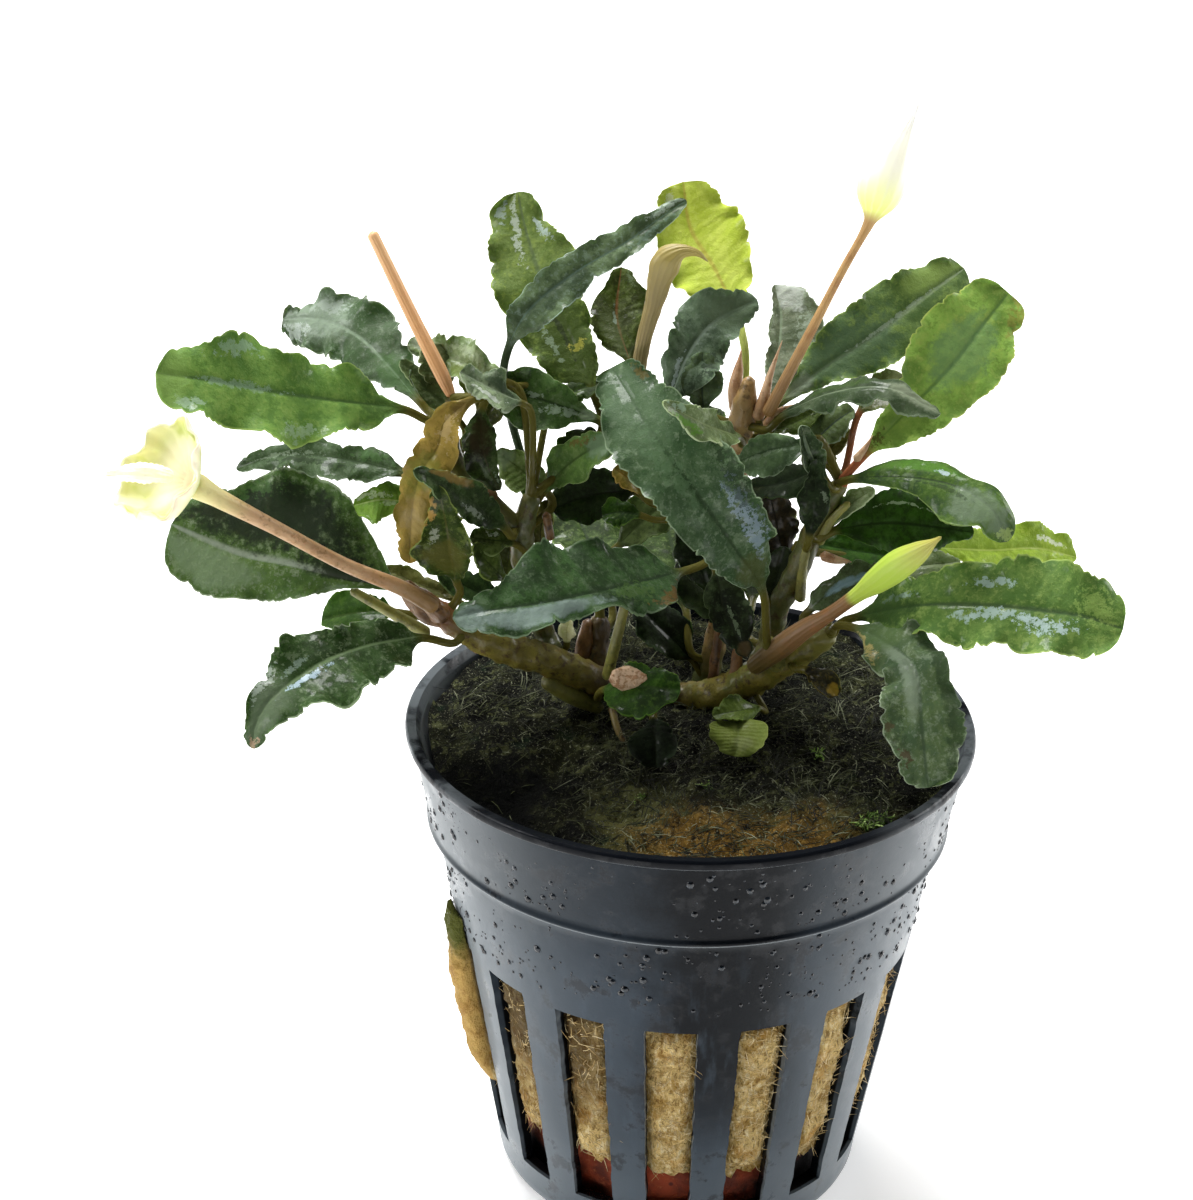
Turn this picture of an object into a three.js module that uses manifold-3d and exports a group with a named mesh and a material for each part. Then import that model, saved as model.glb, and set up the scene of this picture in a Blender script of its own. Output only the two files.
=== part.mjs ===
// A lamandau purple bucephalandra, an aquarium plant, growing out of a rockwool plug in its net pot.
// Millimetres, +Z up. The origin is the middle of the pot's flat base and the side shown in the
// photograph faces -Y. Every leaf, stem and flower is a closed solid of its own.
import * as THREE from 'three';
import { mergeVertices } from 'three/addons/utils/BufferGeometryUtils.js';
import Module from 'manifold-3d';

const wasm = await Module();
wasm.setup();

// Sizes of the net pot, a five centimetre one.
const POT_HEIGHT = 45;
const RIM_RADIUS = 25;
const RIM_INNER_RADIUS = 23.9;
const LIP_HEIGHT = 0.9;
const COLLAR_RADIUS = 24.4;
const COLLAR_FOOT_RADIUS = 22.8;
const COLLAR_FOOT_Z = 35.3;
const BODY_TOP_RADIUS = 22.35;
const BODY_FOOT_RADIUS = 16.9;
const BASE_THICKNESS = 1.6;
const WALL = 1.1;
const POT_SEGMENTS = 36;

// The slots in the wall of the pot, and the ones in its base.
const SLOT_COUNT = 16;
const SLOT_TOP_Z = 25.8;
const SLOT_FOOT_Z = 4;
const SLOT_HALF_ANGLE = 6.3;
const FIRST_SLOT_ANGLE = -91.8;
const BASE_SLOT_COUNT = 8;
const BASE_SLOT_INNER = 6.5;
const BASE_SLOT_OUTER = 13;
const BASE_SLOT_HALF_ANGLE = 7;

// The rockwool plug and the clay weight below it.
const WOOL_TOP_Z = 44.6;
const WOOL_FALL = 0.17;
const WOOL_FOOT_Z = 8;
const WOOL_GAP = 0.45;
const STRIP_SLOT = 13;
const STRIP_HALF_ANGLE = 5;
const STRIP_ROOT_RADIUS = 15;
// Height of each level of the strip and how far from the pot's axis it reaches there.
const STRIP_LEVELS = [[10.6, 18.3], [12.6, 19.7], [15, 20.4], [20, 21.3], [23.5, 21.9], [25.3, 21.9]];
const CLAY_TOP_Z = 7.5;
const CLAY_RADIUS = 15.1;

// Room kept between neighbouring pieces, and the thickness of the leaves.
const CLEARANCE = 0.3;
const MIDRIB_HALF = 0.36;
const MARGIN_HALF = 0.22;

// Points of the plant are measured on the plane through the pot's axis that faces the photograph,
// looked at from here. A point [across, depth, up] lies on the line of sight through that place of
// the plane, at its own depth behind the plane or, with a minus, in front of it.
const EYE = new THREE.Vector3(0, -189.6, 143.84);

function seen([across, depth, up]) {
  const reach = 1 + depth / -EYE.y;
  return new THREE.Vector3(across * reach, depth, EYE.z + (up - EYE.z) * reach);
}

// A leaf seen at a slant is as much wider as its slant takes off, down to this share of its width.
const LEAST_SEEN_SHARE = 0.78;

// Colours of the surfaces.
const FINISH = {
  pot: { color: 0x2b3036, roughness: 0.42 },
  wool: { color: 0x3a3524, roughness: 1 },
  clay: { color: 0x7a3f22, roughness: 0.9 },
  bright: { color: 0x5d8433, roughness: 0.42 },
  green: { color: 0x3f6130, roughness: 0.4 },
  dark: { color: 0x26371f, roughness: 0.38 },
  grey: { color: 0x5b6f5a, roughness: 0.36 },
  yellow: { color: 0xa3b447, roughness: 0.5 },
  withered: { color: 0x8a7434, roughness: 0.55 },
  stem: { color: 0x6f6130, roughness: 0.55 },
  stalk: { color: 0xc08a4e, roughness: 0.5 },
  flower: { color: 0xefe7c0, roughness: 0.55 },
  bud: { color: 0xb9cf45, roughness: 0.45 },
  scrap: { color: 0xd9b189, roughness: 0.7 },
};

// Manifold solids and three.js geometries hold the same triangles.
function toSolid(positions, triangles) {
  const geometry = new THREE.BufferGeometry();
  geometry.setAttribute('position', new THREE.Float32BufferAttribute(positions, 3));
  geometry.setIndex(triangles);
  return geometryToSolid(geometry);
}

function geometryToSolid(source) {
  const geometry = source.clone();
  geometry.deleteAttribute('normal');
  geometry.deleteAttribute('uv');
  const merged = mergeVertices(geometry, 1e-5);
  const mesh = new wasm.Mesh({
    numProp: 3,
    vertProperties: new Float32Array(merged.attributes.position.array),
    triVerts: new Uint32Array(merged.index.array),
  });
  return new wasm.Manifold(mesh);
}

// The largest connected body of a solid, as a geometry. Slivers cut off by a neighbour are dropped.
function largestBody(solid) {
  const { vertProperties, triVerts, numProp } = solid.getMesh();
  const parent = Array.from({ length: vertProperties.length / numProp }, (_, i) => i);
  const root = (i) => {
    while (parent[i] !== i) {
      parent[i] = parent[parent[i]];
      i = parent[i];
    }
    return i;
  };
  for (let t = 0; t < triVerts.length; t += 3) {
    parent[root(triVerts[t])] = root(triVerts[t + 1]);
    parent[root(triVerts[t + 1])] = root(triVerts[t + 2]);
  }
  const volumes = new Map();
  const corner = (i) => new THREE.Vector3().fromArray(vertProperties, i * numProp);
  for (let t = 0; t < triVerts.length; t += 3) {
    const [a, b, c] = [corner(triVerts[t]), corner(triVerts[t + 1]), corner(triVerts[t + 2])];
    const key = root(triVerts[t]);
    volumes.set(key, (volumes.get(key) ?? 0) + a.dot(b.cross(c)) / 6);
  }
  const [best] = [...volumes].sort((p, q) => q[1] - p[1])[0];
  const positions = [];
  const index = [];
  const renamed = new Map();
  for (let t = 0; t < triVerts.length; t += 3) {
    if (root(triVerts[t]) !== best) continue;
    for (let k = 0; k < 3; k += 1) {
      const v = triVerts[t + k];
      if (!renamed.has(v)) {
        renamed.set(v, positions.length / 3);
        positions.push(...corner(v).toArray());
      }
      index.push(renamed.get(v));
    }
  }
  const geometry = new THREE.BufferGeometry();
  geometry.setAttribute('position', new THREE.Float32BufferAttribute(positions, 3));
  geometry.setIndex(index);
  geometry.computeVertexNormals();
  return { geometry, volume: volumes.get(best) };
}

// Closes a row of equal rings of points into a solid skin with a fan over each end.
function skin(rings) {
  const sides = rings[0].length;
  const positions = rings.flat().flatMap((p) => p.toArray());
  const triangles = [];
  for (let r = 0; r + 1 < rings.length; r += 1) {
    for (let s = 0; s < sides; s += 1) {
      const a = r * sides + s;
      const b = r * sides + ((s + 1) % sides);
      triangles.push(a, b, b + sides, a, b + sides, a + sides);
    }
  }
  const last = (rings.length - 1) * sides;
  for (let s = 1; s + 1 < sides; s += 1) {
    triangles.push(0, s + 1, s, last, last + s, last + s + 1);
  }
  const points = rings.flat();
  let volume = 0;
  for (let t = 0; t < triangles.length; t += 3) {
    const [a, b, c] = [0, 1, 2].map((k) => points[triangles[t + k]].clone().sub(points[0]));
    volume += a.dot(b.cross(c));
  }
  if (volume < 0) triangles.reverse();
  return toSolid(positions, triangles);
}

// A smooth line through measured points, walked by its length.
function walkLine(points) {
  const curve = new THREE.CatmullRomCurve3(points.map(seen), false, 'centripetal');
  const steps = 40 * (points.length - 1);
  const samples = Array.from({ length: steps + 1 }, (_, i) => curve.getPoint(i / steps));
  const lengths = [0];
  for (let i = 1; i <= steps; i += 1) {
    lengths.push(lengths[i - 1] + samples[i].distanceTo(samples[i - 1]));
  }
  const at = (length) => {
    let i = 1;
    while (i < steps && lengths[i] < length) i += 1;
    const part = (length - lengths[i - 1]) / (lengths[i] - lengths[i - 1]);
    return samples[i - 1].clone().lerp(samples[i], part);
  };
  const total = lengths[steps];
  const direction = (length) => {
    const from = THREE.MathUtils.clamp(length, 0.2, total - 0.2);
    return at(from + 0.2).sub(at(from - 0.2)).normalize();
  };
  return { at, direction, total, lengthTo: (index) => lengths[40 * index] };
}

// A stem, stalk or bud: a round bar along a line, with a radius at each measured point.
function bar({ points, radii, sides = 6, flat = 1 }, grow) {
  const line = walkLine(points);
  const rings = [];
  const stops = 2 * (points.length - 1);
  for (let k = 0; k <= stops; k += 1) {
    const index = Math.min(Math.floor(k / 2), points.length - 2);
    const part = k / 2 - index;
    const length = line.lengthTo(index) * (1 - part) + line.lengthTo(index + 1) * part;
    const radius = radii[index] * (1 - part) + radii[index + 1] * part + grow;
    const centre = line.at(length);
    const ahead = line.direction(length);
    if (k === 0) centre.addScaledVector(ahead, -grow);
    if (k === stops) centre.addScaledVector(ahead, grow);
    const front = new THREE.Vector3(0, -1, 0.3).projectOnPlane(ahead).normalize();
    const side = ahead.clone().cross(front);
    rings.push(Array.from({ length: sides }, (_, s) => {
      const turn = (2 * Math.PI * s) / sides;
      return centre.clone()
        .addScaledVector(side, radius * Math.cos(turn))
        .addScaledVector(front, radius * Math.sin(turn) * flat);
    }));
  }
  return skin(rings);
}

// Half widths of a plain oval leaf at seven even places along its blade, per millimetre of width.
const OVAL = [0.42, 0.74, 0.93, 1, 0.98, 0.86, 0.6];

function widthTable(width) {
  const list = Array.isArray(width) ? width : OVAL.map((share) => share * width);
  return [0.45, ...list, 0];
}

// The half width at a place from 0 to 1 along the blade. The tip is rounded off like an ellipse.
function widthAt(table, place) {
  const x = THREE.MathUtils.clamp(place, 0, 1) * 8;
  if (x > 7) return table[7] * Math.sqrt(Math.max(0, 1 - (x - 7) ** 2));
  const i = Math.floor(x);
  return table[i] + (table[Math.min(i + 1, 7)] - table[i]) * (x - i);
}

// A leaf: a thin blade with a raised midrib on a round stalk. `points` runs from the foot of the
// stalk over the start of the blade (point number `blade`) to the tip. `left` and `right` are the
// half widths left and right of the midrib for someone looking at its face with the tip ahead,
// `face` is where the upper side looks, `fold` lifts the margins and `wave` ruffles them.
function leaf({ points, blade = 1, left, right, face, tipFace, fold = 0.15, wave = [0, 0], places }, grow) {
  const line = walkLine(points);
  const start = line.lengthTo(blade);
  const bladeLength = line.total - start;
  const leftTable = widthTable(left);
  const rightTable = widthTable(right);
  const stations = [];
  const stalkSteps = Math.max(1, Math.min(2, Math.round(start / 4)));
  for (let k = 0; k < stalkSteps; k += 1) stations.push({ length: (start * k) / stalkSteps, place: -1 });
  for (const place of places ?? [0, 0.125, 0.25, 0.375, 0.5, 0.625, 0.75, 0.875, 0.96, 1]) {
    stations.push({ length: start + place * bladeLength, place });
  }
  const baseFace = new THREE.Vector3(...face);
  const endFace = new THREE.Vector3(...(tipFace ?? face));
  const rings = stations.map(({ length, place }, number) => {
    const centre = line.at(length);
    const ahead = line.direction(length);
    const share = Math.max(0, place);
    const up = baseFace.clone().lerp(endFace, share).projectOnPlane(ahead).normalize();
    const toLeft = up.clone().cross(ahead).normalize();
    const sight = centre.clone().sub(EYE).normalize();
    const seenShare = Math.max(toLeft.clone().projectOnPlane(sight).length(), LEAST_SEEN_SHARE);
    const scale = (1 + centre.y / -EYE.y) / seenShare;
    if (number === 0) centre.addScaledVector(ahead, -grow);
    if (number === stations.length - 1) centre.addScaledVector(ahead, grow);
    const onStalk = place <= 0;
    const least = onStalk ? 0.42 : 0.14;
    const wl = Math.max(onStalk ? 0 : widthAt(leftTable, place) * scale, least) + grow;
    const wr = Math.max(onStalk ? 0 : widthAt(rightTable, place) * scale, least) + grow;
    const ripple = onStalk ? 0 : wave[0] * Math.sin(Math.PI * place);
    const liftLeft = onStalk ? 0 : fold * wl + ripple * Math.sin(2 * Math.PI * wave[1] * place);
    const liftRight = onStalk ? 0 : fold * wr + ripple * Math.sin(2 * Math.PI * wave[1] * place + 2);
    const middle = (onStalk ? 0.45 : MIDRIB_HALF) + grow;
    const edge = MARGIN_HALF + grow;
    const point = (sideways, upward) => centre.clone()
      .addScaledVector(toLeft, sideways)
      .addScaledVector(up, upward);
    return [
      point(wl, liftLeft + edge),
      point(wl, liftLeft - edge),
      point(0, -middle),
      point(-wr, liftRight - edge),
      point(-wr, liftRight + edge),
      point(0, middle),
    ];
  });
  return skin(rings);
}

// The open spathe of the left flower: a thin trumpet at the end of its stalk, with a long lip.
const TRUMPET = {
  neck: [-41.6, -12.4, 64.9],
  mouth: [-46.6, -14.6, 66.1],
  radii: [0.75, 1.5, 2.6, 3.7, 4.5],
  wall: 0.28,
};

function trumpet(grow) {
  const neck = seen(TRUMPET.neck);
  const mouth = seen(TRUMPET.mouth);
  const axis = mouth.clone().sub(neck);
  const ahead = axis.clone().normalize();
  const up = new THREE.Vector3(0, 0, 1).projectOnPlane(ahead).normalize();
  const side = ahead.clone().cross(up);
  const sides = 12;
  const ring = (share, radius, push) => Array.from({ length: sides }, (_, s) => {
    const turn = (2 * Math.PI * s) / sides;
    const ruffle = 1 + 0.1 * share * Math.sin(3 * turn + 0.6);
    const lip = 1.1 * share * share * Math.cos(turn - 2.4) + push;
    return neck.clone()
      .addScaledVector(axis, share)
      .addScaledVector(ahead, lip)
      .addScaledVector(up, radius * ruffle * Math.cos(turn))
      .addScaledVector(side, radius * ruffle * Math.sin(turn));
  });
  const last = TRUMPET.radii.length - 1;
  const outer = TRUMPET.radii.map((radius, i) => ring(i / last, radius + TRUMPET.wall + grow, 0));
  const inner = TRUMPET.radii.map((radius, i) => (
    ring(0.14 + (0.86 * i) / last, Math.max(radius - TRUMPET.wall - grow, 0.15), grow)
  ));
  return skin([...outer, ...inner.reverse()]);
}

// Stems, stalks and flower parts, from the rhizome outwards.
const BARS = [
  {
    name: 'rhizome_right',
    finish: 'stem',
    points: [[-3.5, 4, 46.8], [0, 3.5, 46.8], [3, 2, 47.5], [6, 1, 49.3], [9, 0, 51.3], [12.2, -1, 53.6]],
    radii: [1.1, 1.3, 1.4, 1.45, 1.25, 0.9],
  },
  {
    name: 'stem_mid_left',
    finish: 'stem',
    points: [[-12.6, 2.4, 52], [-14, 2.2, 56], [-14.8, 2, 60.3], [-14.6, 2, 63], [-13.9, 2, 65.6]],
    radii: [0.9, 0.95, 1, 0.9, 0.8],
  },
  {
    name: 'stem_mid_left_branch',
    finish: 'stem',
    points: [[-16.2, 1.6, 63.3], [-18.2, 1.2, 65.3], [-20.3, 1, 67.6], [-21, 1, 71.5]],
    radii: [0.8, 0.8, 0.85, 0.7],
  },
  {
    name: 'stem_right_mid',
    finish: 'stem',
    points: [[6.6, 3.6, 52.3], [7.4, 3.4, 56.3], [8.8, 3, 59.5], [9.9, 2.6, 62.8], [11, 2.2, 65.7],
      [12.2, 1.8, 67.6]],
    radii: [1, 1.05, 1, 0.95, 0.9, 0.7],
  },
  {
    name: 'stem_top',
    finish: 'stem',
    points: [[1.2, 7.2, 48.5], [1.7, 6.8, 50.6], [2.6, 6.6, 57], [3, 6, 64], [3.4, 5, 71.4], [3.7, 4.6, 74.4],
      [4, 4.6, 76.6]],
    radii: [1.1, 1, 0.9, 0.9, 1.1, 1, 0.5],
  },
  {
    name: 'flower_stalk_bare',
    finish: 'stalk',
    points: [[-20.7, 1.6, 74], [-21.5, 1.8, 75.9], [-24, 3.2, 81.2], [-26.8, 5, 87.4]],
    radii: [0.3, 0.52, 0.46, 0.42],
  },
  {
    name: 'flower_old_center',
    finish: 'withered',
    points: [[-5.3, 2.4, 75.6], [-4.9, 2.4, 79], [-4.1, 2.4, 82.5], [-3.4, 2.4, 85.2], [-2.4, 2.4, 86.9],
      [-0.9, 2.2, 87.2], [-0.1, 2, 86.4]],
    radii: [0.5, 0.75, 0.95, 1.3, 1.25, 0.6, 0.2],
    flat: 0.7,
  },
  {
    name: 'flower_right',
    finish: 'flower',
    points: [[5.5, 3, 73.2], [8.5, 3.2, 80], [11, 4, 85.7], [13, 5, 90], [13.5, 5.4, 91.8],
      [13.9, 5.8, 93.6], [14.5, 6.2, 95.6], [15.3, 6.6, 97.4], [16.4, 7, 99.9]],
    radii: [0.6, 0.5, 0.42, 0.5, 1.45, 1.85, 1.5, 0.75, 0.12],
  },
  {
    name: 'flower_bud_right',
    finish: 'bud',
    points: [[9.2, -3.2, 53.4], [11.8, -5, 55.3], [14, -7, 57.2], [15.5, -8.4, 58.5], [17.3, -10, 60.1],
      [19, -11.4, 61.4], [20.7, -12.6, 62.8]],
    radii: [0.7, 0.6, 0.65, 1.05, 1.25, 0.85, 0.15],
  },
  {
    name: 'spadix_left',
    finish: 'flower',
    points: [[-43.8, -13.6, 65.4], [-47, -15, 65.6], [-50.6, -16.4, 65.4]],
    radii: [0.5, 0.75, 0.4],
  },
];

// The left rhizome, the stump that stands on it, and the stalk below the open flower on the left.
const LEFT_RHIZOME = {
  points: [[-6.6, 2, 46.7], [-9, 1, 48.4], [-12.5, 0, 49.8], [-16.5, -1, 51], [-20, -1.5, 52.7],
    [-23.4, -2, 55.3]],
  radii: [1, 1.3, 1.35, 1.3, 1.2, 0.9],
};

const STUMP = {
  points: [[-8.2, 2.6, 48.6], [-8.2, 4, 51.6], [-8.1, 4.4, 54.4]],
  radii: [1, 1.05, 0.8],
};

const LEFT_STALK = {
  points: [[-22.2, -4.6, 54.5], [-25, -5.4, 56.2], [-30, -7.2, 58.3], [-36, -9.8, 61.6],
    [-41.8, -12.5, 64.9]],
  radii: [0.75, 0.68, 0.58, 0.62, 1],
};

// How the upper side of a leaf looks out when it lies rather flat, and the sections of a short leaf.
const HIGH = [0, -0.55, 0.83];
const SHORT = [0, 0.2, 0.4, 0.6, 0.8, 0.95, 1];

// The leaves, those in front first: a leaf further back gives way where two would touch.
const LEAVES = [
  {
    name: 'leaf_center_large',
    finish: 'green',
    points: [[6.7, -1.6, 51.6], [5.9, -2.6, 57.1], [3.4, -5.4, 61], [0.3, -7, 65.5], [-3.2, -5.4, 70.3],
      [-7.4, 1, 77]],
    left: [1.8, 2.6, 3.1, 3.4, 3.7, 3.9, 2.6],
    right: [2.4, 3.7, 4.2, 4.5, 4.4, 3.8, 2.7],
    face: [-0.1, -0.8, 0.6],
    fold: 0.12,
    wave: [0.3, 3],
  },
  {
    name: 'leaf_front_left',
    finish: 'green',
    points: [[0.8, 1.4, 59.6], [-1, 0, 58.8], [-4.6, -4, 57.7], [-9, -8, 56.4], [-13.3, -10.6, 55.3],
      [-17.6, -12.4, 54.5], [-20.8, -13.6, 53.6]],
    left: [2.4, 3, 2.3, 1.7, 1.8, 2.6, 2.2],
    right: [3, 3.9, 4.5, 5, 5, 3.2, 1.5],
    face: [-0.1, -0.7, 0.72],
    fold: 0.05,
    wave: [0.4, 3],
  },
  {
    name: 'leaf_front_round',
    finish: 'green',
    points: [[-8.1, 0.4, 46.4], [-7.5, -3, 47.2], [-4.2, -5, 47.6], [-0.9, -5.4, 47.4]],
    left: [1.2, 1.7, 1.8, 1.8, 1.8, 1.7, 1.2],
    right: [1.2, 2, 2.5, 2.8, 2.9, 2.5, 1.6],
    face: HIGH,
    places: SHORT,
  },
  {
    name: 'leaf_front_hanging',
    finish: 'dark',
    points: [[-3.4, -3, 45.4], [-3.2, -4.8, 44.4], [-3, -7, 42], [-2.9, -8, 39.6]],
    left: 1.9,
    right: 2.3,
    face: [0, -0.95, 0.3],
    places: SHORT,
  },
  {
    name: 'leaf_front_pale',
    finish: 'yellow',
    points: [[3.6, -1.6, 46], [4, -3, 45.4], [4.3, -4.6, 43.9], [4.3, -5.6, 42.4], [4.2, -6.2, 41]],
    left: [1.6, 2.2, 2.5, 2.5, 2.4, 2.1, 1.5],
    right: [1.6, 2.2, 2.5, 2.5, 2.4, 2.1, 1.5],
    face: [0, -0.7, 0.71],
    places: SHORT,
  },
  {
    name: 'leaf_front_small_right',
    finish: 'dark',
    points: [[8.9, -1.8, 49.9], [10, -2.8, 49.8], [11.6, -4, 48.9], [12.8, -4.6, 47.4]],
    left: 0.9,
    right: 1.2,
    face: HIGH,
    places: SHORT,
  },
  {
    name: 'leaf_right_drooping',
    finish: 'grey',
    points: [[12.6, -3.6, 54.2], [14, -4.4, 54], [17.6, -8, 52.2], [19.6, -11.6, 49.6],
      [20.2, -14, 45.7], [20.7, -15.4, 42.2], [21.3, -16, 38.6]],
    left: [1.9, 2.5, 2.9, 2.7, 3.5, 3.7, 3],
    right: [1.9, 2.6, 2.3, 3, 3.5, 3.3, 2.3],
    face: [-0.25, -0.6, 0.76],
    tipFace: [0.2, -0.9, 0.4],
    fold: 0.1,
    wave: [0.35, 4],
  },
  {
    name: 'leaf_right_large',
    finish: 'green',
    points: [[12.9, -2, 54.6], [13.9, -2.6, 55], [19, -6, 56.3], [24.5, -8.4, 56.6], [29.5, -10, 56.3],
      [33.5, -11, 55.8], [36.8, -11.4, 54.8]],
    left: [1.9, 2.5, 3.1, 3.7, 4.2, 4.5, 3.7],
    right: [1.5, 2.3, 3, 3.8, 3.5, 3.8, 3.4],
    face: [0.1, -0.75, 0.65],
    fold: 0.05,
    wave: [0.35, 4],
  },
  {
    name: 'leaf_left_lower',
    finish: 'green',
    points: [[-20.8, -4, 51.2], [-23.5, -5, 51.6], [-30.1, -9.6, 50], [-34.3, -12.6, 47.4],
      [-37, -14.6, 45], [-38.5, -16, 42.4], [-38.9, -17, 40]],
    left: [2.8, 2.9, 3.7, 4.5, 3.6, 2.7, 1.7],
    right: [1.7, 2.3, 2, 3.4, 3, 1.9, 1.2],
    face: [-0.2, -0.7, 0.68],
    fold: 0.14,
    wave: [0.35, 5],
  },
  {
    name: 'leaf_left_large_dark',
    finish: 'dark',
    points: [[-23.6, -1.6, 55.2], [-25.2, -2, 56.2], [-30, -2.6, 57], [-34.9, -2.4, 58.2],
      [-38.7, -2, 58.9], [-41.6, -1.6, 60], [-45, -1, 61.6]],
    left: [0.5, 0.9, 2.4, 3.3, 3.6, 4.4, 4],
    right: [3.4, 6, 7.5, 8.2, 8, 6.6, 4.6],
    face: [-0.1, -0.85, 0.52],
    fold: -0.04,
    wave: [0.3, 3],
  },
  {
    name: 'leaf_left_curled',
    finish: 'dark',
    points: [[-20.2, -1.8, 56], [-20.5, -2.4, 57.2], [-20.9, -4, 59.5],
      [-21.3, -5.4, 62.5], [-22, -6, 66]],
    left: [1.2, 2.6, 3.4, 2.4, 1.9, 1.5, 0.9],
    right: [1, 1.5, 1.9, 2.1, 1.6, 1.3, 0.8],
    face: [-0.1, -0.85, 0.5],
    fold: 0.25,
  },
  {
    name: 'leaf_left_withered',
    finish: 'withered',
    points: [[-18.2, 0.4, 74], [-19, -0.4, 73.8], [-21.3, -2, 71.8], [-22, -2.6, 69.4],
      [-23.4, -3, 67.2], [-24.1, -3.2, 64.4], [-24.4, -3.4, 61.4], [-24.5, -3.6, 58.7]],
    left: [1, 1.6, 1.9, 1.8, 1.6, 1.5, 1.2],
    right: [1, 1.4, 1.5, 1.4, 1.4, 1.3, 1.1],
    face: [-0.1, -0.93, 0.35],
    fold: 0.12,
    wave: [0.3, 3],
  },
  {
    name: 'leaf_left_long_bright',
    finish: 'bright',
    points: [[-22.6, 0.6, 71.8], [-24.6, 0, 72.7], [-31, -3, 73.4], [-36, -5.4, 74], [-41, -7.4, 74.8],
      [-45.5, -9, 75.3]],
    left: [1.7, 2.4, 3.5, 4.3, 3.7, 3.3, 3.2],
    right: [1.4, 2.9, 3, 3.1, 4.3, 3.8, 2.6],
    face: [-0.15, -0.75, 0.65],
    fold: 0.1,
    wave: [0.3, 4],
  },
  {
    name: 'leaf_left_toothed',
    finish: 'grey',
    points: [[-22.6, 2.6, 72.6], [-23.5, 3.2, 73.6], [-26, 6, 76.6], [-28.4, 9, 79], [-31.6, 12, 80.4],
      [-34.6, 13.6, 80.3]],
    left: [0.9, 1.8, 2.4, 2.6, 2.6, 2.5, 2.2],
    right: [0.9, 2.1, 2.8, 3.2, 3.2, 2.6, 1.4],
    face: [-0.2, -0.8, 0.55],
    fold: -0.1,
    wave: [0.45, 5],
  },
  {
    name: 'leaf_left_narrow',
    finish: 'green',
    points: [[-22.9, 0.8, 66.6], [-24.6, 0.6, 67], [-30.5, 1.4, 68.2], [-35, 2.4, 68.3],
      [-39.1, 3.4, 67]],
    left: [1.1, 1.7, 2, 1.7, 1.4, 1.1, 0.7],
    right: [1.2, 1.4, 0.9, 1.6, 1.4, 0.9, 0.7],
    face: [-0.1, -0.7, 0.7],
    wave: [0.3, 5],
  },
  {
    name: 'leaf_left_small',
    finish: 'green',
    points: [[-22.6, 0.4, 64.6], [-24.4, 0, 64.4], [-27, -0.4, 64.5], [-29.2, -0.8, 63.9]],
    left: [0.9, 1, 1.2, 1.6, 2, 2.1, 1.3],
    right: [1.2, 1.4, 1.5, 1.3, 1, 0.8, 0.6],
    face: [-0.1, -0.75, 0.65],
    wave: [0.25, 2],
    places: SHORT,
  },
  {
    name: 'leaf_left_small_lower',
    finish: 'dark',
    points: [[-22.4, 0.6, 53.4], [-26, 0.4, 54], [-29, 0.6, 53.8], [-32.3, 1, 53]],
    left: [1, 1.3, 1.4, 1.5, 1.5, 1.4, 1.1],
    right: [0.9, 1.3, 1.6, 1.8, 1.8, 1.7, 1.3],
    face: HIGH,
    places: SHORT,
  },
  {
    name: 'leaf_left_inner_long',
    finish: 'dark',
    points: [[-15.7, -0.4, 61.5], [-16.3, -0.8, 62.3], [-18.4, -2.4, 64.1], [-20.5, -4.4, 65.5],
      [-22.5, -6.2, 66.7], [-24, -7, 67.3]],
    left: [0.9, 1.5, 1.6, 1.6, 1.5, 1.3, 0.9],
    right: [0.8, 1.4, 1.6, 1.5, 1.3, 1.1, 0.7],
    face: [-0.1, -0.8, 0.58],
    fold: 0.2,
    places: SHORT,
  },
  {
    name: 'leaf_left_inner_drooping',
    finish: 'dark',
    points: [[-17.8, 1.8, 74.2], [-18.2, 1, 73], [-18.2, -0.4, 70], [-17.6, -0.6, 67.6],
      [-16.7, -0.2, 65.8]],
    left: [0.8, 1.2, 1.2, 1.1, 0.9, 0.7, 0.5],
    right: [0.9, 1.5, 1.7, 1.7, 1.8, 1.5, 0.9],
    face: [0.1, -0.93, 0.35],
    fold: -0.15,
    places: SHORT,
  },
  {
    name: 'leaf_left_upper_toothed',
    finish: 'grey',
    points: [[-15.1, 4, 74.8], [-16.3, 4, 75.5], [-18.2, 4.6, 76.3], [-20.4, 5.8, 77.3],
      [-22.5, 6.8, 78], [-24.3, 7.6, 78.6]],
    left: [1, 1.4, 1.4, 1.3, 1.1, 1, 0.7],
    right: [1, 1.3, 2, 2.1, 1.6, 1.2, 0.8],
    face: [-0.1, -0.85, 0.5],
    wave: [0.35, 3],
    places: SHORT,
  },
  {
    name: 'leaf_center_small_pale',
    finish: 'yellow',
    points: [[3.6, 2.8, 70.6], [3.2, 0.6, 71.2], [0.3, -6, 72.3], [-3.1, -8.2, 74.1]],
    left: [0.7, 1.1, 1.5, 1.7, 1.6, 1.2, 0.7],
    right: [0.7, 1.2, 1.4, 1.4, 1.3, 1.1, 0.6],
    face: [0, -0.8, 0.6],
    places: SHORT,
  },
  {
    name: 'leaf_center_dark_small',
    finish: 'dark',
    points: [[9.8, 0.6, 71.4], [9.2, 0.2, 71], [6, -0.4, 70.2], [2.8, 0.6, 68.8]],
    left: [0.8, 1.4, 1.8, 2.1, 2.1, 1.7, 1],
    right: [0.5, 0.9, 1.2, 1.3, 1.3, 1, 0.6],
    face: [0.1, -0.85, 0.52],
    wave: [0.2, 2],
    places: SHORT,
  },
  {
    name: 'leaf_center_narrow',
    finish: 'dark',
    points: [[9.4, -0.4, 61.4], [9.6, -0.8, 62.6], [9.9, -1.2, 66], [9.8, -0.8, 69.5]],
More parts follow.
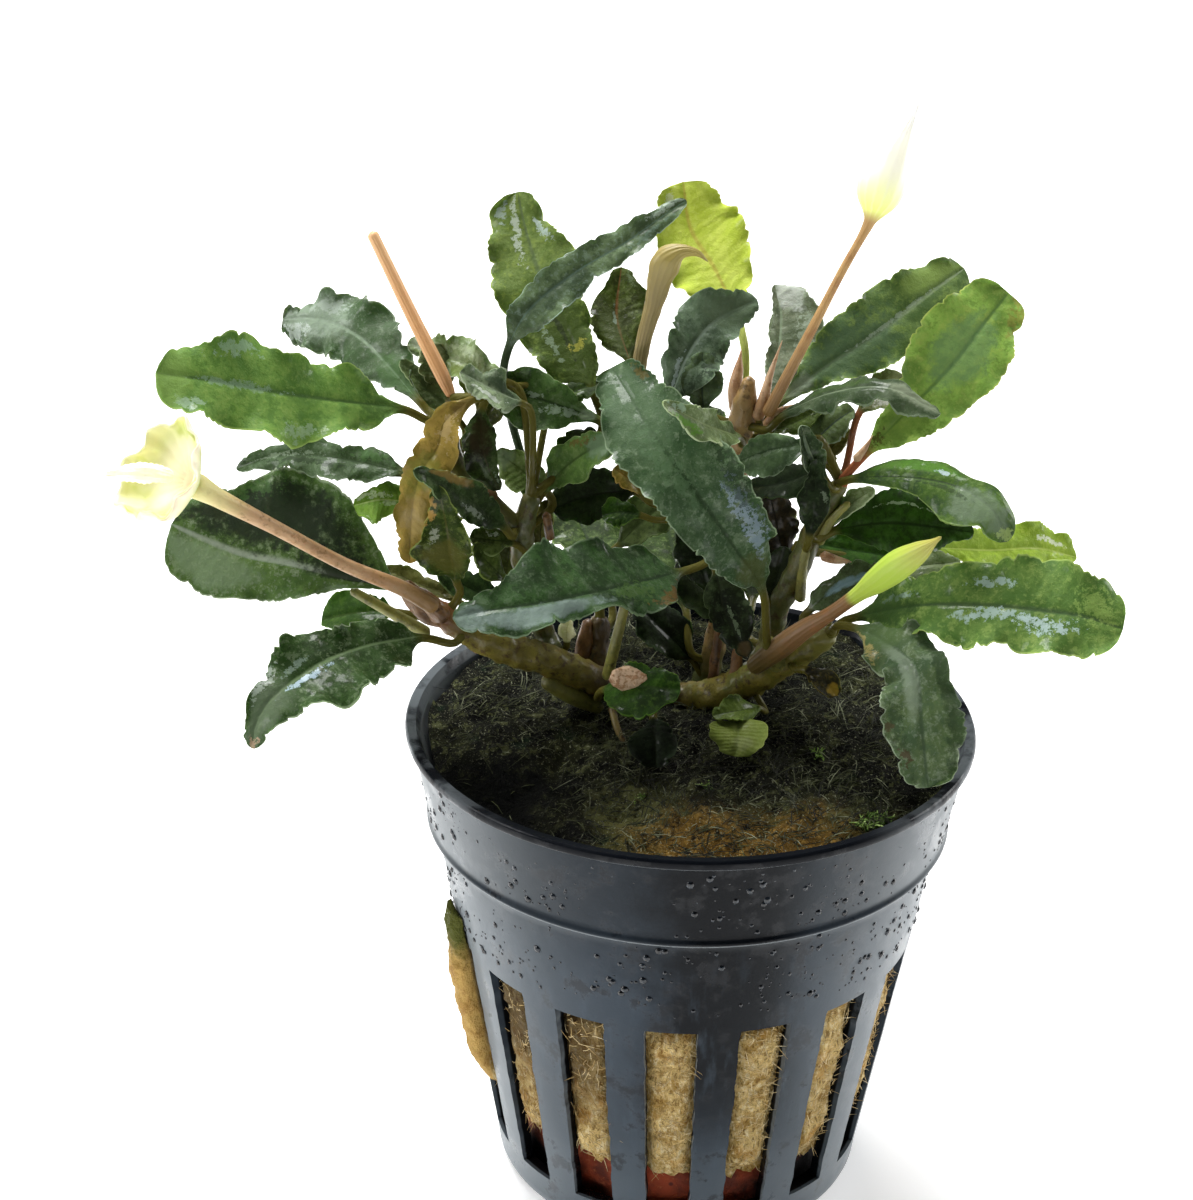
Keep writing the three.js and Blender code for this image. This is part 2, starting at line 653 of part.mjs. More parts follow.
    left: [0.5, 1, 1.4, 1.5, 1.3, 1, 0.6],
    right: [0.5, 0.9, 1.2, 1.2, 1.1, 0.9, 0.6],
    face: [0.05, -0.9, 0.42],
    fold: 0.3,
    places: SHORT,
  },
  {
    name: 'leaf_center_pointing_down',
    finish: 'dark',
    points: [[1.4, 2.4, 60.4], [1.8, 1.2, 59], [2.8, -0.4, 54.8], [4.8, -2, 50.9]],
    left: [1.3, 1.8, 2.2, 2.4, 2.2, 1.7, 0.9],
    right: [0.9, 1.4, 1.5, 1.4, 1.3, 1.1, 0.7],
    face: [0, -0.9, 0.42],
    places: SHORT,
  },
  {
    name: 'leaf_right_arching',
    finish: 'dark',
    points: [[11.8, 1, 67.4], [12.9, 0.4, 67.8], [17.6, -2, 68.1], [22, -4.6, 67.3], [25, -6.4, 65.2],
      [26.3, -7, 62.6]],
    left: [1.1, 1.7, 1.8, 1.6, 1.1, 1.7, 1.4],
    right: [0.6, 0.9, 1.3, 2.2, 3, 2.7, 1.6],
    face: [0.15, -0.75, 0.65],
    fold: -0.12,
    wave: [0.15, 2],
  },
  {
    name: 'leaf_right_dark',
    finish: 'dark',
    points: [[10.4, 1.4, 62.2], [11.6, 1.6, 63], [16, 2.4, 63.9], [20, 3, 63.7], [23.4, 3.4, 63.3]],
    left: [1.3, 2.1, 2.7, 2.8, 2.4, 1.8, 1],
    right: [1, 2, 2.7, 2.9, 2.6, 2, 1],
    face: [0.1, -0.85, 0.52],
    fold: 0.12,
    wave: [0.2, 3],
  },
  {
    name: 'leaf_right_yellow',
    finish: 'yellow',
    points: [[17, 5.6, 60.6], [20, 6, 61.6], [25, 9, 61.7], [29, 12, 62], [32.2, 14, 61.3]],
    left: [0.8, 1.6, 1.9, 1.9, 2.1, 2.1, 1.5],
    right: [0.7, 1.5, 1.4, 1.3, 1.3, 1.2, 0.9],
    face: [0.15, -0.75, 0.65],
    wave: [0.2, 3],
  },
  {
    name: 'leaf_right_behind_bud',
    finish: 'dark',
    points: [[9.4, 0.4, 54.6], [10, 0.2, 55.6], [12.6, -0.4, 58], [17, -0.8, 60]],
    left: [0.8, 1, 1.1, 1.2, 1.2, 1, 0.7],
    right: [0.9, 1.3, 1.5, 1.6, 1.5, 1.3, 0.8],
    face: HIGH,
    places: SHORT,
  },
  {
    name: 'leaf_top_bright',
    finish: 'bright',
    points: [[12.3, 1, 68], [13.9, 1, 70.1], [16.5, 1.6, 73.3], [20.3, 3.4, 77.9], [22.6, 5.6, 81.5],
      [24.5, 8, 84.4]],
    left: [1.2, 1.6, 2.7, 3.9, 4.2, 3.9, 3.1],
    right: [1.6, 2.6, 3.2, 3.5, 3.8, 3.5, 2.5],
    face: [0.15, -0.82, 0.55],
    fold: 0.08,
    wave: [0.2, 3],
  },
  {
    name: 'leaf_top_narrow_grey',
    finish: 'grey',
    points: [[5.6, 3, 72], [6.8, 2.6, 73.2], [10.6, 0.4, 75.3], [15.5, -2.4, 75.9], [19.8, -4, 73.8]],
    left: [0.5, 0.7, 0.9, 1, 1, 0.8, 0.5],
    right: [0.5, 1, 1.2, 1.1, 1, 1.2, 1.1],
    face: [0, -0.55, 0.83],
    fold: -0.2,
    wave: [0.3, 4],
  },
  {
    name: 'leaf_top_large_dark',
    finish: 'green',
    points: [[5, 5, 72.6], [6.3, 5, 74.1], [9.5, 6.6, 77.1], [14.3, 9, 80.7], [18, 12, 84],
      [20.8, 15, 86.3]],
    left: [0.9, 2.2, 2.9, 3.2, 3.2, 2.8, 2],
    right: [0.8, 1.6, 2.3, 2.9, 3.3, 3.3, 2.4],
    face: [0.05, -0.85, 0.52],
    fold: 0.08,
    wave: [0.2, 3],
  },
  {
    name: 'leaf_top_twisted',
    finish: 'dark',
    points: [[-16.6, 2.8, 75.6], [-16, 3.4, 78.4], [-14.4, 4.2, 81.6], [-10.6, 6, 85], [-6.6, 8, 87.6],
      [-3.6, 9.6, 89.9], [-1.7, 10.4, 91.3]],
    left: [0.8, 1.3, 1.6, 1.5, 1.4, 1.2, 0.8],
    right: [1.2, 2, 1.9, 1.3, 1.3, 1.2, 0.8],
    face: [0, -0.85, 0.52],
    wave: [0.2, 3],
  },
  {
    name: 'leaf_top_grey_right',
    finish: 'grey',
    points: [[4.9, 6.6, 71.8], [5.4, 7.4, 74.6], [6.2, 11, 79], [6.2, 14, 82.3], [5.7, 15.6, 84.5]],
    left: [0.5, 0.7, 0.9, 0.9, 0.9, 0.7, 0.5],
    right: [1, 2, 2.8, 3.2, 3.4, 3.2, 2.3],
    face: [0.1, -0.9, 0.4],
    wave: [0.35, 3],
  },
  {
    name: 'leaf_top_center_grey',
    finish: 'dark',
    points: [[-3, 5.6, 72.6], [-2.6, 5.8, 74], [-1.3, 8, 78], [0.9, 10.4, 81.2], [4.3, 12, 83.2]],
    left: [1, 1.7, 2.1, 2.5, 2.8, 2.4, 1.4],
    right: [1.6, 2.6, 2.9, 2.6, 2.2, 2, 1.3],
    face: [0, -0.9, 0.44],
    wave: [0.25, 3],
  },
  {
    name: 'leaf_top_dark',
    finish: 'dark',
    points: [[-5.4, 7, 75.6], [-5.9, 7.6, 77.5], [-7.1, 11, 81.5], [-6.8, 14, 85.6]],
    left: [0.9, 1.6, 2, 2.1, 1.9, 1.3, 0.8],
    right: [0.9, 1.6, 2.2, 2.6, 2.8, 2.4, 1.4],
    face: [0, -0.9, 0.44],
    places: SHORT,
  },
  {
    name: 'leaf_top_left_olive',
    finish: 'green',
    points: [[-8.2, 6, 71.4], [-8.9, 6.6, 74.7], [-11.2, 10, 80], [-13.2, 13, 84.2], [-14.5, 16, 88.4],
      [-15.2, 18, 91.6]],
    left: [2.6, 3.2, 3.7, 3.9, 3.9, 3.4, 2.8],
    right: [1.4, 1.9, 2.4, 2.8, 3.4, 2.7, 1.5],
    face: [-0.1, -0.85, 0.5],
    fold: 0.06,
    wave: [0.2, 4],
  },
  {
    name: 'leaf_top_yellow',
    finish: 'yellow',
    points: [[3.4, 8.4, 72.6], [3.6, 10.4, 77.6], [3.1, 12.4, 80.6], [0.9, 16.4, 85.5], [-1.3, 19.4, 89],
      [-2, 21.4, 92.8]],
    blade: 2,
    left: [1.1, 2.4, 3.2, 3.5, 3.2, 2.7, 2.2],
    right: [0.9, 2.2, 2.9, 3.8, 4.1, 3.9, 2.8],
    face: [0, -0.9, 0.44],
    wave: [0.2, 4],
  },
  {
    name: 'leaf_inner_left_upper',
    finish: 'dark',
    points: [[-7.4, 4.4, 71.4], [-8.4, 4.4, 72.3], [-12.5, 4.6, 73.8], [-16, 4.8, 74.7],
      [-18.6, 4.8, 75]],
    left: [0.7, 1.6, 2.4, 2.8, 2.7, 2.1, 1.2],
    right: [0.6, 1.2, 1.8, 2.2, 2.2, 1.7, 1],
    face: [-0.1, -0.85, 0.52],
    wave: [0.2, 3],
  },
  {
    name: 'leaf_inner_left_middle',
    finish: 'green',
    points: [[-12.2, 4.4, 64.6], [-12.8, 4.4, 65.8], [-14.8, 5, 67.6], [-17, 5.6, 69.3]],
    left: [1, 1.6, 1.8, 1.8, 1.7, 1.4, 0.9],
    right: [0.8, 1.2, 1.4, 1.4, 1.3, 1.1, 0.7],
    face: [-0.1, -0.85, 0.52],
    places: SHORT,
  },
  {
    name: 'leaf_inner_left_rising',
    finish: 'green',
    points: [[-13.6, 3.6, 64.8], [-12.9, 3.4, 65.9], [-11.2, 2.6, 68],
      [-9, 1.6, 69.7], [-6.4, 0.6, 70.7]],
    left: [0.8, 1.4, 1.7, 1.7, 1.5, 1.2, 0.8],
    right: [0.8, 1.3, 1.7, 1.9, 1.9, 1.6, 1],
    face: [-0.1, -0.8, 0.6],
    places: SHORT,
  },
  {
    name: 'leaf_back_left',
    finish: 'green',
    points: [[-7, 6.4, 54], [-7.4, 8.4, 57], [-9, 13, 61], [-10.4, 18, 64], [-11, 22.6, 64.4]],
    left: 3,
    right: 3.1,
    face: [0.1, -0.45, 0.9],
    wave: [0.3, 4],
  },
  {
    name: 'leaf_back_middle',
    finish: 'dark',
    points: [[0, 6.4, 51], [-0.6, 9, 55], [-1.6, 14, 59.4], [-2.4, 20, 62.4], [-3, 26, 62.6]],
    left: 3.2,
    right: 3.1,
    face: [0, -0.45, 0.9],
    wave: [0.3, 4],
  },
  {
    name: 'leaf_back_right',
    finish: 'green',
    points: [[4.6, 5.6, 53], [5, 8.4, 56], [5, 13, 60.4], [5.6, 18, 63.4], [6, 23, 64]],
    left: 2.9,
    right: 3,
    face: [-0.1, -0.45, 0.9],
    wave: [0.3, 4],
  },
  {
    name: 'leaf_back_high',
    finish: 'green',
    points: [[2, 8.6, 60], [1.4, 10.6, 62.4], [1, 14.6, 67], [0.6, 18, 71], [0.2, 20.4, 74]],
    left: 2.8,
    right: 2.9,
    face: [0, -0.75, 0.66],
    wave: [0.3, 4],
  },
];

// The moulded pot: a stepped collar over a tapered body with slots through its wall and its base.
function wedge(inner, outer, angle, halfAngle, foot, top) {
  const corner = (radius, turn, z) => {
    const a = THREE.MathUtils.degToRad(turn);
    return new THREE.Vector3(radius * Math.cos(a), radius * Math.sin(a), z);
  };
  const ring = (z) => [
    corner(inner, angle - halfAngle, z),
    corner(outer, angle - halfAngle, z),
    corner(outer, angle + halfAngle, z),
    corner(inner, angle + halfAngle, z),
  ];
  return skin([ring(foot), ring(top)]);
}

function lathe(profile, segments) {
  const points = profile.map(([r, z]) => new THREE.Vector2(r, z));
  const geometry = new THREE.LatheGeometry(points, segments);
  geometry.rotateX(Math.PI / 2);
  return geometryToSolid(geometry);
}

function pot() {
  const innerFoot = BODY_FOOT_RADIUS - WALL;
  let solid = lathe([
    [0, 0],
    [BODY_FOOT_RADIUS - 1.7, 0],
    [BODY_FOOT_RADIUS - 0.5, 0.5],
    [BODY_FOOT_RADIUS, 2],
    [BODY_TOP_RADIUS, COLLAR_FOOT_Z],
    [COLLAR_FOOT_RADIUS, COLLAR_FOOT_Z + 0.3],
    [COLLAR_RADIUS, POT_HEIGHT - LIP_HEIGHT],
    [RIM_RADIUS, POT_HEIGHT - LIP_HEIGHT],
    [RIM_RADIUS, POT_HEIGHT],
    [RIM_INNER_RADIUS, POT_HEIGHT],
    [BODY_TOP_RADIUS - WALL, COLLAR_FOOT_Z],
    [innerFoot, 2.4],
    [innerFoot - 0.6, BASE_THICKNESS],
    [0, BASE_THICKNESS],
  ], POT_SEGMENTS);
  for (let i = 0; i < SLOT_COUNT; i += 1) {
    const angle = FIRST_SLOT_ANGLE + (360 * i) / SLOT_COUNT;
    solid = solid.subtract(wedge(13, 24, angle, SLOT_HALF_ANGLE, SLOT_FOOT_Z, SLOT_TOP_Z));
  }
  for (let i = 0; i < BASE_SLOT_COUNT; i += 1) {
    const angle = FIRST_SLOT_ANGLE + (360 * i) / BASE_SLOT_COUNT;
    solid = solid.subtract(wedge(BASE_SLOT_INNER, BASE_SLOT_OUTER, angle, BASE_SLOT_HALF_ANGLE, -1, 3));
  }
  return solid;
}

// Inner radius of the pot at a height.
function roomAt(z) {
  if (z > COLLAR_FOOT_Z) {
    const share = (z - COLLAR_FOOT_Z) / (POT_HEIGHT - COLLAR_FOOT_Z);
    return BODY_TOP_RADIUS - WALL + share * (RIM_INNER_RADIUS - BODY_TOP_RADIUS + WALL);
  }
  const share = (z - 2.4) / (COLLAR_FOOT_Z - 2.4);
  return BODY_FOOT_RADIUS - WALL + share * (BODY_TOP_RADIUS - BODY_FOOT_RADIUS);
}

// Height of the rockwool's rough top at a place. It falls towards the front, with a dip at the left there.
function woolTop(x, y) {
  const broad = 0.4 * Math.sin(0.55 * x + 1.1) * Math.cos(0.47 * y - 0.6);
  const lumps = broad + 0.2 * Math.sin(1.1 * x - 0.8 * y);
  const slope = WOOL_FALL * Math.max(0, 3 - y);
  const dip = 1.2 * Math.exp(-((x + 13) ** 2 + (y + 12) ** 2) / 30);
  const edge = Math.max(0, Math.hypot(x, y) / 22 - 0.82);
  return WOOL_TOP_Z + lumps - slope - dip - 5 * edge;
}

// Where the top of the rockwool meets its side, close to the wall of the pot.
function woolEdge(turn, grow) {
  const z = woolTop(21.5 * Math.cos(turn), 21.5 * Math.sin(turn));
  const radius = roomAt(z) - WOOL_GAP - 0.3;
  return new THREE.Vector3(radius * Math.cos(turn), radius * Math.sin(turn), z + grow);
}

// The rockwool plug, with the strip of it that has worked out through a slot on the left.
function rockwool(grow) {
  const segments = 24;
  const levels = [WOOL_FOOT_Z, 14, 26, 34, 38];
  const rings = [];
  const circle = (radius, height) => Array.from({ length: segments }, (_, s) => {
    const turn = (2 * Math.PI * s) / segments;
    const rough = 1 + 0.004 * Math.sin(7 * turn + radius);
    const x = radius * rough * Math.cos(turn);
    const y = radius * rough * Math.sin(turn);
    return new THREE.Vector3(x, y, typeof height === 'number' ? height : height(x, y));
  });
  rings.push(circle(4, WOOL_FOOT_Z - grow));
  levels.forEach((z, i) => rings.push(circle(roomAt(z) - WOOL_GAP, i === 0 ? z - grow : z)));
  rings.push(Array.from({ length: segments }, (_, s) => woolEdge((2 * Math.PI * s) / segments, grow)));
  for (const radius of [18.5, 12, 5]) rings.push(circle(radius, (x, y) => woolTop(x, y) + grow));
  return skin(rings).add(skin(STRIP_LEVELS.map(([height, reach]) => stripRing(height, reach))));
}

// One level of the strip of rockwool that stands out of a slot on the left.
function stripRing(height, reach) {
  const middle = FIRST_SLOT_ANGLE + (360 * STRIP_SLOT) / SLOT_COUNT;
  const corner = (radius, offset) => {
    const turn = THREE.MathUtils.degToRad(middle + offset);
    return new THREE.Vector3(radius * Math.cos(turn), radius * Math.sin(turn), height);
  };
  return [
    corner(STRIP_ROOT_RADIUS, -STRIP_HALF_ANGLE),
    corner(reach, -STRIP_HALF_ANGLE),
    corner(reach + 0.3, 0),
    corner(reach, STRIP_HALF_ANGLE),
    corner(STRIP_ROOT_RADIUS, STRIP_HALF_ANGLE),
  ];
}

function clayWeight() {
  return lathe([
    [0, BASE_THICKNESS + 0.3],
    [CLAY_RADIUS - 1.4, BASE_THICKNESS + 0.3],
    [CLAY_RADIUS, BASE_THICKNESS + 1.6],
    [CLAY_RADIUS, CLAY_TOP_Z - 0.8],
    [CLAY_RADIUS - 0.9, CLAY_TOP_Z],
    [0, CLAY_TOP_Z],
  ], 18);
}

// A scrap of dead leaf lying on the round leaf in front.
function scrap(grow) {
  const outline = [[-7.2, 48.1], [-6.9, 49], [-5.9, 49.6], [-4.8, 49.3], [-3.9, 48.8],
    [-3.8, 48.3], [-4.6, 47.5], [-5.8, 47], [-6.8, 47.4]];
  const ring = (rise) => outline.map(([across, up]) => {
    const point = seen([across, -4.6, up]);
    return point.add(new THREE.Vector3(0, -0.5, 0.87).multiplyScalar(rise));
  });
  return skin([ring(-0.2 - grow), ring(0.3 + grow)]);
}

// Every piece, in the order in which they give way to one another.
const pieces = [
  { name: 'net_pot', finish: 'pot', build: () => pot() },
  { name: 'clay_weight', finish: 'clay', build: () => clayWeight() },
  { name: 'rockwool_plug', finish: 'wool', build: (grow) => rockwool(grow) },
  { name: 'rhizome_left', finish: 'stem', build: (grow) => bar(LEFT_RHIZOME, grow).add(bar(STUMP, grow)) },
  ...BARS.map((spec) => ({ name: spec.name, finish: spec.finish, build: (grow) => bar(spec, grow) })),
  { name: 'flower_left', finish: 'flower', build: (grow) => bar(LEFT_STALK, grow).add(trumpet(grow)) },
  { name: 'leaf_scrap', finish: 'scrap', build: (grow) => scrap(grow) },
  ...LEAVES.map((spec) => ({ name: spec.name, finish: spec.finish, build: (grow) => leaf(spec, grow) })),
];

const plant = new THREE.Group();
const placed = [];
for (const piece of pieces) {
  let solid = piece.build(0);
  const whole = solid.volume();
  for (const other of placed) solid = solid.subtract(other);
  placed.push(piece.build(CLEARANCE));
  const { geometry, volume } = largestBody(solid);
  const { color, roughness } = FINISH[piece.finish];
  const mesh = new THREE.Mesh(geometry, new THREE.MeshStandardMaterial({ color, roughness, metalness: 0 }));
  mesh.name = piece.name;
  mesh.userData.kept = volume / whole;
  plant.add(mesh);
}

export default plant;
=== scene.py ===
# %% [markdown]
# # A small aquarium plant in its net pot
#
# The plant is an aroid that grows under water: thick, wavy leaves on short stalks, two creeping stems and a
# few pale flowers, rooted in a plug of rock wool in a slotted plastic pot. Its solids come from the frame.
# Here each of them is replaced by a finer mesh of the same form, and gets the finish of the real thing.
#
# The first cell loads the frame.

import math
import random
from dataclasses import dataclass

import bpy
import numpy as np
from mathutils import Matrix, Vector, noise


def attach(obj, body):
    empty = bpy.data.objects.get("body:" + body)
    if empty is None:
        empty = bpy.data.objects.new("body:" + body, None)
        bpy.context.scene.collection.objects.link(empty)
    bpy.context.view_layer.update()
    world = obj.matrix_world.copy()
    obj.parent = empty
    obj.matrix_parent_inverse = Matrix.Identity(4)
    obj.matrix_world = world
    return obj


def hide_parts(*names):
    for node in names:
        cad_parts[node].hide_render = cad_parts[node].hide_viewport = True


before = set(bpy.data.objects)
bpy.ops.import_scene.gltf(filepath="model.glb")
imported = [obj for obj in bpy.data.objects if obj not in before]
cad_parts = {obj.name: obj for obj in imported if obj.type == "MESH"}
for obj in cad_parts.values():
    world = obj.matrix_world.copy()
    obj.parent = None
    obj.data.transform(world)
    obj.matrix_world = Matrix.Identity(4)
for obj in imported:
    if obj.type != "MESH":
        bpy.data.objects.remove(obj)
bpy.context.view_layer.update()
scene = bpy.context.scene

# %% [markdown]
# ## The camera
#
# The photograph was taken from a little above the plant. The place, turn and lens of the camera were fitted
# to the rim of the pot, its collar line and its slots. The lens follows from the focal length in pixels of
# a picture 1200 pixels high on Blender's 36 mm sensor.

# %% Camera
MM = 0.001
EYE = np.array([0.0, -189.6, 143.84])
CAMERA_YAW = math.radians(-2.53)
CAMERA_PITCH = math.radians(24.88)
CAMERA_ROLL = math.radians(0.9)
PICTURE_HEIGHT = 1200
FOCAL_PIXELS = 2426
SENSOR_MM = 36

camera_data = bpy.data.cameras.new("camera")
camera_data.lens = SENSOR_MM * FOCAL_PIXELS / PICTURE_HEIGHT
camera_data.sensor_width = SENSOR_MM
camera = bpy.data.objects.new("camera", camera_data)
scene.collection.objects.link(camera)
scene.camera = camera

ahead = Vector((
    math.sin(CAMERA_YAW) * math.cos(CAMERA_PITCH),
    math.cos(CAMERA_YAW) * math.cos(CAMERA_PITCH),
    -math.sin(CAMERA_PITCH),
))
level = ahead.cross(Vector((0, 0, 1))).normalized()
rise = level.cross(ahead)
right = level * math.cos(CAMERA_ROLL) + rise * math.sin(CAMERA_ROLL)
up = rise * math.cos(CAMERA_ROLL) - level * math.sin(CAMERA_ROLL)
aim = Matrix((right, up, -ahead)).transposed().to_4x4()
camera.matrix_world = Matrix.Translation(Vector(EYE) * MM) @ aim
print("lens", round(camera_data.lens, 1), "mm, eye", [round(v, 3) for v in camera.location])

# %% [markdown]
# ## Light and floor
#
# The photograph has soft light from all round on a white table, bright enough to burn the table out to
# white. A large soft panel above and behind gives the leaves their broad shine, and the sky dome fills the
# shadows. The pale floor glows a little, like a light table, and throws light up under the leaves. The dome
# is darker towards the camera, as a room is, so that the dark pot and leaves keep their depth there.

# %% Light and floor
PLANT_HEART = Vector((0, 0, 0.05))
PANELS = {
    "panel_above": ((-0.15, 0.25, 0.75), 0.55, 11.0),
    "panel_left": ((-0.75, -0.15, 0.4), 0.5, 4.0),
    "panel_right": ((0.7, 0.3, 0.3), 0.5, 4.0),
}
SKY_STRENGTH = {"From Min": -0.9, "From Max": 0.6, "To Min": 0.8, "To Max": 1.75}
TABLE_SIZE = 12
TABLE_DROP = 0.00005
TABLE_LOOK = {
    "Base Color": (0.92, 0.92, 0.92, 1),
    "Roughness": 0.9,
    "Emission Color": (1, 1, 1, 1),
    "Emission Strength": 0.45,
}

for name, (place, size, watts) in PANELS.items():
    data = bpy.data.lights.new(name, "AREA")
    data.shape = "DISK"
    data.size = size
    data.energy = watts
    panel = bpy.data.objects.new(name, data)
    panel.location = place
    panel.rotation_mode = "QUATERNION"
    panel.rotation_quaternion = (PLANT_HEART - Vector(place)).to_track_quat("-Z", "Y")
    scene.collection.objects.link(panel)

scene.view_settings.view_transform = "Standard"
scene.world = bpy.data.worlds.new("studio")
scene.world.use_nodes = True
sky = scene.world.node_tree
direction = sky.nodes.new("ShaderNodeTexCoord")
apart = sky.nodes.new("ShaderNodeSeparateXYZ")
ramp = sky.nodes.new("ShaderNodeMapRange")
sky.links.new(direction.outputs["Generated"], apart.inputs[0])
sky.links.new(apart.outputs["Y"], ramp.inputs["Value"])
for socket, value in SKY_STRENGTH.items():
    ramp.inputs[socket].default_value = value
sky.links.new(ramp.outputs[0], sky.nodes["Background"].inputs["Strength"])

bpy.ops.mesh.primitive_plane_add(size=TABLE_SIZE, location=(0, 0, -TABLE_DROP))
floor = bpy.context.object
floor.name = "floor"
paper = bpy.data.materials.new("pale_table")
paper.use_nodes = True
for socket, value in TABLE_LOOK.items():
    paper.node_tree.nodes["Principled BSDF"].inputs[socket].default_value = value
floor.data.materials.append(paper)
print("three panels, a sky dome and a pale floor")

# %% [markdown]
# ## Finishes written as sums
#
# A finish is a tree of nodes. Wiring each node by hand hides the idea, so a small class wraps a socket and
# adds the node that an operator stands for: numbers go through Math nodes, colours through Mix, vectors
# through Vector Math. A colour is written as its six hex digits, as it looks on a screen.

# %% Finish helper
def colour(hex_digits):
    parts = [int(hex_digits[i:i + 2], 16) / 255 for i in (0, 2, 4)]
    linear = [p / 12.92 if p <= 0.04045 else ((p + 0.055) / 1.055) ** 2.4 for p in parts]
    return (*linear, 1.0)


class Tone:
    """The output of a node. Sums and products of tones add the nodes that work them out."""

    def __init__(self, finish, socket):
        self.finish = finish
        self.socket = socket

    def sum_of(self, operation, first, second=0.0):
        kind = "VectorMath" if self.socket.type == "VECTOR" else "Math"
        if kind == "VectorMath":
            first, second = [(v, v, v) if isinstance(v, (int, float)) else v for v in (first, second)]
        return self.finish.node(kind, {"operation": operation}, {0: first, 1: second})

    def __add__(self, other):
        return self.sum_of("ADD", self, other)

    def __radd__(self, other):
        return self.sum_of("ADD", other, self)

    def __sub__(self, other):
        return self.sum_of("SUBTRACT", self, other)

    def __rsub__(self, other):
        return self.sum_of("SUBTRACT", other, self)

    def __mul__(self, other):
        return self.sum_of("MULTIPLY", self, other)

    def __truediv__(self, other):
        return self.sum_of("DIVIDE", self, other)

    def __gt__(self, other):
        return self.sum_of("GREATER_THAN", self, other)

    def __abs__(self):
        return self.sum_of("ABSOLUTE", self)

    def sine(self):
        return self.sum_of("SINE", self)

    def root(self):
        return self.sum_of("SQRT", self)

    def larger(self, other):
        return self.sum_of("MAXIMUM", self, other)

    def between(self, low, high, to_low=0.0, to_high=1.0):
        """0 below low, 1 above high, and a soft step between. With low above high it falls."""
        settings = {"interpolation_type": "SMOOTHSTEP"}
        if low > high:
            low, high, to_low, to_high = high, low, to_high, to_low
        return self.finish.node("MapRange", settings, {0: self, 1: low, 2: high, 3: to_low, 4: to_high})

    def mixed(self, other, share):
        """This colour with a share of another one over it."""
        return self.finish.blend(self, other, share)


class Finish:
    """One procedural material, with a Principled surface at its end."""

    def __init__(self, name):
        self.material = bpy.data.materials.new(name)
        self.material.use_nodes = True
        self.tree = self.material.node_tree
        self.shader = self.tree.nodes["Principled BSDF"]

    def node(self, kind, settings=None, inputs=None, output=0):
        made = self.tree.nodes.new("ShaderNode" + kind)
        for name, value in (settings or {}).items():
            setattr(made, name, value)
        for name, value in (inputs or {}).items():
            if isinstance(value, Tone):
                self.tree.links.new(value.socket, made.inputs[name])
            else:
                made.inputs[name].default_value = value
        return Tone(self, made.outputs[output])

    def place(self):
        return self.node("TexCoord", output="Object")

    def parts(self, vector):
        return [self.node("SeparateXYZ", None, {0: vector}, output=i) for i in range(3)]

    def uv_map(self):
        """The two values of the UV map of a skin: round it and along it."""
        return self.parts(self.node("UVMap", {"uv_map": "leaf"}))[:2]

    def blend(self, first, second, share):
        """One colour with a share of another one over it."""
        first, second = [colour(tone) if isinstance(tone, str) else tone for tone in (first, second)]
        return self.node("Mix", {"data_type": "RGBA"}, {0: share, 6: first, 7: second}, output=2)

    def clouds(self, size_mm, detail=3.0, roughness=0.55, at=None):
        """Soft noise from 0 to 1 with patches of about this size."""
        inputs = {"Scale": 1 / (size_mm * MM), "Detail": detail, "Roughness": roughness}
        return self.node("TexNoise", None, {"Vector": at or self.place(), **inputs})

    def cells(self, size_mm):
        """Distance to the nearest of some scattered points, about this far apart."""
        return self.node("TexVoronoi", None, {"Vector": self.place(), "Scale": 1 / (size_mm * MM)})

    def bumps(self, height, depth_mm):
        return self.node("Bump", None, {"Height": height, "Distance": depth_mm * MM, "Strength": 1.0})

    def surface(self, **values):
        """Sets or links sockets of the surface, named with their spaces as underscores."""
        for name, value in values.items():
            socket = self.shader.inputs[name.replace("_", " ")]
            if isinstance(value, Tone):
                self.tree.links.new(value.socket, socket)
            else:
                socket.default_value = colour(value) if isinstance(value, str) else value
        return self.material


print("mid grey on a screen is", round(colour("808080")[0], 3), "of white in a finish")

# %% [markdown]
# ## Places along lines of sight
#
# A photograph gives the direction of a point and not its distance. Each point of the plant is written as
# [across, depth, up]: where it appears on the upright plane through the pot's axis, and how far behind that
# plane it really is. `seen` moves it along its line of sight to that depth, so that a change of depth never
# spoils the picture. All measures are in millimetres until a mesh is made.

# %% Lines
def seen(points):
    across, depth, up = np.asarray(points, float).T
    reach = 1 - depth / EYE[1]
    return np.stack([across * reach, depth, EYE[2] + (up - EYE[2]) * reach], -1)


def unit(vectors):
    return vectors / np.linalg.norm(vectors, axis=-1, keepdims=True)


def across_from(vectors, direction):
    """The part of some vectors that is square to a direction, at length 1."""
    return unit(vectors - (vectors * direction).sum(-1, keepdims=True) * direction)


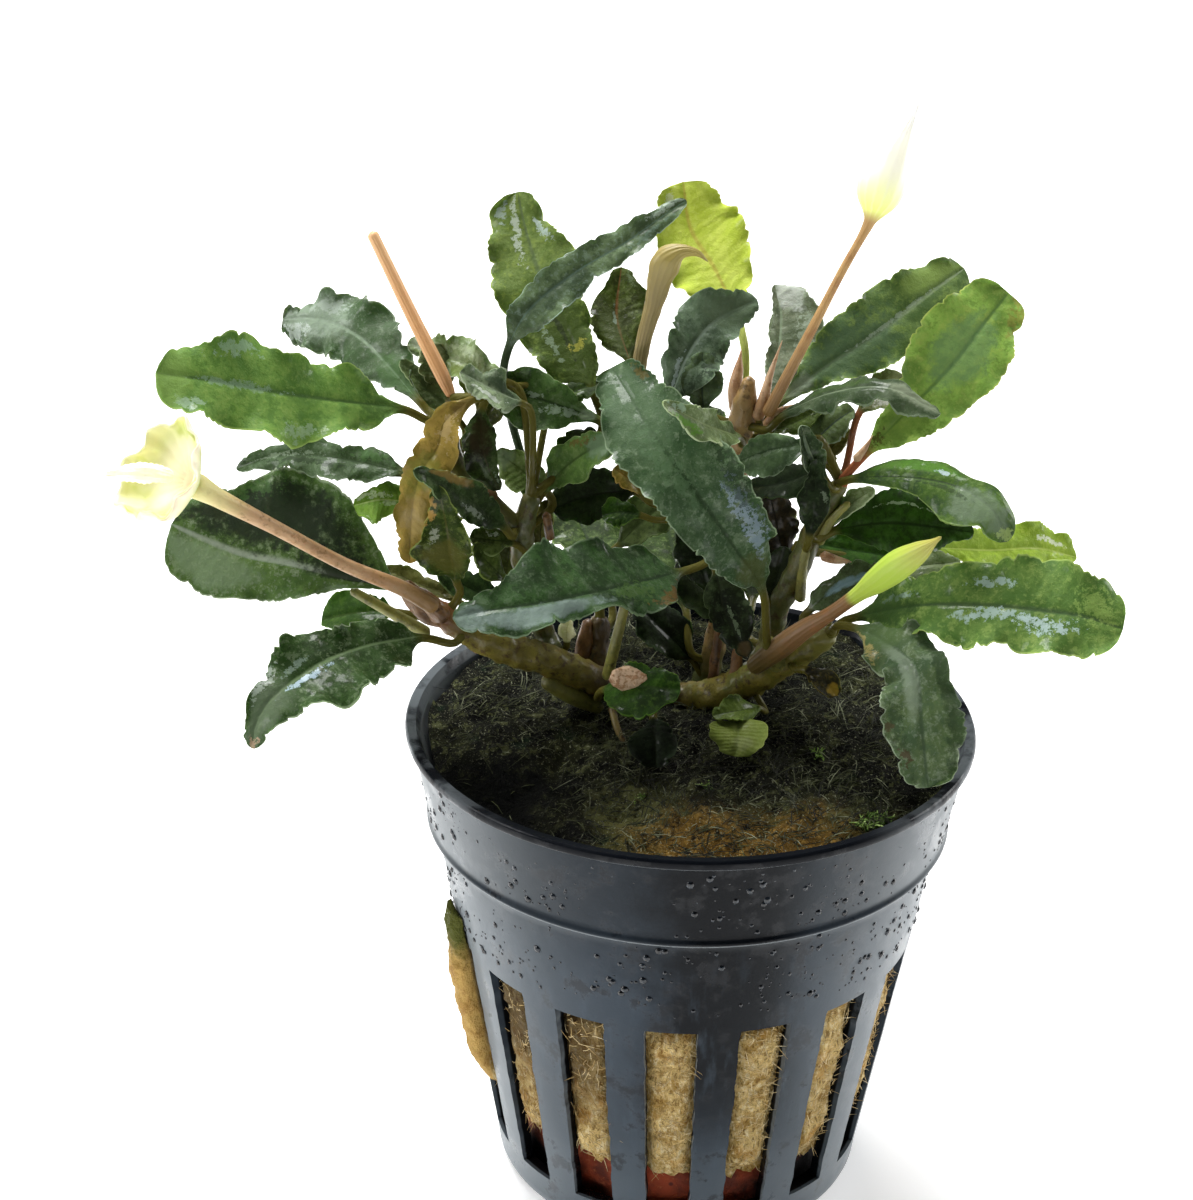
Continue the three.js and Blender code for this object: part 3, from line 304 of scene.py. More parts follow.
class Line:
    """A smooth curve through points, walked by its length. It takes wide bends between far points."""

    SAMPLES = 40

    def __init__(self, points):
        p = np.vstack([2 * points[0] - points[1], points, 2 * points[-1] - points[-2]])
        pieces = []
        t = np.linspace(0, 1, self.SAMPLES, endpoint=False)[:, None]
        for a, b, c, d in zip(p, p[1:], p[2:], p[3:]):
            gaps = [max(np.linalg.norm(v) ** 0.5, 1e-3) for v in (b - a, c - b, d - c)]
            leave = ((b - a) / gaps[0] - (c - a) / (gaps[0] + gaps[1]) + (c - b) / gaps[1]) * gaps[1]
            arrive = ((c - b) / gaps[1] - (d - b) / (gaps[1] + gaps[2]) + (d - c) / gaps[2]) * gaps[1]
            bend = 3 * (c - b) - 2 * leave - arrive
            pieces.append(b + leave * t + bend * t ** 2 + (2 * (b - c) + leave + arrive) * t ** 3)
        self.points = np.vstack([*pieces, points[-1:]])
        steps = np.linalg.norm(np.diff(self.points, axis=0), axis=1)
        self.lengths = np.concatenate([[0], np.cumsum(steps)])
        self.total = self.lengths[-1]

    def at(self, length):
        return np.stack([np.interp(length, self.lengths, self.points[:, i]) for i in range(3)], -1)

    def direction(self, length):
        middle = np.clip(length, 0.3, self.total - 0.3)
        return unit(self.at(middle + 0.3) - self.at(middle - 0.3))

    def length_to(self, number):
        return self.lengths[self.SAMPLES * number]


def smooth_table(table, places):
    """A smooth curve through evenly spaced values, level at its last one."""
    table = np.asarray(table, float)
    x = np.clip(places, 0, 1) * (len(table) - 1)
    i = np.minimum(x.astype(int), len(table) - 2)
    slopes = np.gradient(table)
    slopes[-1] = 0
    t = x - i
    a, b, m, n = table[i], table[i + 1], slopes[i], slopes[i + 1]
    return a + m * t + (3 * (b - a) - 2 * m - n) * t ** 2 + (2 * (a - b) + m + n) * t ** 3


def turned(radius, turn, up):
    """Points at some distances from the upright axis, angles and heights."""
    return np.stack(np.broadcast_arrays(radius * np.cos(turn), radius * np.sin(turn), up), -1)


def soft_step(values, low, high):
    t = np.clip((values - low) / (high - low), 0, 1)
    return t * t * (3 - 2 * t)


# %% [markdown]
# ## From rings of points to a mesh
#
# Leaves, stalks and flowers are all skins over a row of rings. One helper joins the rings with quads,
# closes both ends, writes a UV map that the finishes read, and hands the piece over to the frame: it rides
# on the only body, and it hides the solid that it stands for.


def add_piece(name, form, material, nodes=(), sharp_degrees=None):
    """Makes a piece of a form: vertices, faces and, where its finish needs them, UVs."""
    vertices, faces, *uv = form
    mesh = bpy.data.meshes.new(name)
    mesh.from_pydata((np.asarray(vertices) * MM).tolist(), [], faces)
    mesh.polygons.foreach_set("use_smooth", [True] * len(mesh.polygons))
    if uv:
        layer = mesh.uv_layers.new(name="leaf")
        layer.uv.foreach_set("vector", np.asarray(uv[0], np.float32).ravel())
    mesh.materials.append(material)
    if sharp_degrees is not None:
        mesh.set_sharp_from_angle(angle=math.radians(sharp_degrees))
    piece = bpy.data.objects.new(name, mesh)
    scene.collection.objects.link(piece)
    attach(piece, "root")
    if nodes:
        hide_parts(*nodes)
    return piece


def ring_faces(rows, columns, first=0):
    """Quads between rows of closed rings, and the row and column of each of their corners."""
    r, c = [a.ravel() for a in np.meshgrid(np.arange(rows - 1), np.arange(columns), indexing="ij")]
    n = (c + 1) % columns
    quads = np.stack([r * columns + c, r * columns + n, (r + 1) * columns + n, (r + 1) * columns + c], 1)
    corner_rows = np.stack([r, r, r + 1, r + 1], 1)
    corner_columns = np.stack([c, c + 1, c + 1, c], 1)
    return quads + first, corner_rows, corner_columns


def skin(rings, along, flip=False):
    """Vertices, faces and UVs of a closed skin. `along` is the second UV value of each ring."""
    rows, columns = rings.shape[:2]
    quads, corner_rows, corner_columns = ring_faces(rows, columns)
    uv = np.stack([corner_columns / columns, np.asarray(along)[corner_rows]], -1)
    start = list(range(columns))
    end = [(rows - 1) * columns + i for i in range(columns)]
    faces = [*quads.tolist(), start[::-1], end]
    uv = [*uv.reshape(-1, 2).tolist(), *[[0.5, along[0]]] * columns, *[[0.5, along[-1]]] * columns]
    if flip:
        sizes = [len(f) for f in faces]
        spots = np.cumsum([0, *sizes])
        uv = [uv[s + k] for s, n in zip(spots, sizes) for k in reversed(range(n))]
        faces = [f[::-1] for f in faces]
    return rings.reshape(-1, 3), faces, uv


def joined(*forms):
    """Several (vertices, faces, uv) as one."""
    vertices, faces, uv, count = [], [], [], 0
    for v, f, t in forms:
        vertices.append(v)
        faces += [[i + count for i in face] for face in f]
        uv += list(t)
        count += len(v)
    return np.vstack(vertices), faces, uv


print("a test ring of 3 rows and 4 columns has", len(ring_faces(3, 4)[0]), "quads")


# %% [markdown]
# ## Stems and stalks
#
# The creeping stems are thick, olive and brown, ringed by the scars of old leaves. Flower stalks are thin
# and smooth. Both are round bars along a line, so one form serves for all of them: the radius runs smoothly
# between the measured points, rings and lumps are added where a stem has them, and the ends are rounded.

# %% Stem form
END_ROUNDING = 0.8


def stem_form(points, radii, sides=20, rings=0.0, pitch=1.6, lumps=0.0, flat=1.0, row_step=0.3, seed=1):
    """A bar with rings every `pitch`, lumps, and a section squeezed to `flat` of its width."""
    line = Line(seen(points))
    rows = max(8, round(line.total / row_step))
    lengths = np.linspace(0, line.total, rows)
    marks = [line.length_to(i) for i in range(len(points))]
    radius = smooth_table(radii, np.interp(lengths, marks, np.arange(len(points))) / (len(points) - 1))
    end = np.minimum(lengths, line.total - lengths) / (END_ROUNDING * np.maximum(radius, 0.05))
    radius = radius * np.sqrt(1 - (1 - np.clip(end, 0.04, 1)) ** 2)
    scars = np.abs(np.sin(np.pi * lengths / pitch + 0.6 * np.sin(lengths + seed))) ** 6
    radius = radius * (1 + rings * scars)
    centre, ahead = line.at(lengths), line.direction(lengths)
    front = across_from(np.array([0, -1, 0.3]) + np.zeros_like(ahead), ahead)
    side = np.cross(ahead, front)
    turn = np.linspace(0, 2 * np.pi, sides, endpoint=False)
    far = lengths[:, None]
    form = 1 + lumps * np.sin(3 * turn + 0.8 * far + seed) * np.sin(1.7 * far)
    form = form + 0.5 * lumps * np.sin(7 * turn - 2.3 * far)
    reach = radius[:, None] * form
    around = side[:, None] * np.cos(turn)[:, None] + front[:, None] * (flat * np.sin(turn))[:, None]
    return skin(centre[:, None] + around * reach[..., None], lengths / line.total, flip=True)


def add_bar(name, node, bar, finish, **form):
    """A bar in the place of one solid."""
    return add_piece(name, stem_form(*bar, **form), finish, [node])


def stem_finish(name, tones, band="3a2e16", gloss=0.35, band_share=0.5, start_tone=None, end_tone=None):
    """Tones are main, second and dark colour. Bands are the scars across the stem."""
    finish = Finish(name)
    _, along = finish.uv_map()
    wide = finish.clouds(2.2, 4)
    grain = finish.clouds(0.3, 3, 0.65)
    skin = finish.blend(tones[0], tones[1], wide.between(0.4, 0.62))
    skin = skin.mixed(tones[2], finish.clouds(0.9, 4, 0.7).between(0.52, 0.66) * 0.85)
    if start_tone:
        skin = skin.mixed(start_tone, (along + wide * 0.1).between(0.32, 0.1))
    if end_tone:
        skin = skin.mixed(end_tone, (along + wide * 0.1).between(0.78, 1.0))
    bands = finish.cells(1.3).between(0.3, 0.05) * grain.between(0.3, 0.6)
    skin = skin.mixed(band, bands * band_share)
    return finish.surface(
        Base_Color=skin,
        Roughness=0.36 + grain * 0.35,
        Normal=finish.bumps(grain + wide * 0.5, 0.1),
        Specular_IOR_Level=0.35,
        Coat_Weight=gloss,
        Coat_Roughness=0.2,
        Subsurface_Weight=0.05,
        Subsurface_Scale=0.001,
    )


print("stem form with", stem_form([(0, 0, 50), (0, 0, 55)], [1, 1])[0].shape[0], "vertices for 5 mm")

# %% [markdown]
# ## The creeping stems and the upright stems
#
# Two creeping stems lie on the rock wool, the left one with a stump on it. Upright stems rise from them at
# the main forks. They are greenish brown, wet, and browner where old sheaths have rotted on.

# %% Creeping and upright stems
LEFT_CREEPER = ([(-6.6, 2, 46.7), (-9, 1, 48.4), (-12.5, 0, 49.8), (-16.5, -1, 51), (-20, -1.5, 52.7),
                 (-23.4, -2, 55.3)], [1, 1.3, 1.35, 1.3, 1.2, 0.9])
STUMP = ([(-8.2, 2.6, 48.6), (-8.2, 4, 51.6), (-8.1, 4.4, 54.4)], [1, 1.05, 0.8])
RIGHT_CREEPER = ([(-3.5, 4, 46.8), (0, 3.5, 46.8), (3, 2, 47.5), (6, 1, 49.3), (9, 0, 51.3),
                  (12.2, -1, 53.6)], [1.1, 1.3, 1.4, 1.45, 1.25, 0.9])
UPRIGHT_STEMS = {
    "stem_mid_left": ([(-12, 0.6, 50.2), (-12.6, 2.4, 52), (-14, 2.2, 56), (-14.8, 2, 60.3), (-14.6, 2, 63),
                       (-13.9, 2, 65.6)], [1, 0.9, 0.95, 1, 0.9, 0.8]),
    "stem_mid_left_branch": ([(-15.4, 1.9, 62.2), (-16.2, 1.6, 63.3), (-18.2, 1.2, 65.3), (-20.3, 1, 67.6),
                              (-21, 1, 71.5), (-20.6, 1.4, 74)], [0.8, 0.8, 0.85, 0.85, 0.75, 0.6]),
    "stem_right_mid": ([(5.8, 1.4, 49.6), (6.6, 3.6, 52.3), (7.4, 3.4, 56.3), (8.8, 3, 59.5),
                        (9.9, 2.6, 62.8), (11, 2.2, 65.7), (12.2, 1.8, 67.6)],
                       [1.1, 1, 1.05, 1, 0.95, 0.9, 0.7]),
    "stem_top": ([(1, 7.6, 47.4), (1.7, 6.8, 50.6), (2.6, 6.6, 57), (3, 6, 64), (3.4, 5, 71.4),
                  (3.7, 4.6, 74.4), (4, 4.6, 76.6)], [1.2, 1, 0.9, 0.9, 1.1, 1, 0.5]),
}

left_skin = stem_finish("left_creeper_skin", ("645a1c", "786e28", "402c10"), start_tone="40300f",
                        end_tone="7c4c28")
right_skin = stem_finish("right_creeper_skin", ("62641c", "80752a", "443010"), start_tone="4f3614",
                         end_tone="6c6a2a")
upright_skin = stem_finish("upright_skin", ("484e1e", "5e5a24", "3c2a12"), band_share=0.3)
top_skin = stem_finish("top_stem_skin", ("8a7040", "a0804e", "5c4624"), start_tone="484e1e")
stump_skin = stem_finish("stump_skin", ("4a3818", "5a4a20", "241a0c"))
add_bar("creeper_stump", "rhizome_left", STUMP, stump_skin, rings=0.08, lumps=0.16, seed=5)
add_bar("creeper_left", "rhizome_left", LEFT_CREEPER, left_skin, rings=0.1, lumps=0.1, seed=2)
add_bar("creeper_right", "rhizome_right", RIGHT_CREEPER, right_skin, rings=0.1, lumps=0.1, seed=3)
for number, (node, bar) in enumerate(UPRIGHT_STEMS.items()):
    bark = top_skin if node == "stem_top" else upright_skin
    name = node.replace("stem", "upright")
    add_bar(name, node, bar, bark, rings=0.08, pitch=2.2, lumps=0.06, seed=number)
STEM_LINES = [LEFT_CREEPER, STUMP, RIGHT_CREEPER, *UPRIGHT_STEMS.values()]
STEM_POINTS = np.vstack([Line(seen(points)).points[4:-4] for points, _ in STEM_LINES])
print("two creeping stems and", len(UPRIGHT_STEMS), "upright ones")

# %% [markdown]
# ## The form of a leaf
#
# A leaf of this plant is thick and stiff, with a sunk midrib, a keel under it, side veins that quilt the
# blade, and a wavy margin of small rounded lobes. A flat card with a picture on it would lose all of that
# from the side. So each leaf is a closed grid: its line runs from the foot of the stalk to the tip, and at
# each place along it a section from margin to margin is drawn, round on the stalk and flat on the blade.
#
# Widths are read at seven even places, left and right of the midrib for someone who looks at the upper side
# with the tip ahead. A leaf seen at a slant is really wider, so the width is divided by the share that the
# slant leaves.

# %% Leaf form
LEAST_SEEN_SHARE = 0.78
OVAL = (0.42, 0.74, 0.93, 1, 0.98, 0.86, 0.6)
COLUMNS = (-1, -0.97, -0.91, -0.82, -0.71, -0.59, -0.47, -0.35, -0.24, -0.15, -0.07)
ACROSS = np.array([*COLUMNS, 0, *[-c for c in reversed(COLUMNS)]])
HIGH = (0, -0.55, 0.83)
UNDERSIDE = 2
FINE_STEP = 0.21
COARSE_STEP = 0.3


@dataclass
class Leaf:
    """One leaf. `tones` are the hex colours of its blade, its mottling, its midrib, where that differs
    from the mottling, and its margin. `left` and `right` are its half widths. `fold` lifts the margins,
    `wave` is the height and count of its wide waves, `blade` the number of the point where the blade
    begins, and `lobes` the pitch and depth of the lobes of its margin. `marks` are soft patches of (place
    along, place across, length, width, colour, strength). They are the leaf's own yellowed or browned
    parts, and also painted light: pale bluish painted highlights on the wet skin and some dark painted
    shade. A leaf with a `slot` has no solid."""
    name: str
    tones: str
    points: list
    left: tuple
    right: tuple
    face: tuple = HIGH
    tip_face: tuple = None
    fold: float = 0.15
    wave: tuple = (0.0, 0)
    blade: int = 1
    lobes: tuple = (2.2, 0.38)
    marks: tuple = ()
    stalk: str = "56521f"
    slot: str = None


def leaf_width(widths, places):
    table = [0.45, *(widths if isinstance(widths, tuple) else [share * widths for share in OVAL])]
    body = smooth_table(table, places / 0.875)
    tip = table[-1] * np.sqrt(np.clip(1 - (places * 8 - 7) ** 2, 0, 1))
    return np.where(places > 0.875, tip, body)


def rooted(points):
    """Leads the foot of a stalk into a near stem, and rather into one that lies straight behind it."""
    gaps = STEM_POINTS - points[0]
    reach = np.linalg.norm(gaps, axis=1)
    straight = gaps @ unit(points[0] - points[1]) / np.maximum(reach, 0.1)
    return np.vstack([STEM_POINTS[(reach * (1.2 + (1 - straight) ** 2 + 0.1 * reach)).argmin()], points])


def lobed(length, pitch, depth, phase):
    """How far the margin stands in at some lengths along it: uneven round lobes with narrow notches."""
    step = length / pitch + 0.35 * np.sin(length * 0.7 + phase)
    step = step + 0.12 * np.sin(length * 2.9 + 2 * phase) + phase
    size = 0.7 + 0.5 * np.sin(np.floor(step) * 2.4 + 3 * phase)
    large = size * (1 - np.abs(np.sin(np.pi * step)) ** 0.7)
    small_step = length / (0.31 * pitch) + 0.5 * np.sin(length * 1.3 + 2 * phase)
    small = 0.26 * (1 - np.abs(np.sin(np.pi * small_step))) * (1 + np.sin(length * 1.1 + phase))
    return depth * (large + small)


def leaf_form(leaf, seed):
    line = Line(rooted(seen(leaf.points)))
    start = line.length_to(leaf.blade + 1)
    blade = line.total - start
    stalk_rows = max(4, round(start / 0.5))
    blade_rows = int(np.clip(blade / (COARSE_STEP if leaf.slot else FINE_STEP), 40, 116))
    even = np.linspace(0, 1, blade_rows)
    places = np.sin(np.linspace(0, np.pi / 2, blade_rows)) ** 1.3 * 0.35 + even * 0.65
    lengths = np.concatenate([np.linspace(0, start, stalk_rows, endpoint=False), start + places * blade])
    place = (lengths - start) / blade
    on_blade = np.clip(place, 0, 1)
    centre = line.at(lengths)
    ahead = line.direction(lengths)
    faces = np.asarray(leaf.face, float)
    turn_to = np.asarray(leaf.tip_face or leaf.face, float)
    up = across_from(faces + (turn_to - faces) * on_blade[:, None], ahead)
    left = np.cross(up, ahead)
    sight = unit(centre - EYE)
    seen_share = np.linalg.norm(left - (left * sight).sum(-1, keepdims=True) * sight, axis=-1)
    scale = (1 - centre[:, 1] / EYE[1]) / np.maximum(seen_share, LEAST_SEEN_SHARE)

    is_blade = soft_step(place, -0.02, 0.14)
    stalk = (0.3 if leaf.slot else 0.36) + 0.2 * soft_step(-lengths, -1.6, 0)
    near_tip = np.sqrt(np.clip((1 - place) / 0.05, 0, 1))
    u = ACROSS[None, :]
    half = np.empty((len(place), len(ACROSS)))
    lift = np.zeros_like(half)
    pitch, depth = leaf.lobes
    height, count = leaf.wave
    for side, widths in ((1, leaf.left), (-1, leaf.right)):
        width = np.maximum(leaf_width(widths, on_blade) * scale, 0.1)
        margin = lobed(lengths + 1.7 * side, pitch, depth, 0.37 * seed + side)
        shrink = np.clip(width / 1.5, 0, 1) * is_blade
        width = np.maximum(width + (0.3 * depth - margin) * shrink, 0.06)
        width = width * is_blade + stalk * (1 - is_blade)
        mine = (u * side > 0) | (u == 0) & (side > 0)
        half = np.where(mine, width[:, None], half)
        phase = 0 if side > 0 else 2
        broad = height * np.sin(np.pi * on_blade) * np.sin(2 * np.pi * count * on_blade + phase)
        ruffle = 1.25 * depth * np.sin(np.pi * (lengths + 1.7 * side) / pitch + seed) * shrink
        raised = (leaf.fold * width + broad) * is_blade
        edge = np.abs(u)
        lift = np.where(mine, raised[:, None] * edge ** 1.6 + ruffle[:, None] * edge ** 5, lift)
    sideways = u * half
    thick = (0.44 - 0.24 * np.abs(u) ** 1.5) * (0.35 + 0.65 * near_tip[:, None])
    vein = np.sin(2 * np.pi * (lengths[:, None] - 0.75 * np.abs(sideways)) / 1.5 + seed)
    quilt = 0.012 * vein * np.abs(u) * (1 - np.abs(u) ** 4) * near_tip[:, None]
    groove = 0.17 * np.exp(-(sideways / 0.3) ** 2) * near_tip[:, None]
    keel = 0.3 * np.exp(-(sideways / 0.42) ** 2) * (1 - 0.7 * on_blade[:, None])
    round_half = stalk[:, None] * np.sqrt(np.clip(1 - u ** 2, 0, 1)) * 0.92
    mix = is_blade[:, None]
    above = lift + mix * (thick / 2 + quilt - groove) + (1 - mix) * round_half
    below = lift + mix * (quilt - thick / 2 - keel) - (1 - mix) * round_half
    top = centre[:, None] + left[:, None] * sideways[..., None] + up[:, None] * above[..., None]
    bottom = centre[:, None] + left[:, None] * sideways[..., None] + up[:, None] * below[..., None]
    return leaf_sides(top, bottom, place)


def leaf_sides(top, bottom, place):
    """The skin of a leaf. Its upper side has UVs (across, along), its underside has 2 added to `along`."""
    rows, columns = top.shape[:2]
    spots = np.stack(np.broadcast_arrays((ACROSS + 1) / 2, place[:, None]), -1)
    number = np.arange(rows * columns).reshape(rows, columns)
    upper = np.dstack([number, spots])
    edge = np.dstack([number + rows * columns, spots])
    lower = edge + (0, 0, UNDERSIDE)
    here, there = slice(None, -1), slice(1, None)
    last = columns - 1
    faces, uv = [], []
    for quads in (
        (upper[here, here], upper[there, here], upper[there, there], upper[here, there]),
        (lower[here, here], lower[here, there], lower[there, there], lower[there, here]),
        (upper[here, 0], edge[here, 0], edge[there, 0], upper[there, 0]),
        (upper[there, last], edge[there, last], edge[here, last], upper[here, last]),
    ):
        corners = np.stack(quads, -2).reshape(-1, 4, 3)
        faces += corners[..., 0].astype(int).tolist()
        uv += corners[..., 1:].reshape(-1, 2).tolist()
    for row, order in ((0, 1), (rows - 1, -1)):
        loop = np.concatenate([upper[row], edge[row, ::-1]])[::order]
        faces.append(loop[:, 0].astype(int).tolist())
        uv += [[0.5, place[row]]] * len(loop)
    return np.vstack([top.reshape(-1, 3), bottom.reshape(-1, 3)]), faces, uv


print("a leaf section has", len(ACROSS), "columns")

# %% [markdown]
# ## The finish of a leaf
#
# The upper side is deep green and mottled, with the midrib and the margin in tones of their own, and it is
# wet: a thin clear coat over a waxy skin. The UV map gives the place on the leaf, so midrib, veins and
# margin need no picture. Soft patches named in each leaf's table paint the yellowed or browned parts that
# make each leaf itself, and painted light as well: the pale bluish patches and flecks are painted
# highlights, reflections of the bright light on the wet skin, and some dark patches are painted shade.

# %% Leaf finish
SMALL_MARK = 0.08


def tone_and_painted_light_patch(along, across, mark, ragged, torn):
    """Share of one mark at each place. A mark is a tone of the leaf, a painted highlight or painted shade,
    as its table gives. The edge of a wide mark is ragged, a small one is torn to flecks.
    """
    place, aside, length, width, _, strength = mark
    a = (along - place) / length
    b = (across - aside) / width
    reach = a * a + b * b
    if length * width < SMALL_MARK:
        return (reach + (torn - 0.5) * 7).between(0.6, 0.3) * strength
    return (reach + (ragged - 0.5) * 2).between(1.0, 0.25) * strength


def leaf_finish(leaf, seed):
    finish = Finish(f"leaf_{leaf.name}_skin")
    main, deep, *ribs, rim = leaf.tones.split()
    rib = ribs[0] if ribs else deep
    u, v = finish.uv_map()
    under = v > 1.25
    along = v - under * UNDERSIDE
    across = u * 2 - 1
    side = abs(across)
    veins = max(4, round(len(leaf.points) * 2.6))
    mottle = finish.clouds(3.2, 5, 0.6)
    grain = finish.clouds(0.4, 3, 0.6)
    vein = ((along * veins - side * 1.3 + mottle * 0.5) * 2 * math.pi + seed).sine()
    skin = finish.blend(main, deep, mottle.between(0.42, 0.62))
    skin = skin.mixed(deep, (vein * side).between(0.5, 1.0) * 0.12)
    fine = finish.clouds(0.9, 5, 0.72)
    skin = skin.mixed(deep, fine.between(0.5, 0.4) * 0.75)
    skin = skin.mixed(rim, fine.between(0.53, 0.62) * 0.26)
    skin = skin.mixed(rim, grain.between(0.54, 0.68) * 0.25)
    skin = skin.mixed(rim, side.between(0.955, 0.99) * 0.75)
    skin = skin.mixed(rib, (side + grain * 0.04).between(0.1, 0.03) * 0.85)
    ragged = finish.clouds(0.9, 4, 0.7)
    torn = finish.clouds(0.6, 6, 0.75)
    # The marks paint the leaf's own tones, and also painted highlights and painted shade, into the base
    # colour.
    for mark in leaf.marks:
        skin = skin.mixed(mark[4], tone_and_painted_light_patch(along, across, mark, ragged, torn))
    skin = skin.mixed("6d7d4a", under * 0.4)
    skin = skin.mixed(leaf.stalk, along.between(0.07, -0.03))
    film = finish.clouds(2.2, 5, 0.66).between(0.52, 0.59)
    relief = grain * 0.6 + vein * 0.12 + mottle * 0.6 + fine * 0.9 + finish.clouds(0.14, 2) * 0.3
    return finish.surface(
        Base_Color=skin,
        Roughness=0.55 - film * 0.2,
        Normal=finish.bumps(relief, 0.09),
        Specular_IOR_Level=0.09,
        Coat_Weight=film * 0.3,
        Coat_Roughness=0.12,
        Subsurface_Weight=0.06,
        Subsurface_Radius=(0.0006, 0.0009, 0.0003),
        Subsurface_Scale=1.0,
    )


LEAF_CREASE = 60
leaf_count = 0


def grow(leaves, slot=None):
    """Makes each leaf, in the place of its solid unless it has a slot. The running count varies them."""
    global leaf_count
    faces = 0
    for leaf in leaves:
        leaf_count += 1
        leaf.slot = leaf.slot or slot
        form = leaf_form(leaf, leaf_count)
        solids = [] if leaf.slot else ["leaf_" + leaf.name]
        finish = leaf_finish(leaf, leaf_count)
        add_piece("blade_" + leaf.name, form, finish, solids, LEAF_CREASE)
        faces += len(form[1])
    print(len(leaves), "leaves of", faces, "faces")


# %% [markdown]
# ## Leaves on the left
#
# The left half of the plant fans out towards the side: a long bright leaf on top, a toothed grey one
# behind it, a broad dark one that hangs below the open flower, and an old one that has withered to amber
# and curled. They grow from two upright stems on the left rhizome.
#
# Each is a row of measures: its line in space, its half widths, the way its upper side faces, and its
# patches. Sculpting by hand could follow one leaf more closely, but measures can be set against the
# photograph again and again, and the same form serves for all of them.

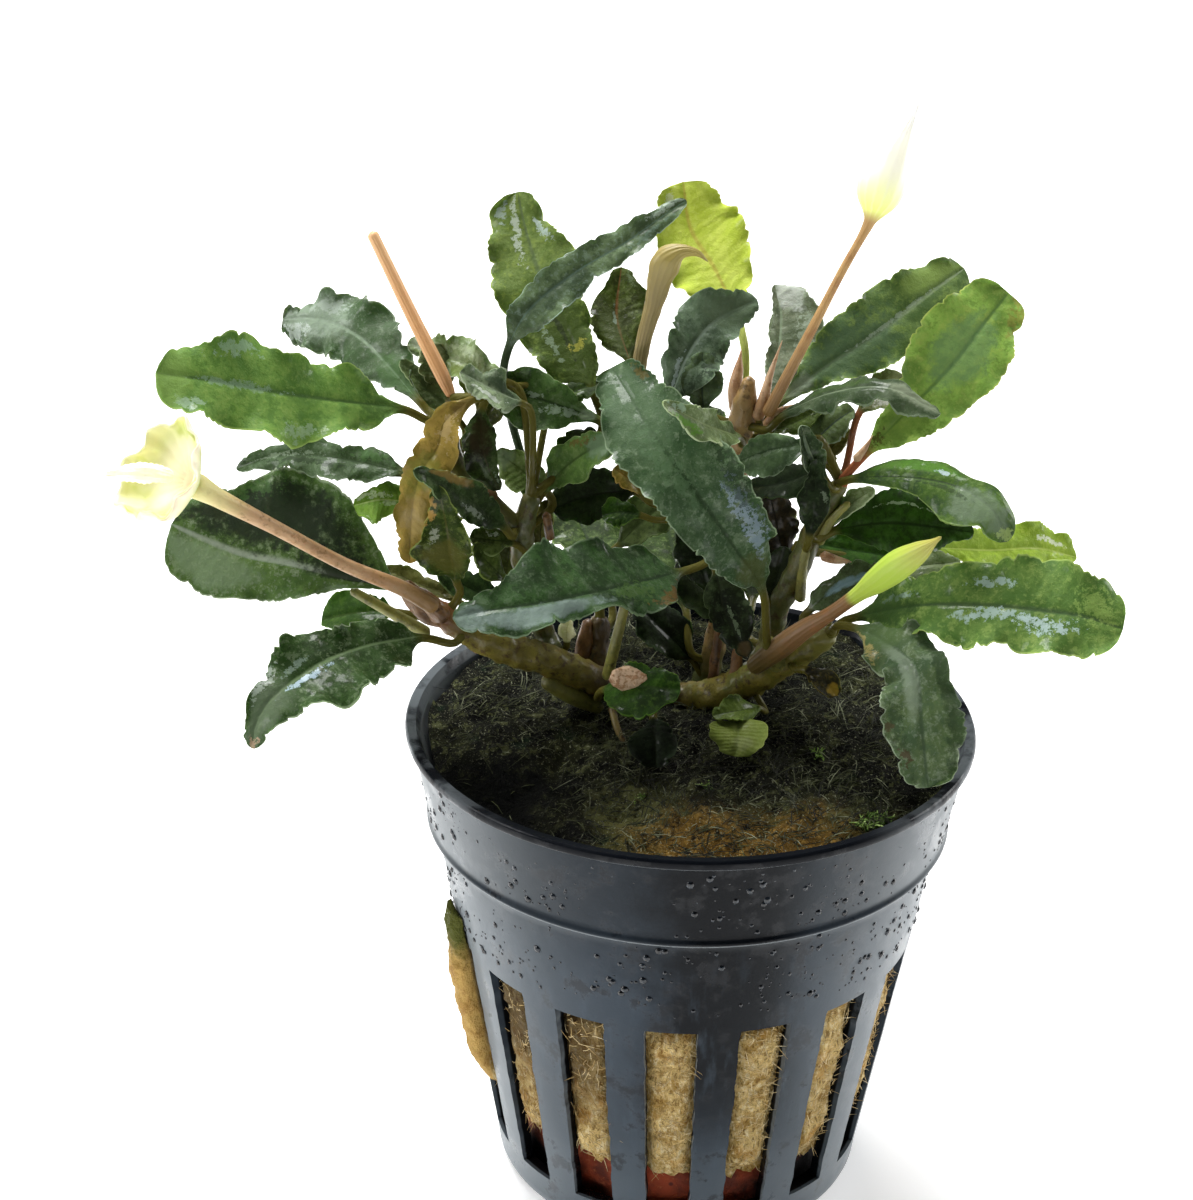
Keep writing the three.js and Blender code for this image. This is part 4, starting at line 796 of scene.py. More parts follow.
# %% Leaves on the left
grow([
    Leaf("left_long_bright", "64853c 4c6e2e 3f5a2c 8aa352", [(-22.6, 0.6, 71.8), (-24.6, 0, 72.7),
        (-31, -3, 73.4), (-36, -5.4, 74), (-41, -7.4, 74.8), (-45.5, -9, 75.3)],
        (1.7, 2.4, 3.5, 4.3, 3.7, 3.3, 3.2), (1.4, 2.9, 3, 3.1, 4.3, 3.8, 2.6), face=(-0.15, -0.75, 0.65),
        fold=0.1, wave=(0.3, 4), lobes=(3, 0.5), marks=((0.7, 0, 0.22, 0.12, "7c9678", 0.6),
        (0.72, -0.7, 0.12, 0.18, "8ba38a", 0.6), (0.88, 0.7, 0.07, 0.2, "90a68e", 0.6),
        (0.45, 0.75, 0.07, 0.2, "8aa080", 0.6), (0.05, 0, 0.16, 1.2, "3a5526", 0.7),
        (0.96, 0, 0.1, 1.2, "7c9a4e", 0.6))),
    Leaf("left_toothed", "4c5c44 3c5232 7e9078 8c9a84", [(-22.6, 2.6, 72.6), (-23.5, 3.2, 73.6),
        (-26, 6, 76.6), (-28.4, 9, 79), (-31.6, 12, 80.4), (-34.6, 13.6, 80.3)],
        (0.9, 1.8, 2.4, 2.6, 2.6, 2.5, 2.2), (0.9, 2.1, 2.8, 3.2, 3.2, 2.6, 1.4), face=(-0.2, -0.8, 0.55),
        fold=-0.1, wave=(0.45, 5), lobes=(2, 0.7), marks=((0.8, -0.1, 0.25, 0.9, "8c9c88", 0.75),
        (0.75, -0.5, 0.12, 0.3, "a3aea3", 0.6), (0.9, 0.5, 0.1, 0.4, "b4beb6", 0.5),
        (0.15, 0, 0.2, 1, "4c6a3e", 0.6))),
    Leaf("left_narrow", "44563a 2e4022 3a4a30 74846a", [(-22.9, 0.8, 66.6), (-24.6, 0.6, 67),
        (-30.5, 1.4, 68.2), (-35, 2.4, 68.3), (-39.1, 3.4, 67)], (1.1, 1.7, 2, 1.7, 1.4, 1.1, 0.7),
        (1.2, 1.4, 0.9, 1.6, 1.4, 0.9, 0.7), face=(-0.1, -0.7, 0.7), wave=(0.3, 5), lobes=(2.2, 0.4),
        marks=((0.55, 0.35, 0.3, 0.2, "2c3a24", 0.8), (0.7, -0.1, 0.25, 0.2, "84947c", 0.6),
        (0.2, -0.5, 0.15, 0.4, "4f7040", 0.6))),
    Leaf("left_small", "688a30 557526 8a9c5c 8aa352", [(-22.6, 0.4, 64.6), (-24.4, 0, 64.4),
        (-27, -0.4, 64.5), (-29.2, -0.8, 63.9)], (0.9, 1, 1.2, 1.6, 2, 2.1, 1.3),
        (1.2, 1.4, 1.5, 1.3, 1, 0.8, 0.6), face=(-0.1, -0.75, 0.65), wave=(0.25, 2),
        marks=((0.85, -0.7, 0.3, 0.25, "a3b28e", 0.8), (0.55, -0.3, 0.3, 0.2, "9fae8c", 0.7),
        (0.3, 0.2, 0.25, 0.2, "94a57e", 0.6))),
    # The dark upper half of this leaf is painted shade, and the pale patch on its lower half is a painted
    # highlight.
    Leaf("left_large_dark", "4c6432 3a5026 8a9484 98a48a", [(-23.6, -1.6, 55.2), (-25.2, -2, 56.2),
        (-30, -2.6, 57), (-34.9, -2.4, 58.2), (-38.7, -2, 58.9), (-41.6, -1.6, 60), (-45, -1, 61.6)],
        (0.5, 0.9, 2.4, 3.3, 3.6, 4.4, 4), (3.4, 6, 7.5, 8.2, 8, 6.6, 4.6), face=(-0.1, -0.85, 0.52),
        fold=-0.04, wave=(0.3, 3), lobes=(2.6, 0.35), marks=((0.6, -0.5, 0.5, 0.5, "20281c", 0.95),
        (0.25, -0.1, 0.2, 0.4, "1c2418", 0.9), (0.8, 0.45, 0.25, 0.5, "76886a", 0.6),
        (0.85, -0.85, 0.3, 0.2, "3f5a30", 0.6))),
    Leaf("left_small_lower", "34501a 26400f 34481a 5c7a30", [(-22.4, 0.6, 53.4), (-26, 0.4, 54),
        (-29, 0.6, 53.8), (-32.3, 1, 53)], (1, 1.3, 1.4, 1.5, 1.5, 1.4, 1.1),
        (0.9, 1.3, 1.6, 1.8, 1.8, 1.7, 1.3)),
    Leaf("left_lower", "385028 223614 6a8058 8a9c78", [(-20.8, -4, 51.2), (-23.5, -5, 51.6),
        (-30.1, -9.6, 50), (-34.3, -12.6, 47.4), (-37, -14.6, 45), (-38.5, -16, 42.4), (-38.9, -17, 40)],
        (2.8, 2.9, 3.7, 4.5, 3.6, 2.7, 1.7), (1.7, 2.3, 2, 3.4, 3, 1.9, 1.2), face=(-0.2, -0.7, 0.68),
        fold=0.14, wave=(0.35, 5), lobes=(2.5, 0.5), marks=((0.85, 0, 0.2, 1, "64745a", 0.7),
        (0.62, 0.12, 0.14, 0.12, "a9bfcb", 0.85), (0.6, -0.3, 0.1, 0.12, "93a89a", 0.4),
        (0.75, -0.75, 0.1, 0.25, "a9b4a8", 0.6), (0.98, 0, 0.04, 0.6, "b59a80", 0.8))),
    Leaf("left_withered", "9c843e 7c6c2c 6a5a2a a08848", [(-18.2, 0.4, 74), (-19, -0.4, 73.8),
        (-21.3, -2, 71.8), (-22, -2.6, 69.4), (-23.4, -3, 67.2), (-24.1, -3.2, 64.4), (-24.4, -3.4, 61.4),
        (-24.5, -3.6, 58.7)], (1, 1.6, 1.9, 1.8, 1.6, 1.5, 1.2), (1, 1.4, 1.5, 1.4, 1.4, 1.3, 1.1),
        face=(-0.1, -0.93, 0.35), fold=0.12, wave=(0.3, 3), lobes=(2.4, 0.45),
        marks=((0.72, 0.2, 0.15, 0.8, "b09a62", 0.6), (0.2, 0.3, 0.12, 0.6, "b5a070", 0.6),
        (0.05, 0, 0.1, 1, "5a4a28", 0.7), (0.5, 0, 0.15, 1, "7a7f34", 0.5))),
    Leaf("left_curled", "2c3c0e 24300c 4a4a1c 7c8a44", [(-20.2, -1.8, 56), (-20.5, -2.4, 57.2),
        (-20.9, -4, 59.5), (-21.3, -5.4, 62.5), (-22, -6, 66)], (1.2, 2.6, 3.4, 2.4, 1.9, 1.5, 0.9),
        (1, 1.5, 1.9, 2.1, 1.6, 1.3, 0.8), face=(-0.1, -0.85, 0.5), fold=0.25,
        marks=((0.8, 0.8, 0.15, 0.35, "9c7c3c", 0.85), (0.6, 0.55, 0.12, 0.25, "aab09c", 0.6),
        (0.3, 0, 0.25, 1, "5c5a26", 0.6))),
    Leaf("left_inner_long", "30421f 1f2c14 2a3a1c 6a7c54", [(-15.7, -0.4, 61.5), (-16.3, -0.8, 62.3),
        (-18.4, -2.4, 64.1), (-20.5, -4.4, 65.5), (-22.5, -6.2, 66.7), (-24, -7, 67.3)],
        (0.9, 1.5, 1.6, 1.6, 1.5, 1.3, 0.9), (0.8, 1.4, 1.6, 1.5, 1.3, 1.1, 0.7), face=(-0.1, -0.8, 0.58),
        fold=0.2, marks=((0.35, 0.4, 0.15, 0.2, "a9b5a3", 0.5), (0.7, -0.7, 0.25, 0.4, "8a6f3a", 0.6))),
    Leaf("left_inner_drooping", "2e4018 1f2410 3a3a1c 5a6a40", [(-17.8, 1.8, 74.2), (-18.2, 1, 73),
        (-18.2, -0.4, 70), (-17.6, -0.6, 67.6), (-16.7, -0.2, 65.8)], (0.8, 1.2, 1.2, 1.1, 0.9, 0.7, 0.5),
        (0.9, 1.5, 1.7, 1.7, 1.8, 1.5, 0.9), face=(0.1, -0.93, 0.35), fold=-0.15,
        marks=((0.85, 0.5, 0.12, 0.4, "8fa085", 0.5), (0.75, -0.2, 0.15, 0.2, "55683f", 0.5),
        (0.3, 0, 0.3, 0.8, "2a2210", 0.8))),
    Leaf("left_upper_toothed", "849468 637648 8a9a74 b5bfa8", [(-15.1, 4, 74.8), (-16.3, 4, 75.5),
        (-18.2, 4.6, 76.3), (-20.4, 5.8, 77.3), (-22.5, 6.8, 78), (-24.3, 7.6, 78.6)],
        (1, 1.4, 1.4, 1.3, 1.1, 1, 0.7), (1, 1.3, 2, 2.1, 1.6, 1.2, 0.8), face=(-0.1, -0.85, 0.5),
        wave=(0.35, 3), lobes=(1.8, 0.6), marks=((0.9, -0.3, 0.12, 0.7, "b5bfa8", 0.7),
        (0.4, -0.5, 0.2, 0.3, "a3b08f", 0.6), (0.35, 0.5, 0.25, 0.5, "5f6f2a", 0.7))),
    Leaf("inner_left_upper", "3e5828 2a3d1a 26361a 6f8258", [(-7.4, 4.4, 71.4), (-8.4, 4.4, 72.3),
        (-12.5, 4.6, 73.8), (-16, 4.8, 74.7), (-18.6, 4.8, 75)], (0.7, 1.6, 2.4, 2.8, 2.7, 2.1, 1.2),
        (0.6, 1.2, 1.8, 2.2, 2.2, 1.7, 1), face=(-0.1, -0.85, 0.52), wave=(0.2, 3),
        marks=((0.3, 0.2, 0.18, 0.25, "93a58f", 0.5), (0.55, -0.1, 0.1, 0.12, "9fb09a", 0.5),
        (0.8, 0.3, 0.15, 0.7, "54501f", 0.7), (0.1, 0, 0.08, 1, "8a9a80", 0.5))),
    Leaf("inner_left_middle", "62743f 44541f 4a5a28 94a070", [(-12.2, 4.4, 64.6), (-12.8, 4.4, 65.8),
        (-14.8, 5, 67.6), (-17, 5.6, 69.3)], (1, 1.6, 1.8, 1.8, 1.7, 1.4, 0.9),
        (0.8, 1.2, 1.4, 1.4, 1.3, 1.1, 0.7), face=(-0.1, -0.85, 0.52),
        marks=((0.85, 0, 0.2, 1, "74846a", 0.6),)),
    Leaf("inner_left_rising", "4f6a30 3b5424 36491f 7c8f58", [(-13.6, 3.6, 64.8), (-12.9, 3.4, 65.9),
        (-11.2, 2.6, 68), (-9, 1.6, 69.7), (-6.4, 0.6, 70.7)], (0.8, 1.4, 1.7, 1.7, 1.5, 1.2, 0.8),
        (0.8, 1.3, 1.7, 1.9, 1.9, 1.6, 1), face=(-0.1, -0.8, 0.6),
        marks=((0.85, 0, 0.25, 1, "62785a", 0.8), (0.6, 0.6, 0.15, 0.3, "57461f", 0.7))),
])

# %% [markdown]
# ## Leaves at the top
#
# The leaves at the top stand up behind the rest, seen nearly face on. The one furthest back is young:
# thin, yellow-green, with the light coming through it. The twisted one turns its edge to the camera.

# %% Leaves at the top
grow([
    Leaf("top_left_olive", "6a7d42 54682e 5a6a44 96a84e", [(-8.2, 6, 71.4), (-8.9, 6.6, 74.7),
        (-11.2, 10, 80), (-13.2, 13, 84.2), (-14.5, 16, 88.4), (-15.2, 18, 91.6)],
        (2.6, 3.2, 3.7, 3.9, 3.9, 3.4, 2.8), (1.4, 1.9, 2.4, 2.8, 3.4, 2.7, 1.5), face=(-0.1, -0.85, 0.5),
        fold=0.06, wave=(0.2, 4), lobes=(1.9, 0.42), marks=((0.85, 0.25, 0.2, 0.15, "b9c3b4", 0.7),
        (0.8, -0.6, 0.08, 0.2, "a9b8b4", 0.7), (0.92, 0.65, 0.06, 0.2, "aab9b5", 0.6),
        (0.2, 0, 0.36, 1.3, "3b4a1d", 0.95), (0.35, 0.1, 0.2, 0.08, "28301a", 0.8),
        (0.3, 0.45, 0.12, 0.12, "93a58c", 0.5), (0.22, -0.2, 0.03, 0.5, "a9a548", 0.6))),
    Leaf("top_twisted", "5c6f4c 405036 5f7565 8ea394", [(-14.6, 6.8, 67.6), (-15.7, 6.6, 72),
        (-16.4, 5, 75.8), (-15.9, 4, 78.6), (-14.4, 4.2, 81.6), (-10.6, 6, 85), (-6.6, 8, 87.6),
        (-3.6, 9.6, 89.9), (-1.7, 10.4, 91.3)], (1.3, 1.5, 1.6, 1.5, 1.4, 1.2, 0.8),
        (1.6, 2, 1.9, 1.3, 1.3, 1.2, 0.8), face=(0, -0.85, 0.52), wave=(0.2, 3), blade=3,
        lobes=(2.4, 0.3), marks=((0.9, 0.6, 0.1, 0.5, "aab8ab", 0.6),
        (0.8, -0.5, 0.12, 0.3, "6d8474", 0.5), (0.3, -0.2, 0.2, 0.5, "2c3a2e", 0.5)), stalk="34422c"),
    Leaf("top_dark", "34400c 262d09 5a3a18 6a7844", [(-5.4, 7, 75.6), (-5.9, 7.6, 77.5),
        (-7.1, 11, 81.5), (-6.8, 14, 85.6)], (0.9, 1.6, 2, 2.1, 1.9, 1.3, 0.8),
        (0.9, 1.6, 2.2, 2.6, 2.8, 2.4, 1.4), face=(0, -0.9, 0.44), lobes=(2, 0.4),
        marks=((0.35, 0.3, 0.3, 0.55, "4a5530", 0.5), (0.5, 0.1, 0.15, 0.08, "8a998a", 0.5),
        (0.9, -0.6, 0.08, 0.3, "5a6a4a", 0.6))),
    Leaf("top_yellow", "b9c653 a5b53c a9a044 c9d26c", [(3.4, 8.4, 72.6), (3.6, 10.4, 77.6),
        (3.1, 12.4, 80.6), (0.9, 16.4, 85.5), (-1.3, 19.4, 89), (-2, 21.4, 92.8)],
        (1.1, 2.4, 3.2, 3.5, 3.2, 2.7, 2.2), (0.9, 2.2, 2.9, 3.8, 4.1, 3.9, 2.8), face=(0, -0.9, 0.44),
        wave=(0.2, 4), blade=2, lobes=(1.5, 0.4), marks=((0.9, 0.6, 0.08, 0.3, "d9dcc8", 0.5),),
        stalk="b0b860"),
    Leaf("top_center_grey", "5a6c54 40503c 7c8c7c 7e9078", [(-3, 5.6, 72.6), (-2.6, 5.8, 74),
        (-1.3, 8, 78), (0.9, 10.4, 81.2), (4.3, 12, 83.2)], (1, 1.7, 2.1, 2.5, 2.8, 2.4, 1.4),
        (1.6, 2.6, 2.9, 2.6, 2.2, 2, 1.3), face=(0, -0.9, 0.44), wave=(0.25, 3), lobes=(2.6, 0.45),
        marks=((0.85, 0.1, 0.25, 1, "67795e", 0.6), (0.2, 0.2, 0.15, 0.15, "a3b3ae", 0.7),
        (0.3, -0.7, 0.25, 0.3, "2f3c2c", 0.8))),
    Leaf("top_grey_right", "6e765e 545f46 7c8c70 a3ae98", [(4.9, 6.6, 71.8), (5.4, 7.4, 74.6),
        (6.2, 11, 79), (6.2, 14, 82.3), (5.7, 15.6, 84.5)], (0.5, 0.7, 0.9, 0.9, 0.9, 0.7, 0.5),
        (1, 2, 2.8, 3.2, 3.4, 3.2, 2.3), face=(0.1, -0.9, 0.4), wave=(0.35, 3), lobes=(2.2, 0.45),
        marks=((0.9, -0.4, 0.15, 0.6, "c3c9c0", 0.8), (0.55, -0.6, 0.3, 0.25, "93a08c", 0.6),
        (0.3, 0.5, 0.2, 0.4, "4a5c40", 0.6))),
    Leaf("top_large_dark", "5d7340 42582e 8a9a78 8aa050", [(5, 5, 72.6), (6.3, 5, 74.1),
        (9.5, 6.6, 77.1), (14.3, 9, 80.7), (18, 12, 84), (20.8, 15, 86.3)],
        (0.9, 2.2, 2.9, 3.2, 3.2, 2.8, 2), (0.8, 1.6, 2.3, 2.9, 3.3, 3.3, 2.4), face=(0.05, -0.85, 0.52),
        fold=0.08, wave=(0.2, 3), lobes=(2.2, 0.35), marks=((0.85, 0.5, 0.2, 0.5, "7a9048", 0.7),
        (0.35, 0, 0.3, 1, "4c6248", 0.7), (0.1, 0, 0.1, 1, "a3ae9a", 0.4),
        (0.6, 0.05, 0.25, 0.06, "a9b6a5", 0.5))),
    Leaf("top_bright", "84a64a 648438 56743a a8b45c", [(12.3, 1, 68), (13.9, 1, 70.1),
        (16.5, 1.6, 73.3), (20.3, 3.4, 77.9), (22.6, 5.6, 81.5), (24.5, 8, 84.4)],
        (1.2, 1.6, 2.7, 3.9, 4.2, 3.9, 3.1), (1.6, 2.6, 3.2, 3.5, 3.8, 3.5, 2.5),
        face=(0.15, -0.82, 0.55), fold=0.08, wave=(0.2, 3), lobes=(1.8, 0.35),
        marks=((0.65, 0, 0.25, 0.7, "6c8c5c", 0.6), (0.93, -0.8, 0.12, 0.4, "8c7c3c", 0.5),
        (0.2, 0, 0.2, 1.1, "57702a", 0.7), (0.06, 0.2, 0.08, 0.9, "453d18", 0.8)), stalk="9a5a3a"),
    Leaf("top_narrow_grey", "46533a 34442a 707e64 6c7a62", [(5.6, 3, 72), (6.8, 2.6, 73.2),
        (10.6, 0.4, 75.3), (15.5, -2.4, 75.9), (19.8, -4, 73.8)], (0.5, 0.7, 0.9, 1, 1, 0.8, 0.5),
        (0.5, 1, 1.2, 1.1, 1, 1.2, 1.1), face=(0, -0.55, 0.83), fold=-0.2, wave=(0.3, 4), lobes=(2, 0.4),
        marks=((0.85, 0.3, 0.2, 0.8, "8c967c", 0.6), (0.4, 0.5, 0.25, 0.4, "3c5226", 0.6))),
])

# %% [markdown]
# ## Leaves on the right
#
# On the right the leaves arch outwards and down. The lowest one hangs over the rim of the pot. Its blade
# twists on the way, so it gets one facing at its foot and another at its tip.

# %% Leaves on the right
grow([
    Leaf("right_arching", "466226 33482a 2c3c22 7c9450", [(11.8, 1, 67.4), (12.9, 0.4, 67.8),
        (17.6, -2, 68.1), (22, -4.6, 67.3), (25, -6.4, 65.2), (26.3, -7, 62.6)],
        (1.1, 1.7, 1.8, 1.6, 1.1, 1.7, 1.4), (0.6, 0.9, 1.3, 2.2, 3, 2.7, 1.6), face=(0.15, -0.75, 0.65),
        fold=-0.12, wave=(0.15, 2), lobes=(5, 0.15), marks=((0.8, -0.2, 0.25, 0.9, "76886c", 0.75),
        (0.35, 0.65, 0.3, 0.35, "4f7c20", 0.7), (0.5, 0.5, 0.05, 0.15, "b5c6cb", 0.7),
        (0.5, -0.2, 0.3, 0.1, "2a3a20", 0.6), (0.97, 0, 0.05, 0.8, "a9bf70", 0.6))),
    Leaf("right_dark", "27460a 182c06 1a2a0c 3f5f24", [(10.4, 1.4, 62.2), (11.6, 1.6, 63),
        (16, 2.4, 63.9), (20, 3, 63.7), (23.4, 3.4, 63.3)], (1.3, 2.1, 2.7, 2.8, 2.4, 1.8, 1),
        (1, 2, 2.7, 2.9, 2.6, 2, 1), face=(0.1, -0.85, 0.52), fold=0.12, wave=(0.2, 3),
        marks=((0.5, 0.6, 0.2, 0.05, "93a585", 0.6),)),
    Leaf("right_yellow", "92ac38 7c962c b0c25c b5c656", [(17, 5.6, 60.6), (20, 6, 61.6),
        (25, 9, 61.7), (29, 12, 62), (32.2, 14, 61.3)], (0.8, 1.6, 1.9, 1.9, 2.1, 2.1, 1.5),
        (0.7, 1.5, 1.4, 1.3, 1.3, 1.2, 0.9), face=(0.15, -0.75, 0.65), wave=(0.2, 3), lobes=(1.8, 0.35),
        marks=((0.8, 0.4, 0.15, 0.15, "dfe3d0", 0.7),)),
    # The pale bluish strips on this leaf are painted highlights.
    Leaf("right_large", "5c7838 46642c 3c5030 9cb060", [(12.9, -2, 54.6), (13.9, -2.6, 55),
        (19, -6, 56.3), (24.5, -8.4, 56.6), (29.5, -10, 56.3), (33.5, -11, 55.8), (36.8, -11.4, 54.8)],
        (1.9, 2.5, 3.1, 3.7, 4.2, 4.5, 3.7), (1.5, 2.3, 3, 3.8, 3.5, 3.8, 3.4), face=(0.1, -0.75, 0.65),
        fold=0.05, wave=(0.4, 5), lobes=(2.6, 0.5), marks=((0.75, -0.35, 0.12, 0.25, "a9bdba", 0.8),
        (0.58, -0.2, 0.14, 0.2, "a3b8b4", 0.75), (0.45, -0.3, 0.05, 0.15, "9fb5ae", 0.7),
        (0.55, 0.5, 0.1, 0.12, "a5bab5", 0.7), (0.2, 0.4, 0.1, 0.15, "9fb5ae", 0.7),
        (0.1, 0, 0.22, 1.1, "2f461f", 0.85), (0.9, 0.3, 0.08, 0.5, "86a052", 0.5))),
    # The pale grey streak on this leaf is a painted sheen.
    Leaf("right_drooping", "52643f 42563a 3f5038 9aa88e", [(12.6, -3.6, 54.2), (14, -4.4, 54),
        (17.6, -8, 52.2), (19.6, -11.6, 49.6), (20.2, -14, 45.7), (20.7, -15.4, 42.2), (21.3, -16, 38.6)],
        (1.9, 2.5, 2.9, 2.7, 3.5, 3.7, 3), (1.9, 2.6, 2.3, 3, 3.5, 3.3, 2.3), face=(-0.25, -0.6, 0.76),
        tip_face=(0.2, -0.9, 0.4), fold=0.04, wave=(0.6, 5), lobes=(2.2, 0.5),
        marks=((0.45, -0.2, 0.3, 0.3, "8f9e88", 0.6), (0.55, 0.85, 0.5, 0.35, "2c3b24", 0.7),
        (0.75, -0.7, 0.2, 0.3, "31402a", 0.6), (0.85, -0.7, 0.06, 0.25, "4a3a28", 0.7),
        (0.72, -0.85, 0.05, 0.15, "4a3a28", 0.6), (0.12, 0, 0.15, 1, "4c6238", 0.7),
        (0.12, -0.7, 0.15, 0.3, "b5a468", 0.6))),
    Leaf("right_behind_bud", "4a5a38 303a20 2a3420 6a7c5c", [(9.4, 0.4, 54.6), (10, 0.2, 55.6),
        (12.6, -0.4, 58), (17, -0.8, 60)], (0.8, 1, 1.1, 1.2, 1.2, 1, 0.7),
        (0.9, 1.3, 1.5, 1.6, 1.5, 1.3, 0.8), marks=((0.5, 0, 0.3, 0.35, "76929a", 0.7),)),
])

# %% [markdown]
# ## Leaves in the middle and in front
#
# The large leaf in the middle stands towards the camera and hides the stems. Below it one leaf lies
# across the front, and a few small ones sit on the rock wool. What looks like shading between them is
# real depth: each lies some millimetres before or behind its neighbour, and the light does the rest.

# %% Leaves in the middle and in front
grow([
    # The bluish flecks on this leaf are painted highlights.
    Leaf("center_large", "43583a 30462a 26381f 86987a", [(6.7, -1.6, 51.6), (5.9, -2.6, 57.1),
        (3.4, -5.4, 61), (0.3, -7, 65.5), (-3.2, -5.4, 70.3), (-7.4, 1, 77)],
        (1.8, 2.6, 3.1, 3.4, 3.7, 3.9, 2.6), (2.4, 3.7, 4.2, 4.5, 4.4, 3.8, 2.7), face=(-0.1, -0.8, 0.6),
        fold=0.12, wave=(0.4, 4), lobes=(2, 0.42), marks=((0.85, 0.1, 0.25, 0.9, "52684a", 0.6),
        (0.6, 0.2, 0.2, 0.3, "526c4a", 0.5), (0.3, -0.6, 0.2, 0.28, "8a9cac", 0.6),
        (0.45, -0.8, 0.15, 0.3, "22301c", 0.7), (0.93, -0.75, 0.04, 0.2, "6a5a30", 0.6),
        (0.1, 0, 0.1, 1, "4a4f28", 0.6))),
    Leaf("center_small_pale", "627249 4c5c34 7c8a5c a9b890", [(3.6, 2.8, 70.6), (3.2, 0.6, 71.2),
        (0.3, -6, 72.3), (-3.1, -8.2, 74.1)], (0.7, 1.1, 1.5, 1.7, 1.6, 1.2, 0.7),
        (0.7, 1.2, 1.4, 1.4, 1.3, 1.1, 0.6), face=(0, -0.8, 0.6),
        marks=((0.9, -0.5, 0.12, 0.6, "8ea590", 0.6), (0.8, 0.6, 0.15, 0.4, "4f7a25", 0.8))),
    Leaf("center_dark_small", "526844 3a4c32 7a8c70", [(9.8, 0.6, 71.4), (9.2, 0.2, 71),
        (6, -0.4, 70.2), (2.8, 0.6, 68.8)], (0.8, 1.4, 1.8, 2.1, 2.1, 1.7, 1),
        (0.5, 0.9, 1.2, 1.3, 1.3, 1, 0.6), face=(0.1, -0.85, 0.52), wave=(0.2, 2),
        marks=((0.6, 0.1, 0.3, 0.12, "7a8c70", 0.5),)),
    Leaf("center_narrow", "25361a 151e0d 1e2a14 4c5f3c", [(9.4, -0.4, 61.4), (9.6, -0.8, 62.6),
        (9.9, -1.2, 66), (9.8, -0.8, 69.5)], (0.5, 1, 1.4, 1.5, 1.3, 1, 0.6),
        (0.5, 0.9, 1.2, 1.2, 1.1, 0.9, 0.6), face=(0.05, -0.9, 0.42), fold=0.3,
        marks=((0.55, -0.6, 0.08, 0.3, "8a9a80", 0.5),)),
    Leaf("center_pointing_down", "222c16 10150a 1a2010 4c5c3c", [(1.4, 2.4, 60.4), (1.8, 1.2, 59),
        (2.8, -0.4, 54.8), (4.8, -2, 50.9)], (1.3, 1.8, 2.2, 2.4, 2.2, 1.7, 0.9),
        (0.9, 1.4, 1.5, 1.4, 1.3, 1.1, 0.7), face=(0, -0.9, 0.42),
        marks=((0.6, 0.2, 0.2, 0.1, "6f8062", 0.5), (0.92, 0, 0.1, 1, "54452a", 0.6))),
    # The pale grey-blue half of this leaf is a painted sheen, a painted highlight.
    Leaf("front_left", "36502a 22341a 24341e 66785c", [(0.8, 1.4, 59.6), (-1, 0, 58.8),
        (-4.6, -4, 57.7), (-9, -8, 56.4), (-13.3, -10.6, 55.3), (-17.6, -12.4, 54.5),
        (-20.8, -13.6, 53.6)], (2.4, 3, 2.3, 1.7, 1.8, 2.6, 2.2), (3, 3.9, 4.5, 5, 5, 3.2, 1.5),
        face=(-0.1, -0.7, 0.72), fold=0.05, wave=(0.4, 3), lobes=(2.8, 0.45),
        marks=((0.68, 0.45, 0.3, 0.45, "74847c", 0.85), (0.95, 0.2, 0.1, 0.9, "74847c", 0.6),
        (0.3, 0.3, 0.12, 0.4, "4f6a34", 0.5), (0.15, 0.8, 0.1, 0.3, "6a4a24", 0.6))),
    Leaf("front_round", "2c4a12 1c300c 2c3f18 5c8030", [(-8.1, 0.4, 46.4), (-7.5, -3, 47.2),
        (-4.2, -5, 47.6), (-0.9, -5.4, 47.4)], (1.2, 1.7, 1.8, 1.8, 1.8, 1.7, 1.2),
        (1.2, 2, 2.5, 2.8, 2.9, 2.5, 1.6)),
    Leaf("front_hanging", "20291a 0e120a 1a2010 3a4830", [(-3.4, -3, 45.4), (-3.2, -4.8, 44.4),
        (-3, -7, 42), (-2.9, -8, 39.6)], 1.9, 2.3, face=(0, -0.95, 0.3)),
    Leaf("front_pale", "85934a 7c8c3c 8a9a54 a3b060", [(3.8, -2.2, 45.4), (4.1, -3.4, 44.7),
        (4.3, -4.6, 43.7), (4.3, -5.6, 42.4), (4.2, -6.2, 41)], (1.6, 2.2, 2.5, 2.5, 2.4, 2.1, 1.5),
        (1.6, 2.2, 2.5, 2.5, 2.4, 2.1, 1.5), face=(0, -0.7, 0.71),
        marks=((0.7, 0.2, 0.2, 0.5, "a3ac74", 0.5),)),
    Leaf("front_small_right", "201f0e 100f08 1f1e0e 6a5f24", [(8.9, -1.8, 49.9), (10, -2.8, 49.8),
        (11.6, -4, 48.9), (12.8, -4.6, 47.4)], 0.9, 1.2,
        marks=((0.85, 0, 0.2, 0.8, "8c7426", 0.85),)),
])
